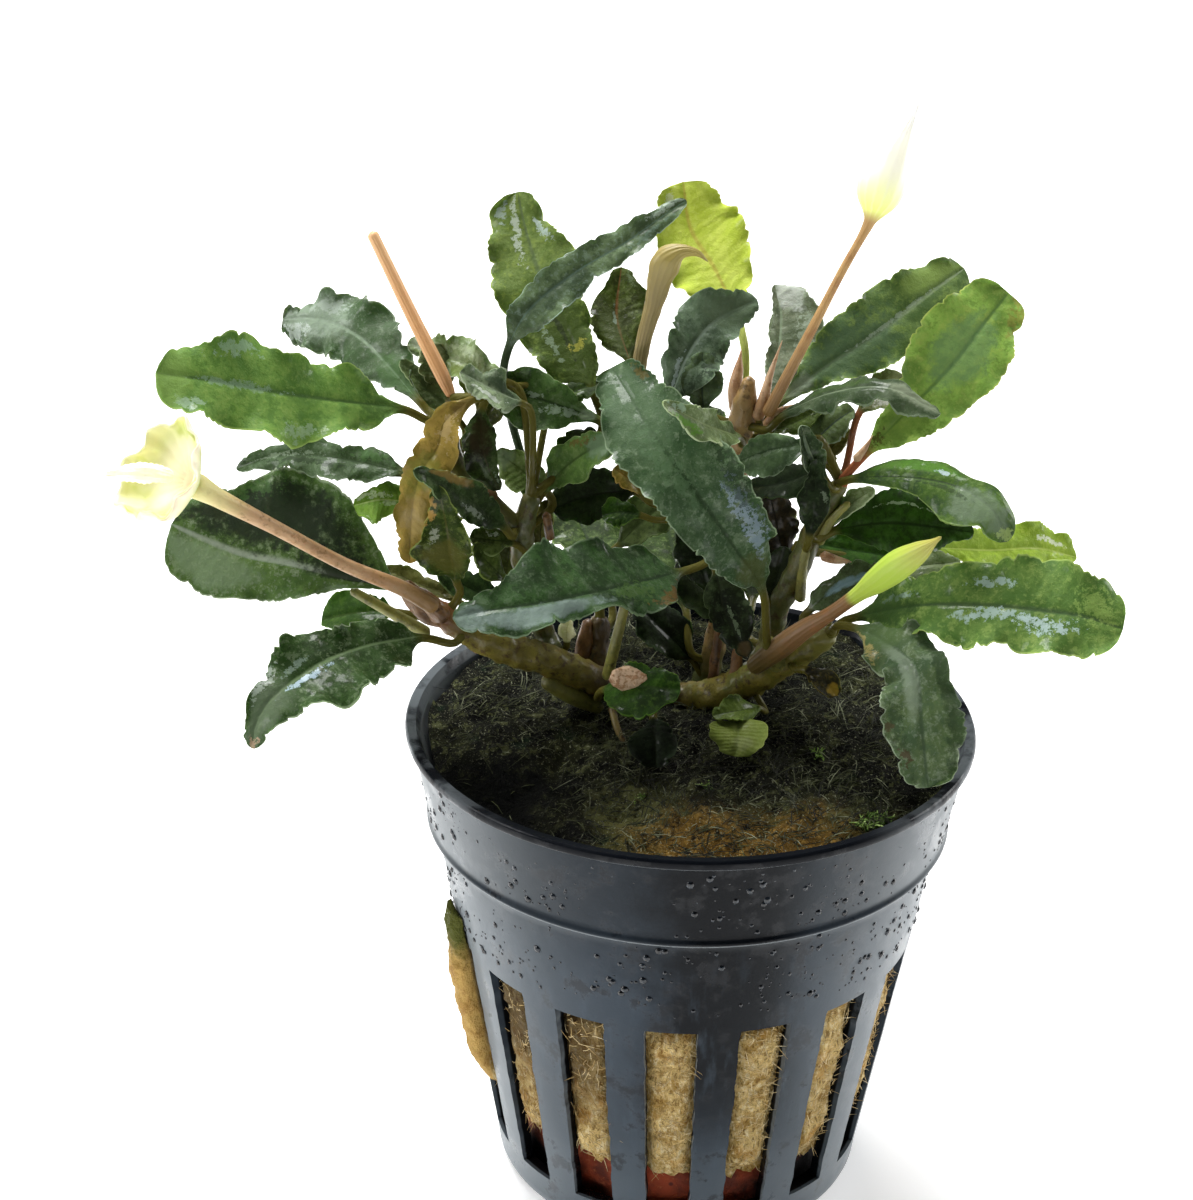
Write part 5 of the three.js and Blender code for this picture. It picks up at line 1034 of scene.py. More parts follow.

# %% [markdown]
# ## Leaves at the back
#
# The photograph does not show the far side. A plant like this grows leaves all round, so four plain ones
# of its usual size fill it. Their dark tones are painted shade, for the shade at the back of the plant.

# %% Leaves at the back
# Painted shade: these back leaves get dark tones for the shade at the back of the plant.
grow([
    Leaf("back_left", "34461f 1f2c12 24321a 7c8f58", [(-7, 6.4, 54), (-7.4, 8.4, 57), (-9, 13, 61),
        (-10.4, 18, 64), (-11, 22.6, 64.4)], 3, 3.1, face=(0.1, -0.45, 0.9), wave=(0.3, 4)),
    Leaf("back_middle", "34461f 1f2c12 24321a 7c8f58", [(0, 6.4, 51), (-0.6, 9, 55),
        (-1.6, 14, 59.4), (-2.4, 20, 62.4), (-3, 26, 62.6)], 3.2, 3.1, face=(0, -0.45, 0.9),
        wave=(0.3, 4)),
    Leaf("back_right", "222e14 141d0b 18220f 7c8f58", [(4.6, 5.6, 53), (5, 8.4, 56), (5, 13, 60.4),
        (5.6, 18, 63.4), (6, 23, 64)], 2.9, 3, face=(-0.1, -0.45, 0.9), wave=(0.3, 4)),
    Leaf("back_high", "34461f 1f2c12 24321a 7c8f58", [(2, 8.6, 60), (1.4, 10.6, 62.4), (1, 14.6, 67),
        (0.6, 18, 71), (0.2, 20.4, 74)], 2.8, 2.9, face=(0, -0.75, 0.66), wave=(0.3, 4)),
])

# %% [markdown]
# ## Small leaves and stalks between the large ones
#
# The heart of the plant is a thicket: small dark leaves, bare leaf stalks and rotted brown sheaths close
# the gaps between the large leaves. They are past the number of solids, so they are meshes alone. The same
# forms make them. A sheath is a short stem, lumpy and brown, and its tip is dry and pale.

# %% Small leaves inside
# The near-black deep leaves in this list are partly painted shade: dark leaves set into the shaded heart of
# the plant.
grow([
    Leaf("small_high_left", "6c7850 4c5a34 a0a880", [(-20.4, 4.6, 73.4), (-21.1, 5, 74.4),
        (-21.8, 5.6, 76.3), (-22.5, 6, 78.6)], 1.6, 1.5),
    Leaf("small_olive_left", "5c6a2c 47541f 7c8a44", [(-18.4, 5, 72.8), (-18.6, 5, 73.8),
        (-19, 5.4, 75.2), (-19.3, 5.8, 76.9)], 1.0, 0.9),
    Leaf("small_behind_stem", "3f4a16 2a300c 3a3a18 6c6c3c", [(-14.4, 5, 75.2), (-15.3, 5, 74.4),
        (-16.7, 4.6, 73.7), (-18.2, 4.2, 71.7)], 1.3, 1.3),
    Leaf("deep_left", "1e2c10 121a08 344020", [(-4.2, 6, 65.3), (-5.2, 6, 66), (-7.4, 6, 65.9),
        (-9.9, 5.6, 65.3), (-12.3, 5, 64.1)], 2.3, 2.3, face=(0, -0.97, 0.2)),
    Leaf("deep_amber", "6e6424 54481a 6a4a1c b0934a", [(-3.9, 4, 65), (-4.8, 4, 66), (-5.9, 4, 67.2),
        (-7.1, 4, 68.1)], 0.9, 0.8),
    Leaf("deep_green", "30500f 1f360c 223414 5c7a34", [(-3.5, 3.4, 63.5), (-4.8, 3, 63.9),
        (-6.5, 3, 64.1), (-8, 3, 63.7)], 1.2, 1.2),
    Leaf("behind_large", "546644 3c4c32 2c3830 6c7c70", [(0.4, 6.4, 71.8), (0.3, 6.4, 73.4),
        (0.1, 6.8, 75.1), (0, 8, 78.6)], 1.7, 1.7),
    Leaf("small_grey_right", "5c6c44 42502c 34403a 707f6c", [(8.8, 4, 69.6), (9.4, 4, 70.7),
        (11.1, 3.6, 72.7), (12.7, 3.6, 74)], 1.4, 1.3),
    Leaf("brown_behind", "2a2314 14110a 4c3c20", [(7, 5.4, 56), (7.5, 5.6, 59.6), (6.9, 5.6, 62.9),
        (5.9, 5.4, 66.9)], 1.8, 1.7),
    Leaf("fold_right", "7f9068 5c6c44 a3b08c", [(10.7, 2, 62.5), (11.4, 2, 63.7), (12.9, 2, 65.5),
        (14.8, 2, 67)], 0.8, 0.8),
    Leaf("reddish_right", "5c6238 444a26 2c3a20 7c8c5c", [(12.4, 3, 69.4), (13.2, 3.4, 73.8),
        (14.5, 4, 75), (18, 4.6, 76.5)], 1.6, 1.5, stalk="7a4c30"),
    Leaf("behind_bud_edge", "9aa87c 76885c 5c6c44 c0cab0", [(12, 1.6, 56), (13, 1.6, 57),
        (17.5, 1.8, 59.6), (22.5, 2.4, 60.6)], 1.2, 1.3, lobes=(1.4, 0.5)),
    Leaf("low_left_olive", "3f501a 2c3a10 6c7c3c", [(-15.2, 0, 56.4), (-16.2, -0.4, 57.4),
        (-18.3, -1, 59.6), (-18.9, -1.4, 60.7)], 1.2, 1.1),
    Leaf("low_left_dark", "4c5c28 303c18 2c3818 6c7c4c", [(-14.6, 1, 60.2), (-15.6, 0.6, 60.9),
        (-17.7, 0, 61.1), (-19.3, -0.4, 61.3)], 1.2, 1.2, marks=((0.5, -0.4, 0.2, 0.2, "b5bdb0", 0.6),)),
    Leaf("low_left_long", "2a3e1c 1c2c12 1a2810 4c6434", [(-15, 1.6, 54.4), (-16.3, 1.2, 55.1),
        (-19.7, 0.6, 56.7), (-22.1, 0.4, 58.2)], 1.3, 1.3),
    Leaf("young_fold", "dcdcae c4c48c b0b078 ececc8", [(-11, 1.6, 51), (-10.9, 1.4, 51.8),
        (-10.9, 1.2, 52.8), (-10.7, 1, 54)], 0.7, 0.9, fold=0.5, slot="leaf_yellow"),
    Leaf("deep_middle", "1c2812 10170a 34442a", [(3.4, 5.6, 60), (2.6, 5.6, 62), (1.2, 6, 65),
        (0.4, 6.4, 68.4)], 1.9, 2.1),
    Leaf("deep_low", "222e14 141c0c 3c4c2c", [(4.6, 6, 52), (3.6, 6.4, 54), (1, 7, 57), (-1.4, 7.6, 60)],
        2.2, 2.2),
    Leaf("back_of_left_high", "2c3a14 1c260c 44542a", [(-12.9, 6, 66.8), (-12.4, 6, 67.6),
        (-11.6, 6.4, 68.7), (-8.7, 7, 71.5)], 1.1, 1.1),
    Leaf("back_of_dark_small", "26341c 162010 3c4c30", [(10.6, 3, 69), (10, 3, 68.6), (7.3, 3.4, 67.3),
        (4.2, 4, 66.6)], 1.5, 1.5),
    Leaf("right_dark_low", "305410 1c340a 4c6c2c", [(8.4, 4.4, 61.6), (9.6, 4.4, 61.8),
        (13.1, 4.6, 61.3), (17.8, 5, 60.7)], 1.3, 1.5),
    Leaf("back_of_deep_left", "46542a 303c1a 5c6c40", [(-7.6, 7, 60), (-6.6, 7, 61), (-4.4, 7.4, 63.5),
        (-1.6, 8, 65.8)], 1.9, 1.9),
    Leaf("left_high_inner", "55663c 3c4a28 8a9a70", [(-19.6, 4, 71), (-20.2, 4, 72), (-22.6, 4.6, 74.4),
        (-24.9, 5.4, 77.1)], 0.9, 1),
    Leaf("top_low_inner", "33471c 222f12 5c6c3c", [(-12.4, 6, 73.4), (-11.7, 6, 74), (-10.4, 6.4, 74.8),
        (-8, 7, 75.7)], 0.9, 0.9),
    Leaf("top_right_inner", "485a24 303e14 6c7c48", [(4.6, 4.6, 71.2), (5.9, 4.6, 71.8),
        (7.9, 4.6, 72.7), (10.4, 5, 74.2)], 0.9, 0.9),
    Leaf("right_high_inner", "55521f 3c3a14 84804a", [(9.4, 4, 67.4), (10, 4, 68.5), (10.9, 4.2, 70.3),
        (12.3, 4.6, 72.4)], 1, 1),
    Leaf("left_low_inner", "5f6030 44451f 8c8c54", [(-19.8, 2, 54.8), (-20.8, 2, 55.5),
        (-23.6, 2.4, 56.7), (-27, 3, 58.2)], 0.9, 0.9),
    Leaf("right_foot_inner", "1f2a10 121a08 34442a", [(6.2, 3, 55), (6.6, 3, 56.4), (7, 3.2, 58.4),
        (7.6, 3.6, 61.4)], 1.4, 1.4),
    Leaf("left_stem_inner", "48521a 2e360f 6c743c", [(-15.6, 3, 55.8), (-16.2, 3, 57.2),
        (-16, 3.2, 59.3), (-15.6, 3.6, 61.8)], 1.2, 1.2),
    Leaf("left_fork_inner", "5c5c28 3c3c18 1c1a0a 8a8a50", [(-13, 4, 59), (-13.2, 4, 60.2),
        (-13.2, 4.4, 62.4), (-12.6, 5, 65)], 0.9, 1),
    Leaf("front_olive", "56682c 3f501c 38461c 84964c", [(6.6, -0.6, 45.6), (6, -1.6, 45.9),
        (4.4, -3.2, 45.6), (2, -4, 45)], 1, 1.2),
    Leaf("left_top_fold", "7c8c6a 4c5c42 8a987c a8b49a", [(-14.2, 1.6, 73.2), (-15, 1.2, 73.7),
        (-17, 0.8, 74.6), (-20, 0.6, 76.2)], (1, 1.3, 1.4, 1.4, 1.3, 1.1, 0.7), 1.3, lobes=(1.6, 0.5),
        wave=(0.4, 2), marks=((0.4, -0.4, 0.3, 0.4, "2f3d2a", 0.7),
        (0.5, 0.5, 0.35, 0.15, "c3c9c0", 0.6))),
    Leaf("right_top_fold", "3a4c2e 26341e 7c8c6c 8a987c", [(11.4, 0.6, 66.8), (10.6, 0.2, 67.8),
        (9.4, -0.4, 69.8), (8.4, -0.4, 72.4)], (0.7, 0.9, 1, 0.9, 0.9, 0.7, 0.5), 1,
        face=(0.3, -0.9, 0.3), fold=0.4, marks=((0.6, 0.2, 0.4, 0.2, "8a9a84", 0.6),)),
    Leaf("deep_heart", "26361a 162010 3c4c2c", [(2, 5, 55), (1.2, 5, 57), (0.2, 5.2, 60),
        (-1.4, 5.4, 63.6)], 1.7, 1.7),
    Leaf("deep_foot", "1e2a12 10180a 34442a", [(1, 6.5, 49), (0, 6.6, 50.4), (-2.4, 7, 53),
        (-5, 7.4, 55.6)], 2, 2),
], "leaf_dark")

# %% [markdown]
# ## Bare stalks, sheaths and roots
#
# Each leaf stalk starts in a sheath, which dries, splits and rots brown once the leaf is out. Young roots
# creep down over the rock wool. All of them are thin bars, so one piece holds all bars of one kind.

# %% Leaf stalks, sheaths and roots
THIN_SIDES = 12


def add_bars(name, finish, bars, **form):
    """Several thin bars as one piece. Each is a row of points and their radii."""
    forms = [stem_form(*bar, THIN_SIDES, row_step=0.25, seed=k, **form) for k, bar in enumerate(bars)]
    made = joined(*forms)
    add_piece(name, made, finish)
    return len(made[1])


pale_stalks = add_bars("stalks_pale", stem_finish("pale_stalk_skin", ("86843c", "6f6e34", "545224")), [
    ([(9.1, 2.4, 56.3), (9.2, 2.2, 59.8), (9.8, 2, 63.2)], [0.5, 0.45, 0.45]),
    ([(10.4, 1.6, 61.7), (11.4, 1.4, 64), (12.8, 1.2, 65.7)], [0.4, 0.36, 0.32]),
    ([(-29.7, -2, 56), (-26.3, -1.6, 54), (-22.9, -1.4, 51.9)], [0.4, 0.5, 0.6]),
    ([(-7.7, 1, 45.2), (-10.4, 0.4, 46.6), (-13, 0, 48.1)], [0.6, 0.9, 0.8]),
    ([(-5.6, -0.6, 57.2), (-6.2, -0.6, 54), (-6.9, -0.6, 50.6), (-7.4, -0.2, 48.2)], [0.4, 0.45, 0.5, 0.5]),
    ([(6.4, -1.4, 52.8), (7, -1, 51.4), (7.8, 0, 50)], [0.55, 0.8, 1]),
])
sheaths = add_bars("sheaths_brown", stem_finish("sheath_skin", ("74522a", "5a3e1e", "3c2814")), [
    ([(-20.9, 1.4, 68.2), (-19.9, 1.2, 66.1), (-18.4, 1, 65.4), (-16.9, 1, 65.2)], [0.6, 0.95, 0.9, 0.6]),
    ([(-25, -2.6, 56.2), (-23.3, -2.2, 54.3), (-21.5, -1.8, 53.2)], [0.6, 0.9, 0.8]),
    ([(-12.4, 2.6, 61.3), (-12.5, 2.4, 61.9), (-12.8, 2.4, 63.9)], [0.4, 0.4, 0.35]),
    ([(-21.4, -2.6, 53.4), (-23.2, -3, 55.3), (-24.9, -3.4, 57)], [0.9, 0.7, 0.3]),
    ([(0, 5, 69), (1.8, 5, 69.5), (3.6, 5, 70)], [0.8, 1, 0.8]),
    ([(1.8, 3, 47.4), (2, 3, 50), (2.2, 3.4, 53.4)], [0.5, 0.45, 0.35]),
    ([(3.6, 1.6, 47.8), (3.9, 1.8, 49.6), (4, 2.4, 52)], [0.7, 0.6, 0.4]),
    ([(-9.6, 3, 49), (-9.4, 3.4, 51.2), (-9, 4, 54)], [0.9, 0.8, 0.5]),
], lumps=0.16)
tips = add_bars("sheath_tips", stem_finish("sheath_tip_skin", ("c8a884", "a88058", "8a6444")), [
    ([(2.9, 5.4, 73.4), (2.8, 5.6, 75.4), (3, 6, 77), (3.2, 6.6, 79)], [0.5, 0.6, 0.45, 0.06]),
    ([(4.7, 4, 72.8), (5.2, 4, 74.6), (5.6, 4.2, 76.6), (6.5, 4.6, 79.8)], [0.6, 0.5, 0.3, 0.05]),
    ([(5.4, 3.4, 72.2), (6.6, 3.2, 73.6), (8.2, 3, 74.4)], [0.5, 0.35, 0.06]),
    ([(13.3, 0.4, 60.2), (11.8, 0.6, 60.4), (10.6, 0.8, 60.8)], [0.1, 0.4, 0.45]),
    ([(13, 0.6, 69.4), (13.8, 0.8, 70.6), (14.4, 1, 71.8)], [0.4, 0.25, 0.05]),
])
roots = add_bars("roots", stem_finish("root_skin", ("7a6a34", "5c4a24", "3a2c16")), [
    ([(-6.9, -1, 45.6), (-6.3, -2.6, 43.2), (-4.9, -4, 40.6)], [0.35, 0.3, 0.2]),
    ([(-4, 3, 46.4), (-3.4, 1.6, 44.8), (-1.6, 0, 42.6)], [0.3, 0.28, 0.18]),
])
print("leaf stalks, sheaths and roots of", pale_stalks + sheaths + tips + roots, "faces")

# %% [markdown]
# ## Flowers
#
# The flower of an aroid is a spadix wrapped in one pale leaf, the spathe. The one on the left is open, a
# frilled cup on a long tan stalk. The tall one on the right is still closed and ends in a thin beak, the
# bud in front is yellow-green, the old one in the middle has dried brown, and one stalk has lost its
# flower. One finish serves for all but the cup: tones from foot to tip with fine lines along them, and the
# tone of the stalk below. A little emission on the closed spathe and the spadix is a painted glow that
# makes them look brightly lit.

# %% Flower finishes
def petal_finish(name, foot, middle, tip, veins, stalk_until=0.0, stalk_tone="", foot_tone="", painted_glow=0.0):
    """Tones of a spathe from foot to tip. Its stalk is the share `stalk_until` of its length."""
    finish = Finish(name)
    around, along = finish.uv_map()
    grain = finish.clouds(0.4, 3)
    skin = finish.blend(foot, middle, along.between(stalk_until, stalk_until + (1 - stalk_until) * 0.45))
    skin = skin.mixed(tip, along.between(stalk_until + (1 - stalk_until) * 0.5, 1.0))
    lines = ((around * 14 + grain * 0.4) * 2 * math.pi).sine()
    skin = skin.mixed(veins, lines.between(0.3, 1.0) * 0.12)
    if stalk_until:
        stalk = finish.blend(stalk_tone, "8f5f33", finish.clouds(1.4, 4).between(0.45, 0.7) * 0.7)
        if foot_tone:
            stalk = stalk.mixed(foot_tone, along.between(stalk_until * 0.6, 0.0))
        share = along.between(stalk_until + 0.015, stalk_until - 0.03)
        skin = skin.mixed(stalk, share)
    return finish.surface(
        Base_Color=skin,
        Roughness=0.42 + grain * 0.2,
        Normal=finish.bumps(grain * 0.4 + lines * 0.3, 0.05),
        Coat_Weight=0.15,
        # Emission over the whole piece is a painted glow, so that it looks brightly lit.
        Emission_Color=skin,
        Emission_Strength=painted_glow,
        Subsurface_Weight=0.15,
        Subsurface_Radius=(0.001, 0.0009, 0.0007),
        Subsurface_Scale=1.0,
    )


right_finish = petal_finish("closed_spathe", "e4ea86", "fffde6", "fffffa", "fffdf0", 0.66, "aa8650",
                            "74562c", painted_glow=0.25)
bud_finish = petal_finish("bud_spathe", "a9bf45", "a4be40", "a8a040", "c6ce7a", 0.56, "7c5c38", "5c4c20")
old_finish = petal_finish("old_spathe", "8c7c4c", "84743c", "aa9a50", "5c4a28")
bare_finish = petal_finish("bare_stalk_skin", "d09a64", "e0aa72", "e4b682", "b88850")
print("four finishes for flowers")

# %% [markdown]
# ## Closed flowers, the old one and a bare stalk
#
# A closed spathe is wrapped so tightly round its spadix that it is a bar with a belly and a thin beak. The
# old flower is flattened and has a bent tip. A bar with a smoothly changing radius serves for all of them:
# each is one line of points with its radii, stalk included.

# %% Closed and old flowers
RIGHT_FLOWER = ([(5.5, 3, 73.2), (8.5, 3.2, 80), (11, 4, 85.7), (13, 5, 90), (13.5, 5.4, 91.8),
                 (13.9, 5.8, 93.6), (14.5, 6.2, 95.6), (15.3, 6.6, 97.4), (16.4, 7, 99.9)],
                [0.55, 0.43, 0.36, 0.5, 1.75, 2, 1.65, 0.85, 0.12])
BUD = ([(5.2, 0.2, 49.8), (7.6, -1.8, 51.9), (9.6, -3.4, 53.7), (11.8, -5, 55.3), (14, -7, 57.2),
        (15.5, -8.4, 58.5), (17.3, -10, 60.1), (19, -11.4, 61.4), (20.7, -12.6, 62.8)],
       [0.8, 1, 0.85, 0.62, 0.65, 1.05, 1.25, 0.85, 0.15])
OLD_FLOWER = ([(-5.3, 2.4, 75.6), (-4.9, 2.4, 79), (-4.1, 2.4, 82.5), (-3.6, 2.4, 84.8), (-3, 2.3, 86.3),
               (-1.9, 2.2, 87.1), (-0.7, 2.1, 87), (0.2, 2, 86.3)],
              [0.55, 0.62, 0.75, 1.05, 1.2, 0.6, 0.3, 0.08])
BARE_STALK = ([(-20.7, 1.6, 74), (-21.5, 1.8, 75.9), (-24, 3.2, 81.2), (-27.1, 5, 88)],
              [0.4, 0.62, 0.56, 0.5])

add_bar("spathe_right", "flower_right", RIGHT_FLOWER, right_finish, row_step=0.2)
add_bar("spathe_bud", "flower_bud_right", BUD, bud_finish, row_step=0.2)
add_bar("spathe_old", "flower_old_center", OLD_FLOWER, old_finish, row_step=0.2, flat=0.7, lumps=0.08)
add_bar("stalk_bare", "flower_stalk_bare", BARE_STALK, bare_finish, row_step=0.2)
print("a closed, a young and an old spathe, and a bare stalk")

# %% [markdown]
# ## The open flower
#
# The cup is a funnel of two walls that meet in the lip. The frill is a sum of three waves round the mouth,
# which grow towards the lip, so no two folds are alike. The UVs run on from 1 to 2 inside, so that one
# finish knows the inside from the outside.

# %% Open flower
LEFT_STALK = ([(-22.2, -4.6, 54.5), (-25, -5.4, 56.2), (-30, -7.2, 58.3), (-36, -9.8, 61.6),
               (-41, -12, 64.3), (-43.2, -13, 65.6)], [0.75, 0.68, 0.58, 0.6, 0.8, 1.1])
SPADIX = ([(-44.6, -13.6, 66), (-47.2, -15, 66.3), (-50.6, -16.4, 66)], [0.5, 0.75, 0.4])
CUP_NECK = (-42.9, -12.9, 65.5)
CUP_MOUTH = (-45.9, -14.4, 66.5)
CUP_RADII = (0.9, 2.3, 3.5, 4, 4.1)
CUP_WALL = 0.2


def cup_form(rows=26, sides=72):
    neck, mouth = seen([CUP_NECK, CUP_MOUTH])
    axis = mouth - neck
    ahead = unit(axis)
    up = across_from(np.array([0.0, 0.0, 1.0]), ahead)
    side = np.cross(ahead, up)
    turn = np.linspace(0, 2 * np.pi, sides, endpoint=False)

    def wall(start, offset, push):
        share = np.linspace(start, 1, rows)[:, None]
        radius = np.maximum(smooth_table(CUP_RADII, np.linspace(0, 1, rows))[:, None] + offset, 0.15)
        waves = 0.1 * np.sin(3 * turn + 0.6) + 0.06 * np.sin(8 * turn) + 0.035 * np.sin(19 * turn)
        frill = 1 + share ** 2 * waves
        lip = share ** 3 * (1.1 * np.cos(turn - 2.4) + 0.3 * np.sin(7 * turn + 1)) + push
        around = up * np.cos(turn)[:, None] + side * np.sin(turn)[:, None]
        centre = neck + axis * share[..., None] + ahead * lip[..., None]
        return centre + around * (radius * frill)[..., None]

    outer, inner = wall(0, CUP_WALL, 0), wall(0.14, -CUP_WALL, 0.02)
    along = np.concatenate([np.linspace(0, 1, rows), np.linspace(2, 1, rows)])
    return skin(np.concatenate([outer, inner[::-1]]), along, flip=True)


def cup_finish():
    finish = Finish("open_spathe")
    around, v = finish.uv_map()
    inside = v > 1.0
    along = (v - 1).larger(1 - v)
    rim = 1 - abs(v - 1)
    grain = finish.clouds(0.7, 4)
    skin = finish.blend("bcca68", "f8f0cc", rim.between(0.3, 0.8))
    skin = skin.mixed("eecfae", rim.between(0.75, 1.0) * 0.7)
    skin = skin.mixed("ece6ac", inside * along.between(0.5, 0.95) * 0.4)
    skin = skin.mixed("fbf6dc", finish.clouds(2.5, 2).between(0.42, 0.58) * 0.4)
    folds = ((around * 17 + grain * 0.6) * 2 * math.pi).sine()
    skin = skin.mixed("e8e6bc", folds.between(0.4, 1.0) * 0.15)
    return finish.surface(
        Base_Color=skin,
        Roughness=0.45 + grain * 0.2,
        Normal=finish.bumps(folds * 0.4 + grain * 0.4, 0.06),
        # A little emission: a painted glow, so that the cup looks brightly lit.
        Emission_Color=skin,
        Emission_Strength=0.05,
        Subsurface_Weight=0.2,
        Subsurface_Radius=(0.002, 0.0016, 0.001),
        Subsurface_Scale=1.0,
    )


add_piece("spathe_left_cup", cup_form(), cup_finish(), ["flower_left"])
stalk_skin = stem_finish("open_flower_stalk_skin", ("bf9a70", "ac8458", "8c683c"), "7c5430", 0.2, 0.3,
                         start_tone="8a6a3c", end_tone="d9cf8c")
add_bar("stalk_left", "flower_left", LEFT_STALK, stalk_skin, row_step=0.25)
spadix_skin = petal_finish("spadix_skin", "fbf5cc", "fffce4", "fffbe0", "ffffff", painted_glow=0.35)
add_bar("spadix", "spadix_left", SPADIX, spadix_skin, row_step=0.12, rings=0.12, pitch=0.45, lumps=0.12)
print("open spathe, its stalk and spadix")

# %% [markdown]
# ## The net pot
#
# The pot is one moulded piece of dark plastic: a slotted base and wall, a stepped collar and a flat rim.
# It could be lathed and cut with booleans, but they leave poor faces round every slot. Here the wall is a
# grid of profile rows and angle columns, once outside and once inside. The cells of a slot are left out,
# and each open edge is closed with a small wall, so the mesh stays clean and the slot edges can be as
# ragged as those of a cheap moulding.

# %% Pot form
POT_HEIGHT = 45
RIM_RADIUS = 25
RIM_INNER_RADIUS = 23.9
LIP_HEIGHT = 0.9
COLLAR_RADIUS = 24.4
COLLAR_FOOT_RADIUS = 22.8
COLLAR_FOOT_Z = 35.3
BODY_TOP_RADIUS = 22.35
BODY_FOOT_RADIUS = 16.9
BASE_THICKNESS = 1.6
WALL = 1.1
FOOT_BEND = 1.7
INNER_FOOT_BEND = 0.8
LIP_BEND = 0.25
SLOT_COUNT = 16
SLOT_TOP_Z = 25.8
SLOT_FOOT_Z = 4
SLOT_HALF_ANGLE = 6.3
FIRST_SLOT_ANGLE = -91.8
BASE_SLOT_INNER = 6.5
BASE_SLOT_OUTER = 13
BEAD_HEIGHT = 0.3
CELLS_PER_SLOT = 8
CELLS_PER_BAR = 8
HAIR = 1e-6


def body_radius(z):
    return BODY_FOOT_RADIUS + (BODY_TOP_RADIUS - BODY_FOOT_RADIUS) * (z - 2) / (COLLAR_FOOT_Z - 2)


def room_at(z):
    """Inner radius of the pot at a height."""
    z = np.asarray(z, float)
    foot = BODY_FOOT_RADIUS - WALL
    body = foot + (z - 2.4) / (COLLAR_FOOT_Z - 2.4) * (BODY_TOP_RADIUS - BODY_FOOT_RADIUS)
    share = (z - COLLAR_FOOT_Z) / (POT_HEIGHT - COLLAR_FOOT_Z)
    collar = BODY_TOP_RADIUS - WALL + share * (RIM_INNER_RADIUS - BODY_TOP_RADIUS + WALL)
    return np.where(z > COLLAR_FOOT_Z, collar, body)


def pot_profile():
    """Rows of outer radius and height, inner radius and height, and what part of the pot they are in."""
    rows = []
    for radius in (0.3, 3, BASE_SLOT_INNER, 8, 10, 11.5, BASE_SLOT_OUTER, 14.2):
        rows.append((radius, 0, radius, BASE_THICKNESS, "base"))
    inner_foot = BODY_FOOT_RADIUS - WALL
    for turn in np.linspace(0, 90, 7):
        c, s = math.cos(math.radians(turn)), math.sin(math.radians(turn))
        inner_z = BASE_THICKNESS + INNER_FOOT_BEND - INNER_FOOT_BEND * c
        rows.append((BODY_FOOT_RADIUS - FOOT_BEND + FOOT_BEND * s, FOOT_BEND - FOOT_BEND * c,
                     inner_foot - INNER_FOOT_BEND + INNER_FOOT_BEND * s, inner_z, "foot"))
    for z in [*np.linspace(2.8, SLOT_FOOT_Z, 3), *np.linspace(SLOT_FOOT_Z, SLOT_TOP_Z, 60)[1:],
              *np.linspace(SLOT_TOP_Z, COLLAR_FOOT_Z, 14)[1:]]:
        rows.append((body_radius(z), z, float(room_at(z)), z, "wall"))
    collar_top = POT_HEIGHT - LIP_HEIGHT - 0.25
    for z in [*np.linspace(COLLAR_FOOT_Z + 0.05, COLLAR_FOOT_Z + 2.2, 20),
              *np.linspace(COLLAR_FOOT_Z + 3, collar_top, 8)]:
        share = (z - COLLAR_FOOT_Z) / (collar_top - COLLAR_FOOT_Z)
        step = float(soft_step(z, COLLAR_FOOT_Z, COLLAR_FOOT_Z + 0.5))
        radius = BODY_TOP_RADIUS + step * (COLLAR_FOOT_RADIUS - BODY_TOP_RADIUS)
        radius += share * (COLLAR_RADIUS - COLLAR_FOOT_RADIUS)
        bead = BEAD_HEIGHT * math.exp(-((z - COLLAR_FOOT_Z - 0.75) / 0.34) ** 2)
        rows.append((radius + bead, z, float(room_at(z)), z, "collar"))
    lip_middle = POT_HEIGHT - LIP_HEIGHT / 2
    for turn in np.linspace(-80, 80, 9):
        c, s = math.cos(math.radians(turn)), math.sin(math.radians(turn))
        z = lip_middle + LIP_HEIGHT / 2 * s
        inner = float(room_at(z - 0.2)) + 0.1 * (1 + s)
        rows.append((RIM_RADIUS - LIP_BEND + LIP_BEND * c, z, inner, z - 0.12, "lip"))
    return rows


def pot_angles():
    """Angles of the columns in degrees, and which slot each cell lies in, or -1 on a bar."""
    angles, slots = [], []
    pitch = 360 / SLOT_COUNT
    for slot in range(SLOT_COUNT):
        middle = FIRST_SLOT_ANGLE + pitch * slot
        for k in range(CELLS_PER_SLOT):
            angles.append(middle - SLOT_HALF_ANGLE + 2 * SLOT_HALF_ANGLE * k / CELLS_PER_SLOT)
            slots.append(slot)
        for k in range(CELLS_PER_BAR):
            angles.append(middle + SLOT_HALF_ANGLE + (pitch - 2 * SLOT_HALF_ANGLE) * k / CELLS_PER_BAR)
            slots.append(-1)
    return np.array(angles), np.array(slots)


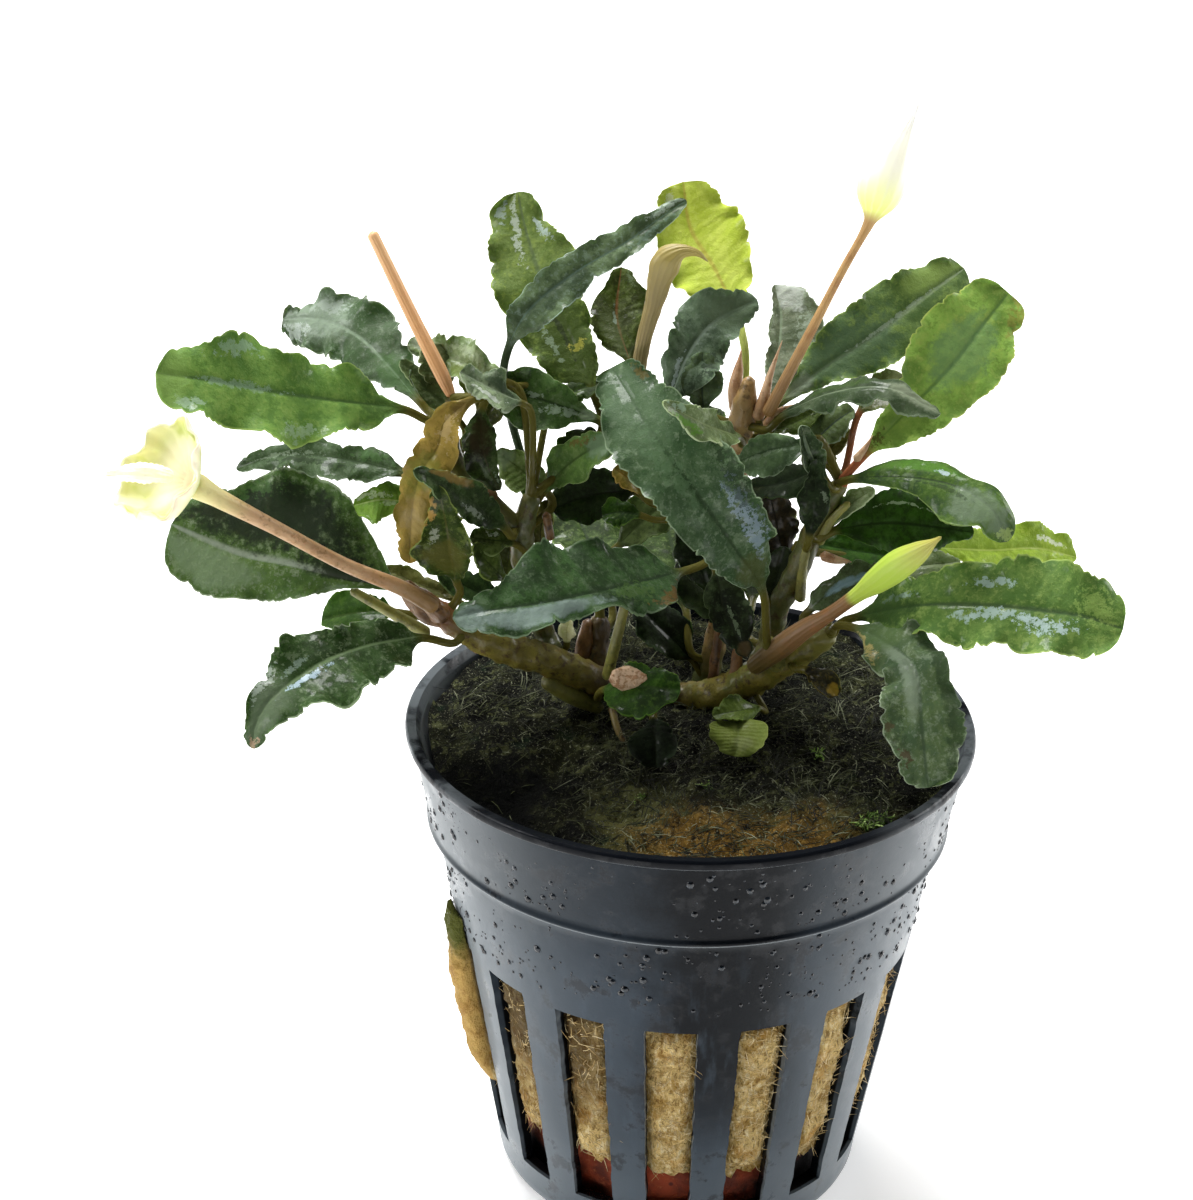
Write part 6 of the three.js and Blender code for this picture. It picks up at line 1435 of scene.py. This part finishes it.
def pot_form():
    rows = pot_profile()
    angles, slots = pot_angles()
    columns = len(angles)
    outer = np.zeros((len(rows), columns, 3))
    inner = np.zeros_like(outer)
    edge_columns = np.arange(columns) % (CELLS_PER_SLOT + CELLS_PER_BAR)
    at_edge = (edge_columns == 0) | (edge_columns == CELLS_PER_SLOT)
    for r, (out_r, out_z, in_r, in_z, part) in enumerate(rows):
        ragged = np.zeros(columns)
        if part == "wall" and SLOT_FOOT_Z <= out_z <= SLOT_TOP_Z:
            for c in np.flatnonzero(at_edge):
                spot = Vector((0.55 * out_z, 3.1 * c, 0))
                ragged[c] = 0.5 * noise.noise(spot) + 0.22 * noise.noise(spot * 3.7)
        turn = np.radians(angles + ragged)
        outer[r] = turned(out_r, turn, out_z)
        inner[r] = turned(in_r, turn, in_z)
    kept = np.ones((len(rows) - 1, columns), bool)
    for r, (low, high) in enumerate(zip(rows, rows[1:])):
        if low[4] == "wall" and low[1] >= SLOT_FOOT_Z - HAIR and high[1] <= SLOT_TOP_Z + HAIR:
            kept[r] = slots < 0
        if low[4] == "base" and low[0] >= BASE_SLOT_INNER - HAIR and high[0] <= BASE_SLOT_OUTER + HAIR:
            kept[r] = (slots < 0) | (slots % 2 == 1)
    return shell_with_holes(outer, inner, kept)


def shell_with_holes(outer, inner, kept):
    """Both walls of a pot, the cells left out closed at their edges, and one face over each hub."""
    rows, columns = outer.shape[:2]
    count = rows * columns
    number = np.arange(count).reshape(rows, columns)
    faces = []
    for r in range(rows - 1):
        for c in range(columns):
            if not kept[r, c]:
                continue
            n = (c + 1) % columns
            a, b, d, e = (int(number[i]) for i in ((r, c), (r, n), (r + 1, n), (r + 1, c)))
            faces.append([a, b, d, e])
            faces.append([a + count, e + count, d + count, b + count])
            if not kept[r, n]:
                faces.append([b, b + count, d + count, d])
            if not kept[r, c - 1]:
                faces.append([e, e + count, a + count, a])
            if r and not kept[r - 1, c]:
                faces.append([a, a + count, b + count, b])
            if r == rows - 2 or not kept[r + 1, c]:
                faces.append([d, d + count, e + count, e])
    hub = number[0].tolist()
    faces.append(hub[::-1])
    faces.append([i + count for i in hub])
    return np.vstack([outer.reshape(-1, 3), inner.reshape(-1, 3)]), faces


pot = pot_form()
print("pot of", len(pot[1]), "faces")

# %% [markdown]
# ## Finish of the pot
#
# Dark blue-grey plastic with a satin skin, wet and a little dusty. It is nearly black where one looks
# straight at it. Its flanks are painted lighter by a facing mask, a painted reflection of the bright room,
# and the left and right of the rim get a painted reflection too. The foot is painted lighter, a painted
# reflection of the pale floor, and the inside of the wall is painted near black as painted shade. Water
# has dried to faint streaks, and a bloom of lime and algae sits in patches.

# %% Pot finish
def pot_finish():
    finish = Finish("pot_plastic")
    place = finish.place()
    x, y, z = [part * 1000 for part in finish.parts(place)]
    dust_and_reflection_noise = finish.clouds(5, 5, 0.6)
    grain = finish.clouds(0.3, 3)
    streaks = finish.clouds(1.1, 4, at=place * (1.0, 1.0, 0.2))
    smears = finish.clouds(3.0, 5, 0.7)
    painted_flank_reflection = finish.node("LayerWeight", None, {"Blend": 0.5}, output="Facing")
    skin = finish.blend("23292f", "353e47", (z + (dust_and_reflection_noise - 0.5) * 9).between(40, 27))
    skin = skin.mixed("2c3640", grain.between(0.55, 0.75) * 0.35)
    # Painted reflection: the foot of the pot is painted lighter, for the pale floor that it mirrors.
    skin = skin.mixed("5a646c", (z + (dust_and_reflection_noise - 0.5) * 6).between(15, 4) * 0.6)
    wet = (x + (dust_and_reflection_noise - 0.5) * 8).between(-5, 1) * (12 - x).between(0, 5) * (z + dust_and_reflection_noise * 6).between(12, 24)
    skin = skin.mixed("05070b", wet * 0.95)
    skin = skin.mixed("48545f", streaks.between(0.5, 0.75) * z.between(38, 22) * 0.4)
    skin = skin.mixed("0a0e14", smears.between(0.54, 0.64) * 0.7)
    # Painted reflection: the flanks, seen at a slant, are painted lighter, as if they mirrored the bright
    # room.
    skin = skin.mixed("a4abae", painted_flank_reflection.between(0.26, 0.8) * 0.45)
    rim = z.between(43.9, 44.3)
    skin = skin.mixed("0a0d12", rim)
    # Painted reflection: the rim is painted lighter grey at its left and right.
    skin = skin.mixed("6c7276", rim * abs(x).between(14, 23) * dust_and_reflection_noise.between(0.38, 0.55) * 0.7)
    # Painted shade: the inside of the wall is painted near black.
    inside = 17.2 + z * 0.147 - (x * x + y * y).root()
    skin = skin.mixed("07090c", inside.between(0.8, 1.0))
    return finish.surface(
        Base_Color=skin,
        Roughness=0.3 + dust_and_reflection_noise * 0.2 + smears.between(0.45, 0.6) * -0.12,
        Normal=finish.bumps(grain * 0.3 + dust_and_reflection_noise * 0.8 + smears * 0.5, 0.05),
        Specular_IOR_Level=0.06,
        Coat_Weight=0.08 + smears.between(0.5, 0.6) * 0.15,
        Coat_Roughness=0.08,
    )


POT_CREASE = 35
add_piece("pot_shell", pot, pot_finish(), ["net_pot"], sharp_degrees=POT_CREASE)
print("pot dressed")

# %% [markdown]
# ## Water drops on the pot
#
# The pot has just been lifted out of the water, so small drops sit all over its collar, thickest at the
# flanks. A particle system could scatter them, but it would not survive an export. So each is a real flat
# dome of a few faces. They are seeded, so every run places them alike, and joined into one mesh.

# %% Water drops
def outer_radius(z):
    """Outer radius of the pot at a height, on its wall or its collar."""
    share = (z - COLLAR_FOOT_Z) / (POT_HEIGHT - LIP_HEIGHT - COLLAR_FOOT_Z)
    collar = COLLAR_FOOT_RADIUS + share * (COLLAR_RADIUS - COLLAR_FOOT_RADIUS)
    return np.where(z > COLLAR_FOOT_Z + 0.5, collar, body_radius(z))


DROP_LEVELS = (27.5, 43.6)


def drops_form(count=1400, rings=3, sides=7):
    """Domes of all sizes, most of them small. None sits on the step of the collar."""
    random.seed(11)
    angles = np.linspace(0, 2 * math.pi, sides, endpoint=False)
    rise = np.array([0.0, 0.0, 1.0])
    forms = []
    while len(forms) < count:
        turn = random.uniform(0, 2 * math.pi)
        z = random.uniform(*DROP_LEVELS)
        out = np.array([math.cos(turn), math.sin(turn), 0.0])
        crowd = noise.noise(Vector((3 * out[0], 3 * out[1], z * 0.25))) + 0.25 * abs(out[0])
        if random.random() > 0.35 + crowd or abs(z - COLLAR_FOOT_Z - 0.6) < 0.9:
            continue
        size = 0.1 + 0.3 * random.random() ** 3.5
        radius = float(outer_radius(z))
        side = np.array([-math.sin(turn), math.cos(turn), 0.0])
        squash = random.uniform(0.85, 1.2)
        around = side * np.cos(angles)[:, None] + squash * rise * np.sin(angles)[:, None]
        dome = []
        for lift in np.linspace(-0.3, 1.45, rings):
            wide, high = size * math.cos(lift), 0.5 * size * math.sin(lift)
            dome.append(out * (radius + high) + rise * z + wide * around)
        forms.append(skin(np.array(dome), np.linspace(0, 1, rings)))
    return joined(*forms)


def drops_finish():
    finish = Finish("water_drop")
    speck = finish.clouds(0.5, 2)
    return finish.surface(
        Base_Color=finish.blend("05070a", "1c242c", speck.between(0.4, 0.6)),
        Roughness=0.06 + speck * 0.04,
        Specular_IOR_Level=0.5,
    )


drops = drops_form()
add_piece("drops_on_pot", drops, drops_finish())
print("water drops of", len(drops[1]), "faces")

# %% [markdown]
# ## Rock wool and moss
#
# The plug fills the pot up to a few millimetres below the rim. Its top has grown over with dark, wet moss
# and algae, amber where fresh fibre shows at the front. Its side, seen through the slots, is tan fibre,
# brown with wet at the left. It is a body of revolution pushed about by fractal noise. A strip of it has
# worked out through a slot on the left.

# %% Rock wool form
WOOL_TOP_Z = 44.6
WOOL_FALL = 0.17
WOOL_FOOT_Z = 8
WOOL_FOOT_RADIUS = 13.5
WOOL_GAP = 0.45
WOOL_BULGE = 0.95
WOOL_TOP_RADIUS = 21.5
STRIP_SLOT = 13
STRIP_HALF_ANGLE = 5
STRIP_ROOT_RADIUS = 15
STRIP_SIDE = 0.9
STRIP_SWELL = 0.2
STRIP_REACH = ((10.6, 18.3), (12.6, 19.7), (15, 20.4), (20, 21.3), (23.5, 21.9), (25.3, 21.9), (27.6, 22.2),
               (28.9, 21.8))


def rough(points, size, depth, octaves=4, seed=0.0):
    """Fractal noise at some points, for patches of about this size."""
    shift = Vector((seed, seed, seed))
    return np.array([depth * noise.fractal(Vector(p) / size + shift, 0.9, 2.1, octaves) for p in points])


def wool_top(x, y):
    """Height of the mossy top. It falls towards the front, with a dip at the left there."""
    broad = 0.4 * np.sin(0.55 * x + 1.1) * np.cos(0.47 * y - 0.6)
    lumps = broad + 0.2 * np.sin(1.1 * x - 0.8 * y)
    slope = WOOL_FALL * np.maximum(0, 3 - y)
    dip = 1.2 * np.exp(-((x + 13) ** 2 + (y + 12) ** 2) / 30)
    edge = np.maximum(0, np.hypot(x, y) / 22 - 0.82)
    return WOOL_TOP_Z + lumps - slope - dip - 5 * edge


def slot_share(turn, z):
    """1 in the middle of a slot of the pot, 0 behind its bars, for some angles and heights."""
    pitch = 360 / SLOT_COUNT
    offset = (np.degrees(turn) - FIRST_SLOT_ANGLE + pitch / 2) % pitch - pitch / 2
    level = soft_step(z, WOOL_FOOT_Z - 1, WOOL_FOOT_Z + 2)
    level = level * soft_step(-z, -SLOT_TOP_Z - 0.3, -SLOT_TOP_Z + 2)
    return soft_step(SLOT_HALF_ANGLE - np.abs(offset), -0.4, 2.2) * level


def foot_tilt(x):
    """The wool has sunk lower on the right, where the clay shows less."""
    return -0.12 * np.asarray(x)


def wool_form(columns=256):
    turn = np.linspace(0, 2 * np.pi, columns, endpoint=False)
    edge_z = wool_top(WOOL_TOP_RADIUS * np.cos(turn), WOOL_TOP_RADIUS * np.sin(turn))
    edge_radius = room_at(edge_z) - WOOL_GAP
    foot = np.linspace(1, WOOL_FOOT_RADIUS, 6)[:, None] + 0 * turn
    ragged = 0.35 * np.sin(61 * turn) + 0.3 * np.sin(97 * turn + 1) + 0.2 * np.sin(37 * turn + 2)
    foot_z = WOOL_FOOT_Z + foot_tilt(16 * np.cos(turn)) + ragged
    side_z = foot_z + np.linspace(0, 1, 84)[:, None] * (edge_z - foot_z)
    top = np.linspace(0.985, 0.01, 72)[:, None] * edge_radius
    top_z = wool_top(top * np.cos(turn), top * np.sin(turn))
    bulge = WOOL_BULGE * slot_share(turn, side_z)
    radii = np.vstack([foot, room_at(side_z) - WOOL_GAP + bulge, top])
    heights = np.vstack([WOOL_FOOT_Z + (foot_z - WOOL_FOOT_Z) * foot / WOOL_FOOT_RADIUS, side_z, top_z])
    points = turned(radii, turn, heights)
    flat = points.reshape(-1, 3)
    bump = (rough(flat, 3.2, 0.36) + rough(flat, 0.9, 0.22, 3, 7)).reshape(radii.shape)
    on_top = soft_step(heights, edge_z - 0.8, edge_z)
    on_top[:len(foot)] = 0
    out = points[..., :2] / np.maximum(radii, 0.3)[..., None]
    points[..., :2] += out * (np.minimum(bump, 0.3) * (1 - on_top))[..., None] * 1.1
    points[..., 2] += bump * 1.7 * on_top
    return skin(points, np.linspace(0, 1, len(radii)))


def strip_form(columns=40, rows=90):
    middle = FIRST_SLOT_ANGLE + 360 * STRIP_SLOT / SLOT_COUNT
    levels, reaches = np.array(STRIP_REACH).T
    z = np.linspace(levels[0], levels[-1], rows)
    reach = np.interp(z, levels, reaches)
    turn = np.linspace(0, 2 * np.pi, columns, endpoint=False)
    bulge = np.cos(turn)
    offset = STRIP_HALF_ANGLE * np.sign(np.sin(turn)) * np.abs(np.sin(turn)) ** 0.7
    swell = (STRIP_SIDE + STRIP_SWELL) * bulge
    radius = np.where(bulge > 0, reach[:, None] - STRIP_SIDE + swell, STRIP_ROOT_RADIUS)
    above = soft_step(z, 25.2, 26.2)[:, None]
    radius = np.maximum(radius, (body_radius(z) + 0.15)[:, None] * above)
    angle = np.radians(middle + offset)
    points = turned(radius, angle, z[:, None])
    flat = points.reshape(-1, 3)
    bump = (rough(flat, 1.8, 0.32, 4, 3) + rough(flat, 0.6, 0.1, 2, 9)).reshape(points.shape[:2])
    front = np.clip(bulge, 0, 1)[None, :]
    out = np.stack([np.cos(angle), np.sin(angle)], -1)
    points[..., :2] += out * (bump * front)[..., None]
    return skin(points, np.linspace(0, 1, rows))


wool = joined(wool_form(), strip_form())
print("rock wool of", len(wool[1]), "faces")

# %% [markdown]
# ## Finish of the rock wool
#
# One finish serves the whole plug, because its parts run into each other: moss above a ragged line near the
# top, tan fibre below it, and the bare strip wherever the surface stands out of the slots. Masks made of
# the place of a point, pushed about by soft noise, choose between them.

# %% Rock wool finish
def wool_finish():
    finish = Finish("mossy_wool")
    place = finish.place()
    x, y, z = [part * 1000 for part in finish.parts(place)]
    wide = finish.clouds(7, 4, 0.6)
    small = finish.clouds(1.3, 5, 0.7)
    fibre = finish.clouds(0.5, 5, 0.75, at=place * (1.0, 1.0, 0.45))
    speck = finish.clouds(0.2, 2, 0.6)

    tan = finish.blend("e6c884", "b89450", finish.clouds(2.2, 5, 0.65).between(0.42, 0.62))
    tan = tan.mixed("f8e8b8", fibre.between(0.52, 0.6) * 0.75)
    tan = tan.mixed("74501f", fibre.between(0.46, 0.38) * 0.75)
    tan = tan.mixed("c48a34", finish.clouds(3.2, 3).between(0.54, 0.66) * 0.5)
    wet = (x * -1.0 + (wide - 0.5) * 6).between(1, 9) * (z + wide * 8).between(14, 24)
    tan = tan.mixed("3a2814", wet * 0.85)
    tan = tan.mixed("3a2a14", (z + (small - 0.5) * 5).between(24.2, 26.6) * 0.9)

    moss = finish.blend("14150e", "2c2e1a", wide.between(0.4, 0.62))
    moss = moss.mixed("646844", small.between(0.52, 0.6) * 0.8)
    moss = moss.mixed("16301c", finish.clouds(4.0, 3).between(0.58, 0.7) * 0.6)
    # Near-black pits: painted shade in the hollows of the moss.
    moss = moss.mixed("060704", finish.clouds(2.4, 6, 0.72).between(0.5, 0.56) * 0.9)
    front = (y + 11 + (small - 0.5) * 9).between(3, -3) * (x + 8 + (wide - 0.5) * 8).between(-3, 3)
    moss = moss.mixed("605c30", front * small.between(0.4, 0.52) * 0.85)
    amber = (x + (wide - 0.5) * 12).between(-7, 0) * (14.0 - x).between(-4, 4)
    amber = amber * (y + 12.5 + (small - 0.5) * 9).between(2.5, -2)
    moss = moss.mixed("6e4e1a", amber * small.between(0.38, 0.5) * 0.8)
    moss = moss.mixed("a88440", amber * fibre.between(0.5, 0.58) * 0.6)
    paler = (x + 4.5).between(4, 0.5) * (x + 4.5).between(-5, -1)
    paler = paler * (y + 11).between(4, 0.5) * (y + 11).between(-5, -1)
    moss = moss.mixed("76784a", paler * small.between(0.36, 0.5) * 0.7)
    moss = moss.mixed("b4b698", speck.between(0.6, 0.68) * 0.6)
    # Painted shade: the dip at the front left, behind the rim, is painted near black.
    hollow_shade = (x + 11 + (wide - 0.5) * 12).between(4, -2) * (y + 3 + (small - 0.5) * 5).between(0, -5)
    moss = moss.mixed("030403", hollow_shade * 0.96)
    top = (z + (small - 0.5) * 3).between(37.5, 39)
    strip = (finish.blend("d2ac62", "b48a48", small.between(0.45, 0.65))
             .mixed("5d6128", (z + (small - 0.5) * 4).between(23, 27)))
    outside = (x * x + y * y).root() - (16.7 + z * 0.1637)
    skin = tan.mixed(strip, outside.between(-0.2, 0.2))
    skin = skin.mixed(moss, top)
    return finish.surface(
        Base_Color=skin,
        Roughness=0.45 + small * 0.4,
        Normal=finish.bumps(small * 2 + speck * 0.8 + fibre * 2, 0.36),
        Specular_IOR_Level=0.1,
    )


add_piece("mossy_plug", wool, wool_finish(), ["rockwool_plug"])
print("rock wool dressed")

# %% [markdown]
# ## Moss threads and wool fibres
#
# Up close the top is a felt of fine moss threads, and rock wool is spun glass-like fibre. Bump alone gives
# neither an edge, so thousands of thin curved threads are laid down as real three-sided tubes: dark ones
# with a few pale tips over the moss, straw-coloured ones in the openings of the slots.

# %% Threads
UP = np.array([0.0, 0.0, 1.0])


def threads(feet, out, along, lengths, radius, seed, steps=4):
    """Tubes from some feet, that lean from `out` towards `along`, as one (vertices, faces, uv)."""
    rng = np.random.default_rng(seed)
    count = len(feet)
    share = np.linspace(0, 1, steps)[None, :, None]
    bend = rng.normal(0, 0.35, (count, 1, 3))
    course = out[:, None] * (share * (1 - 0.6 * share)) + along[:, None] * share + bend * share ** 2
    line = feet[:, None] + lengths[:, None, None] * course
    side = unit(np.cross(along, out))[:, None]
    over = unit(np.cross(side, along[:, None]))
    width = (radius * np.array([0.9, 1, 0.8, 0.25][:steps]))[None, :, None]
    corners = [line + width * (math.cos(a) * side + math.sin(a) * over) for a in (0.5, 2.6, 4.7)]
    vertices = np.stack(corners, 2).reshape(-1, 3)
    base = (np.arange(count) * steps * 3)[:, None]
    quads, rows, columns = ring_faces(steps, 3)
    faces = (base[:, :, None] + quads[None]).reshape(-1, 4)
    uv = np.stack([np.broadcast_to(rng.random(count)[:, None, None], (count, *rows.shape)),
                   np.broadcast_to(rows[None] / (steps - 1), (count, *rows.shape))], -1)
    return vertices, faces.tolist(), uv.reshape(-1, 2)


TUFTS = ((15.6, -12.4, 1.2), (14.8, -13, 0.9), (16.6, -11.4, 0.7), (1.6, -8.9, 0.8), (11.2, -3.8, 0.7),
         (-15.6, 9.4, 0.8), (-4, -10.2, 0.5))
MOSS_RADIUS = 21.6


def moss_threads(count=5000):
    rng = np.random.default_rng(5)
    radius = MOSS_RADIUS * np.sqrt(rng.random(count))
    turn = 2 * np.pi * rng.random(count)
    x, y = radius * np.cos(turn), radius * np.sin(turn)
    kept = (x > -10 + rng.normal(0, 1.5, count)) | (y > -3 + rng.normal(0, 2, count))
    kept = kept | (rng.random(count) < 0.06)
    x, y, count = x[kept], y[kept], int(kept.sum())
    feet = np.stack([x, y, wool_top(x, y) + 0.1], -1)
    drift = 1.1 * np.sin(0.5 * x + 0.3 * y) + 0.9 * np.sin(0.45 * y) + rng.normal(0, 0.8, count)
    along = turned(1, drift, 0)
    out = UP * rng.uniform(0.2, 0.9, (count, 1))
    return threads(feet, out, along, rng.uniform(0.8, 2.2, count), radius=0.045, seed=6)


def slot_fibres(count=4200):
    rng = np.random.default_rng(8)
    slot = rng.integers(0, SLOT_COUNT, count)
    turn = np.radians(FIRST_SLOT_ANGLE + 360 / SLOT_COUNT * slot + rng.uniform(-7, 7, count))
    z = rng.uniform(WOOL_FOOT_Z + 0.4, SLOT_TOP_Z + 0.6, count) + foot_tilt(15 * np.cos(turn)) * 0.5
    radius = room_at(z) - WOOL_GAP + 0.1 + WOOL_BULGE * slot_share(turn, z)
    out = turned(1, turn, 0)
    feet = out * radius[:, None] + UP * z[:, None]
    slope = rng.normal(0, 1.1, count)
    side = np.stack([-np.sin(turn), np.cos(turn), 0 * turn], -1)
    along = side * np.cos(slope)[:, None] + UP * np.sin(slope)[:, None]
    return threads(feet, out * 0.25, along, rng.uniform(0.5, 1.4, count), radius=0.032, seed=9)


def thread_finish(name, first, second, pale, dark):
    finish = Finish(name)
    own, along = finish.uv_map()
    wide = finish.clouds(3, 3)
    skin = finish.blend(first, second, own.between(0.2, 0.7))
    skin = skin.mixed(pale, own.between(0.82, 0.9) * along)
    skin = skin.mixed(dark, wide.between(0.45, 0.62) * 0.8)
    return finish.surface(Base_Color=skin, Roughness=0.55, Specular_IOR_Level=0.25)


def moss_tufts(strands=26):
    """Bright green sprigs at a few places on the moss."""
    rng = np.random.default_rng(12)
    places = np.repeat(TUFTS, strands, axis=0)
    x, y, size = places.T
    x = x + rng.normal(0, 0.35, len(x)) * size
    y = y + rng.normal(0, 0.35, len(x)) * size
    turn = rng.uniform(0, 2 * np.pi, len(x))
    feet = np.stack([x, y, wool_top(x, y) + 0.1], -1)
    along = turned(1, turn, 0)
    out = UP + 0 * feet
    return threads(feet, out, along * 0.5, rng.uniform(0.5, 1.1, len(x)) * size, radius=0.11, seed=13)


for name, slot, form, tones in (
    ("moss_threads", "wool", moss_threads(), ("1c1e14", "4a5030", "b4b898", "060704")),
    ("moss_tufts", "leaf_green", moss_tufts(), ("6c8c3c", "94b45c", "c4d890", "3c5420")),
    ("wool_fibres", "wool", slot_fibres(), ("ccae70", "e6d09c", "fbf0cc", "8c6a34")),
):
    add_piece(name, form, thread_finish(name.rstrip("s") + "_skin", *tones))
    print(name, "of", len(form[1]), "faces")

# %% [markdown]
# ## Clay weight
#
# A ring of fired clay in the foot of the pot keeps it down under water. It shows rust-red at the foot of
# the slots. Its surface is coarse, with a few dark pits. Only its flank is seen, through the slots, so a
# turned profile pushed about by noise is enough.

# %% Clay weight
CLAY_TOP_Z = 7.5
CLAY_RADIUS = 15.1


def clay_form(columns=160):
    turn = np.linspace(0, 2 * np.pi, columns, endpoint=False)
    foot = BASE_THICKNESS + 0.3
    profile = [(r, foot) for r in np.linspace(0.4, CLAY_RADIUS - 1.0, 8)]
    profile += [(CLAY_RADIUS, z) for z in np.linspace(foot + 1.2, CLAY_TOP_Z - 0.8, 14)]
    profile += [(r, CLAY_TOP_Z) for r in np.linspace(CLAY_RADIUS - 0.8, 0.4, 20)]
    radius, z = np.array(profile).T
    points = turned(radius[:, None], turn, z[:, None])
    flat = points.reshape(-1, 3)
    points[..., 2] += foot_tilt(points[..., 0]) * soft_step(z, 4, CLAY_TOP_Z - 0.8)[:, None]
    bump = rough(flat, 1.6, 0.12, 4, 4).reshape(points.shape[:2])
    points[..., :2] *= (1 + bump / np.maximum(radius, 3)[:, None])[..., None]
    return skin(points, np.linspace(0, 1, len(profile)))


def clay_finish():
    finish = Finish("fired_clay")
    wide = finish.clouds(3, 4)
    grain = finish.clouds(0.5, 4, 0.7)
    skin = finish.blend("a8441e", "6a2a14", wide.between(0.4, 0.65))
    skin = skin.mixed("c46a3c", grain.between(0.55, 0.7) * 0.6)
    x, _, z = [part * 1000 for part in finish.parts(finish.place())]
    # Near black low down over the middle columns of the ring, with ragged edges.
    near_black_patch = (abs(x + 1) + (wide - 0.5) * 8).between(5, 9) * (z + (wide - 0.5) * 6).between(6.5, 4.5)
    skin = skin.mixed("0e0808", near_black_patch.larger(finish.cells(1.4).between(0.22, 0.1) * 0.7))
    relief = finish.bumps(grain + wide, 0.15)
    return finish.surface(Base_Color=skin, Roughness=0.6 + grain * 0.3, Normal=relief)


clay = clay_form()
add_piece("clay_ring", clay, clay_finish(), ["clay_weight"])
print("clay weight of", len(clay[1]), "faces")

# %% [markdown]
# ## Scrap of dead leaf
#
# A beige scrap of dead leaf lies on the small round leaf in front. Its outline is a row of points as they
# appear in the photograph. Smaller copies of the outline, raised towards the middle, give a low cushion.

# %% Scrap
SCRAP = [(-7.2, 48.1), (-6.9, 49), (-5.9, 49.6), (-4.8, 49.3), (-3.9, 48.8), (-3.8, 48.3), (-4.6, 47.5),
         (-5.8, 47), (-6.8, 47.4)]
SCRAP_DEPTH = -4.9
SCRAP_FACE = np.array([0, -0.5, 0.87])


def scrap_form(rows=14, columns=54):
    corners = np.array(SCRAP)
    middle = corners.mean(0)
    turn = np.linspace(0, len(SCRAP), columns, endpoint=False)
    closed = np.vstack([corners, corners[:1]])
    rim = np.stack([np.interp(turn, np.arange(len(closed)), closed[:, i]) for i in range(2)], -1)
    shares = np.concatenate([np.linspace(0.02, 1, rows), np.linspace(1, 0.02, rows)])
    rings = []
    for number, share in enumerate(shares):
        spot = middle + (rim - middle) * share
        lift = (0.25 if number < rows else -0.1) * math.sqrt(max(0, 1 - share ** 2)) + 0.15
        points = seen(np.stack([spot[:, 0], np.full(columns, SCRAP_DEPTH), spot[:, 1]], -1))
        bump = rough(points, 0.9, 0.22, 3, 5)
        rings.append(points + SCRAP_FACE * (lift + bump)[:, None])
    return skin(np.array(rings), np.linspace(0, 1, len(shares)), flip=True)


def scrap_finish():
    finish = Finish("dead_leaf")
    grain = finish.clouds(0.35, 3)
    skin = finish.blend("e3c3a0", "b98c66", grain.between(0.45, 0.62))
    skin = skin.mixed("8a5a3a", finish.cells(0.7).between(0.2, 0.08) * 0.6)
    return finish.surface(Base_Color=skin, Roughness=0.7, Normal=finish.bumps(grain, 0.1))


scrap = scrap_form()
add_piece("dead_scrap", scrap, scrap_finish(), ["leaf_scrap"])
print("scrap of", len(scrap[1]), "faces")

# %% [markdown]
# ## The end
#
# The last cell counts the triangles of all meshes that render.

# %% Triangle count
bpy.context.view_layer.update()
meshes = [o.data for o in scene.objects if o.type == "MESH" and not o.hide_render]
print(sum(len(face.vertices) - 2 for mesh in meshes for face in mesh.polygons), "triangles")
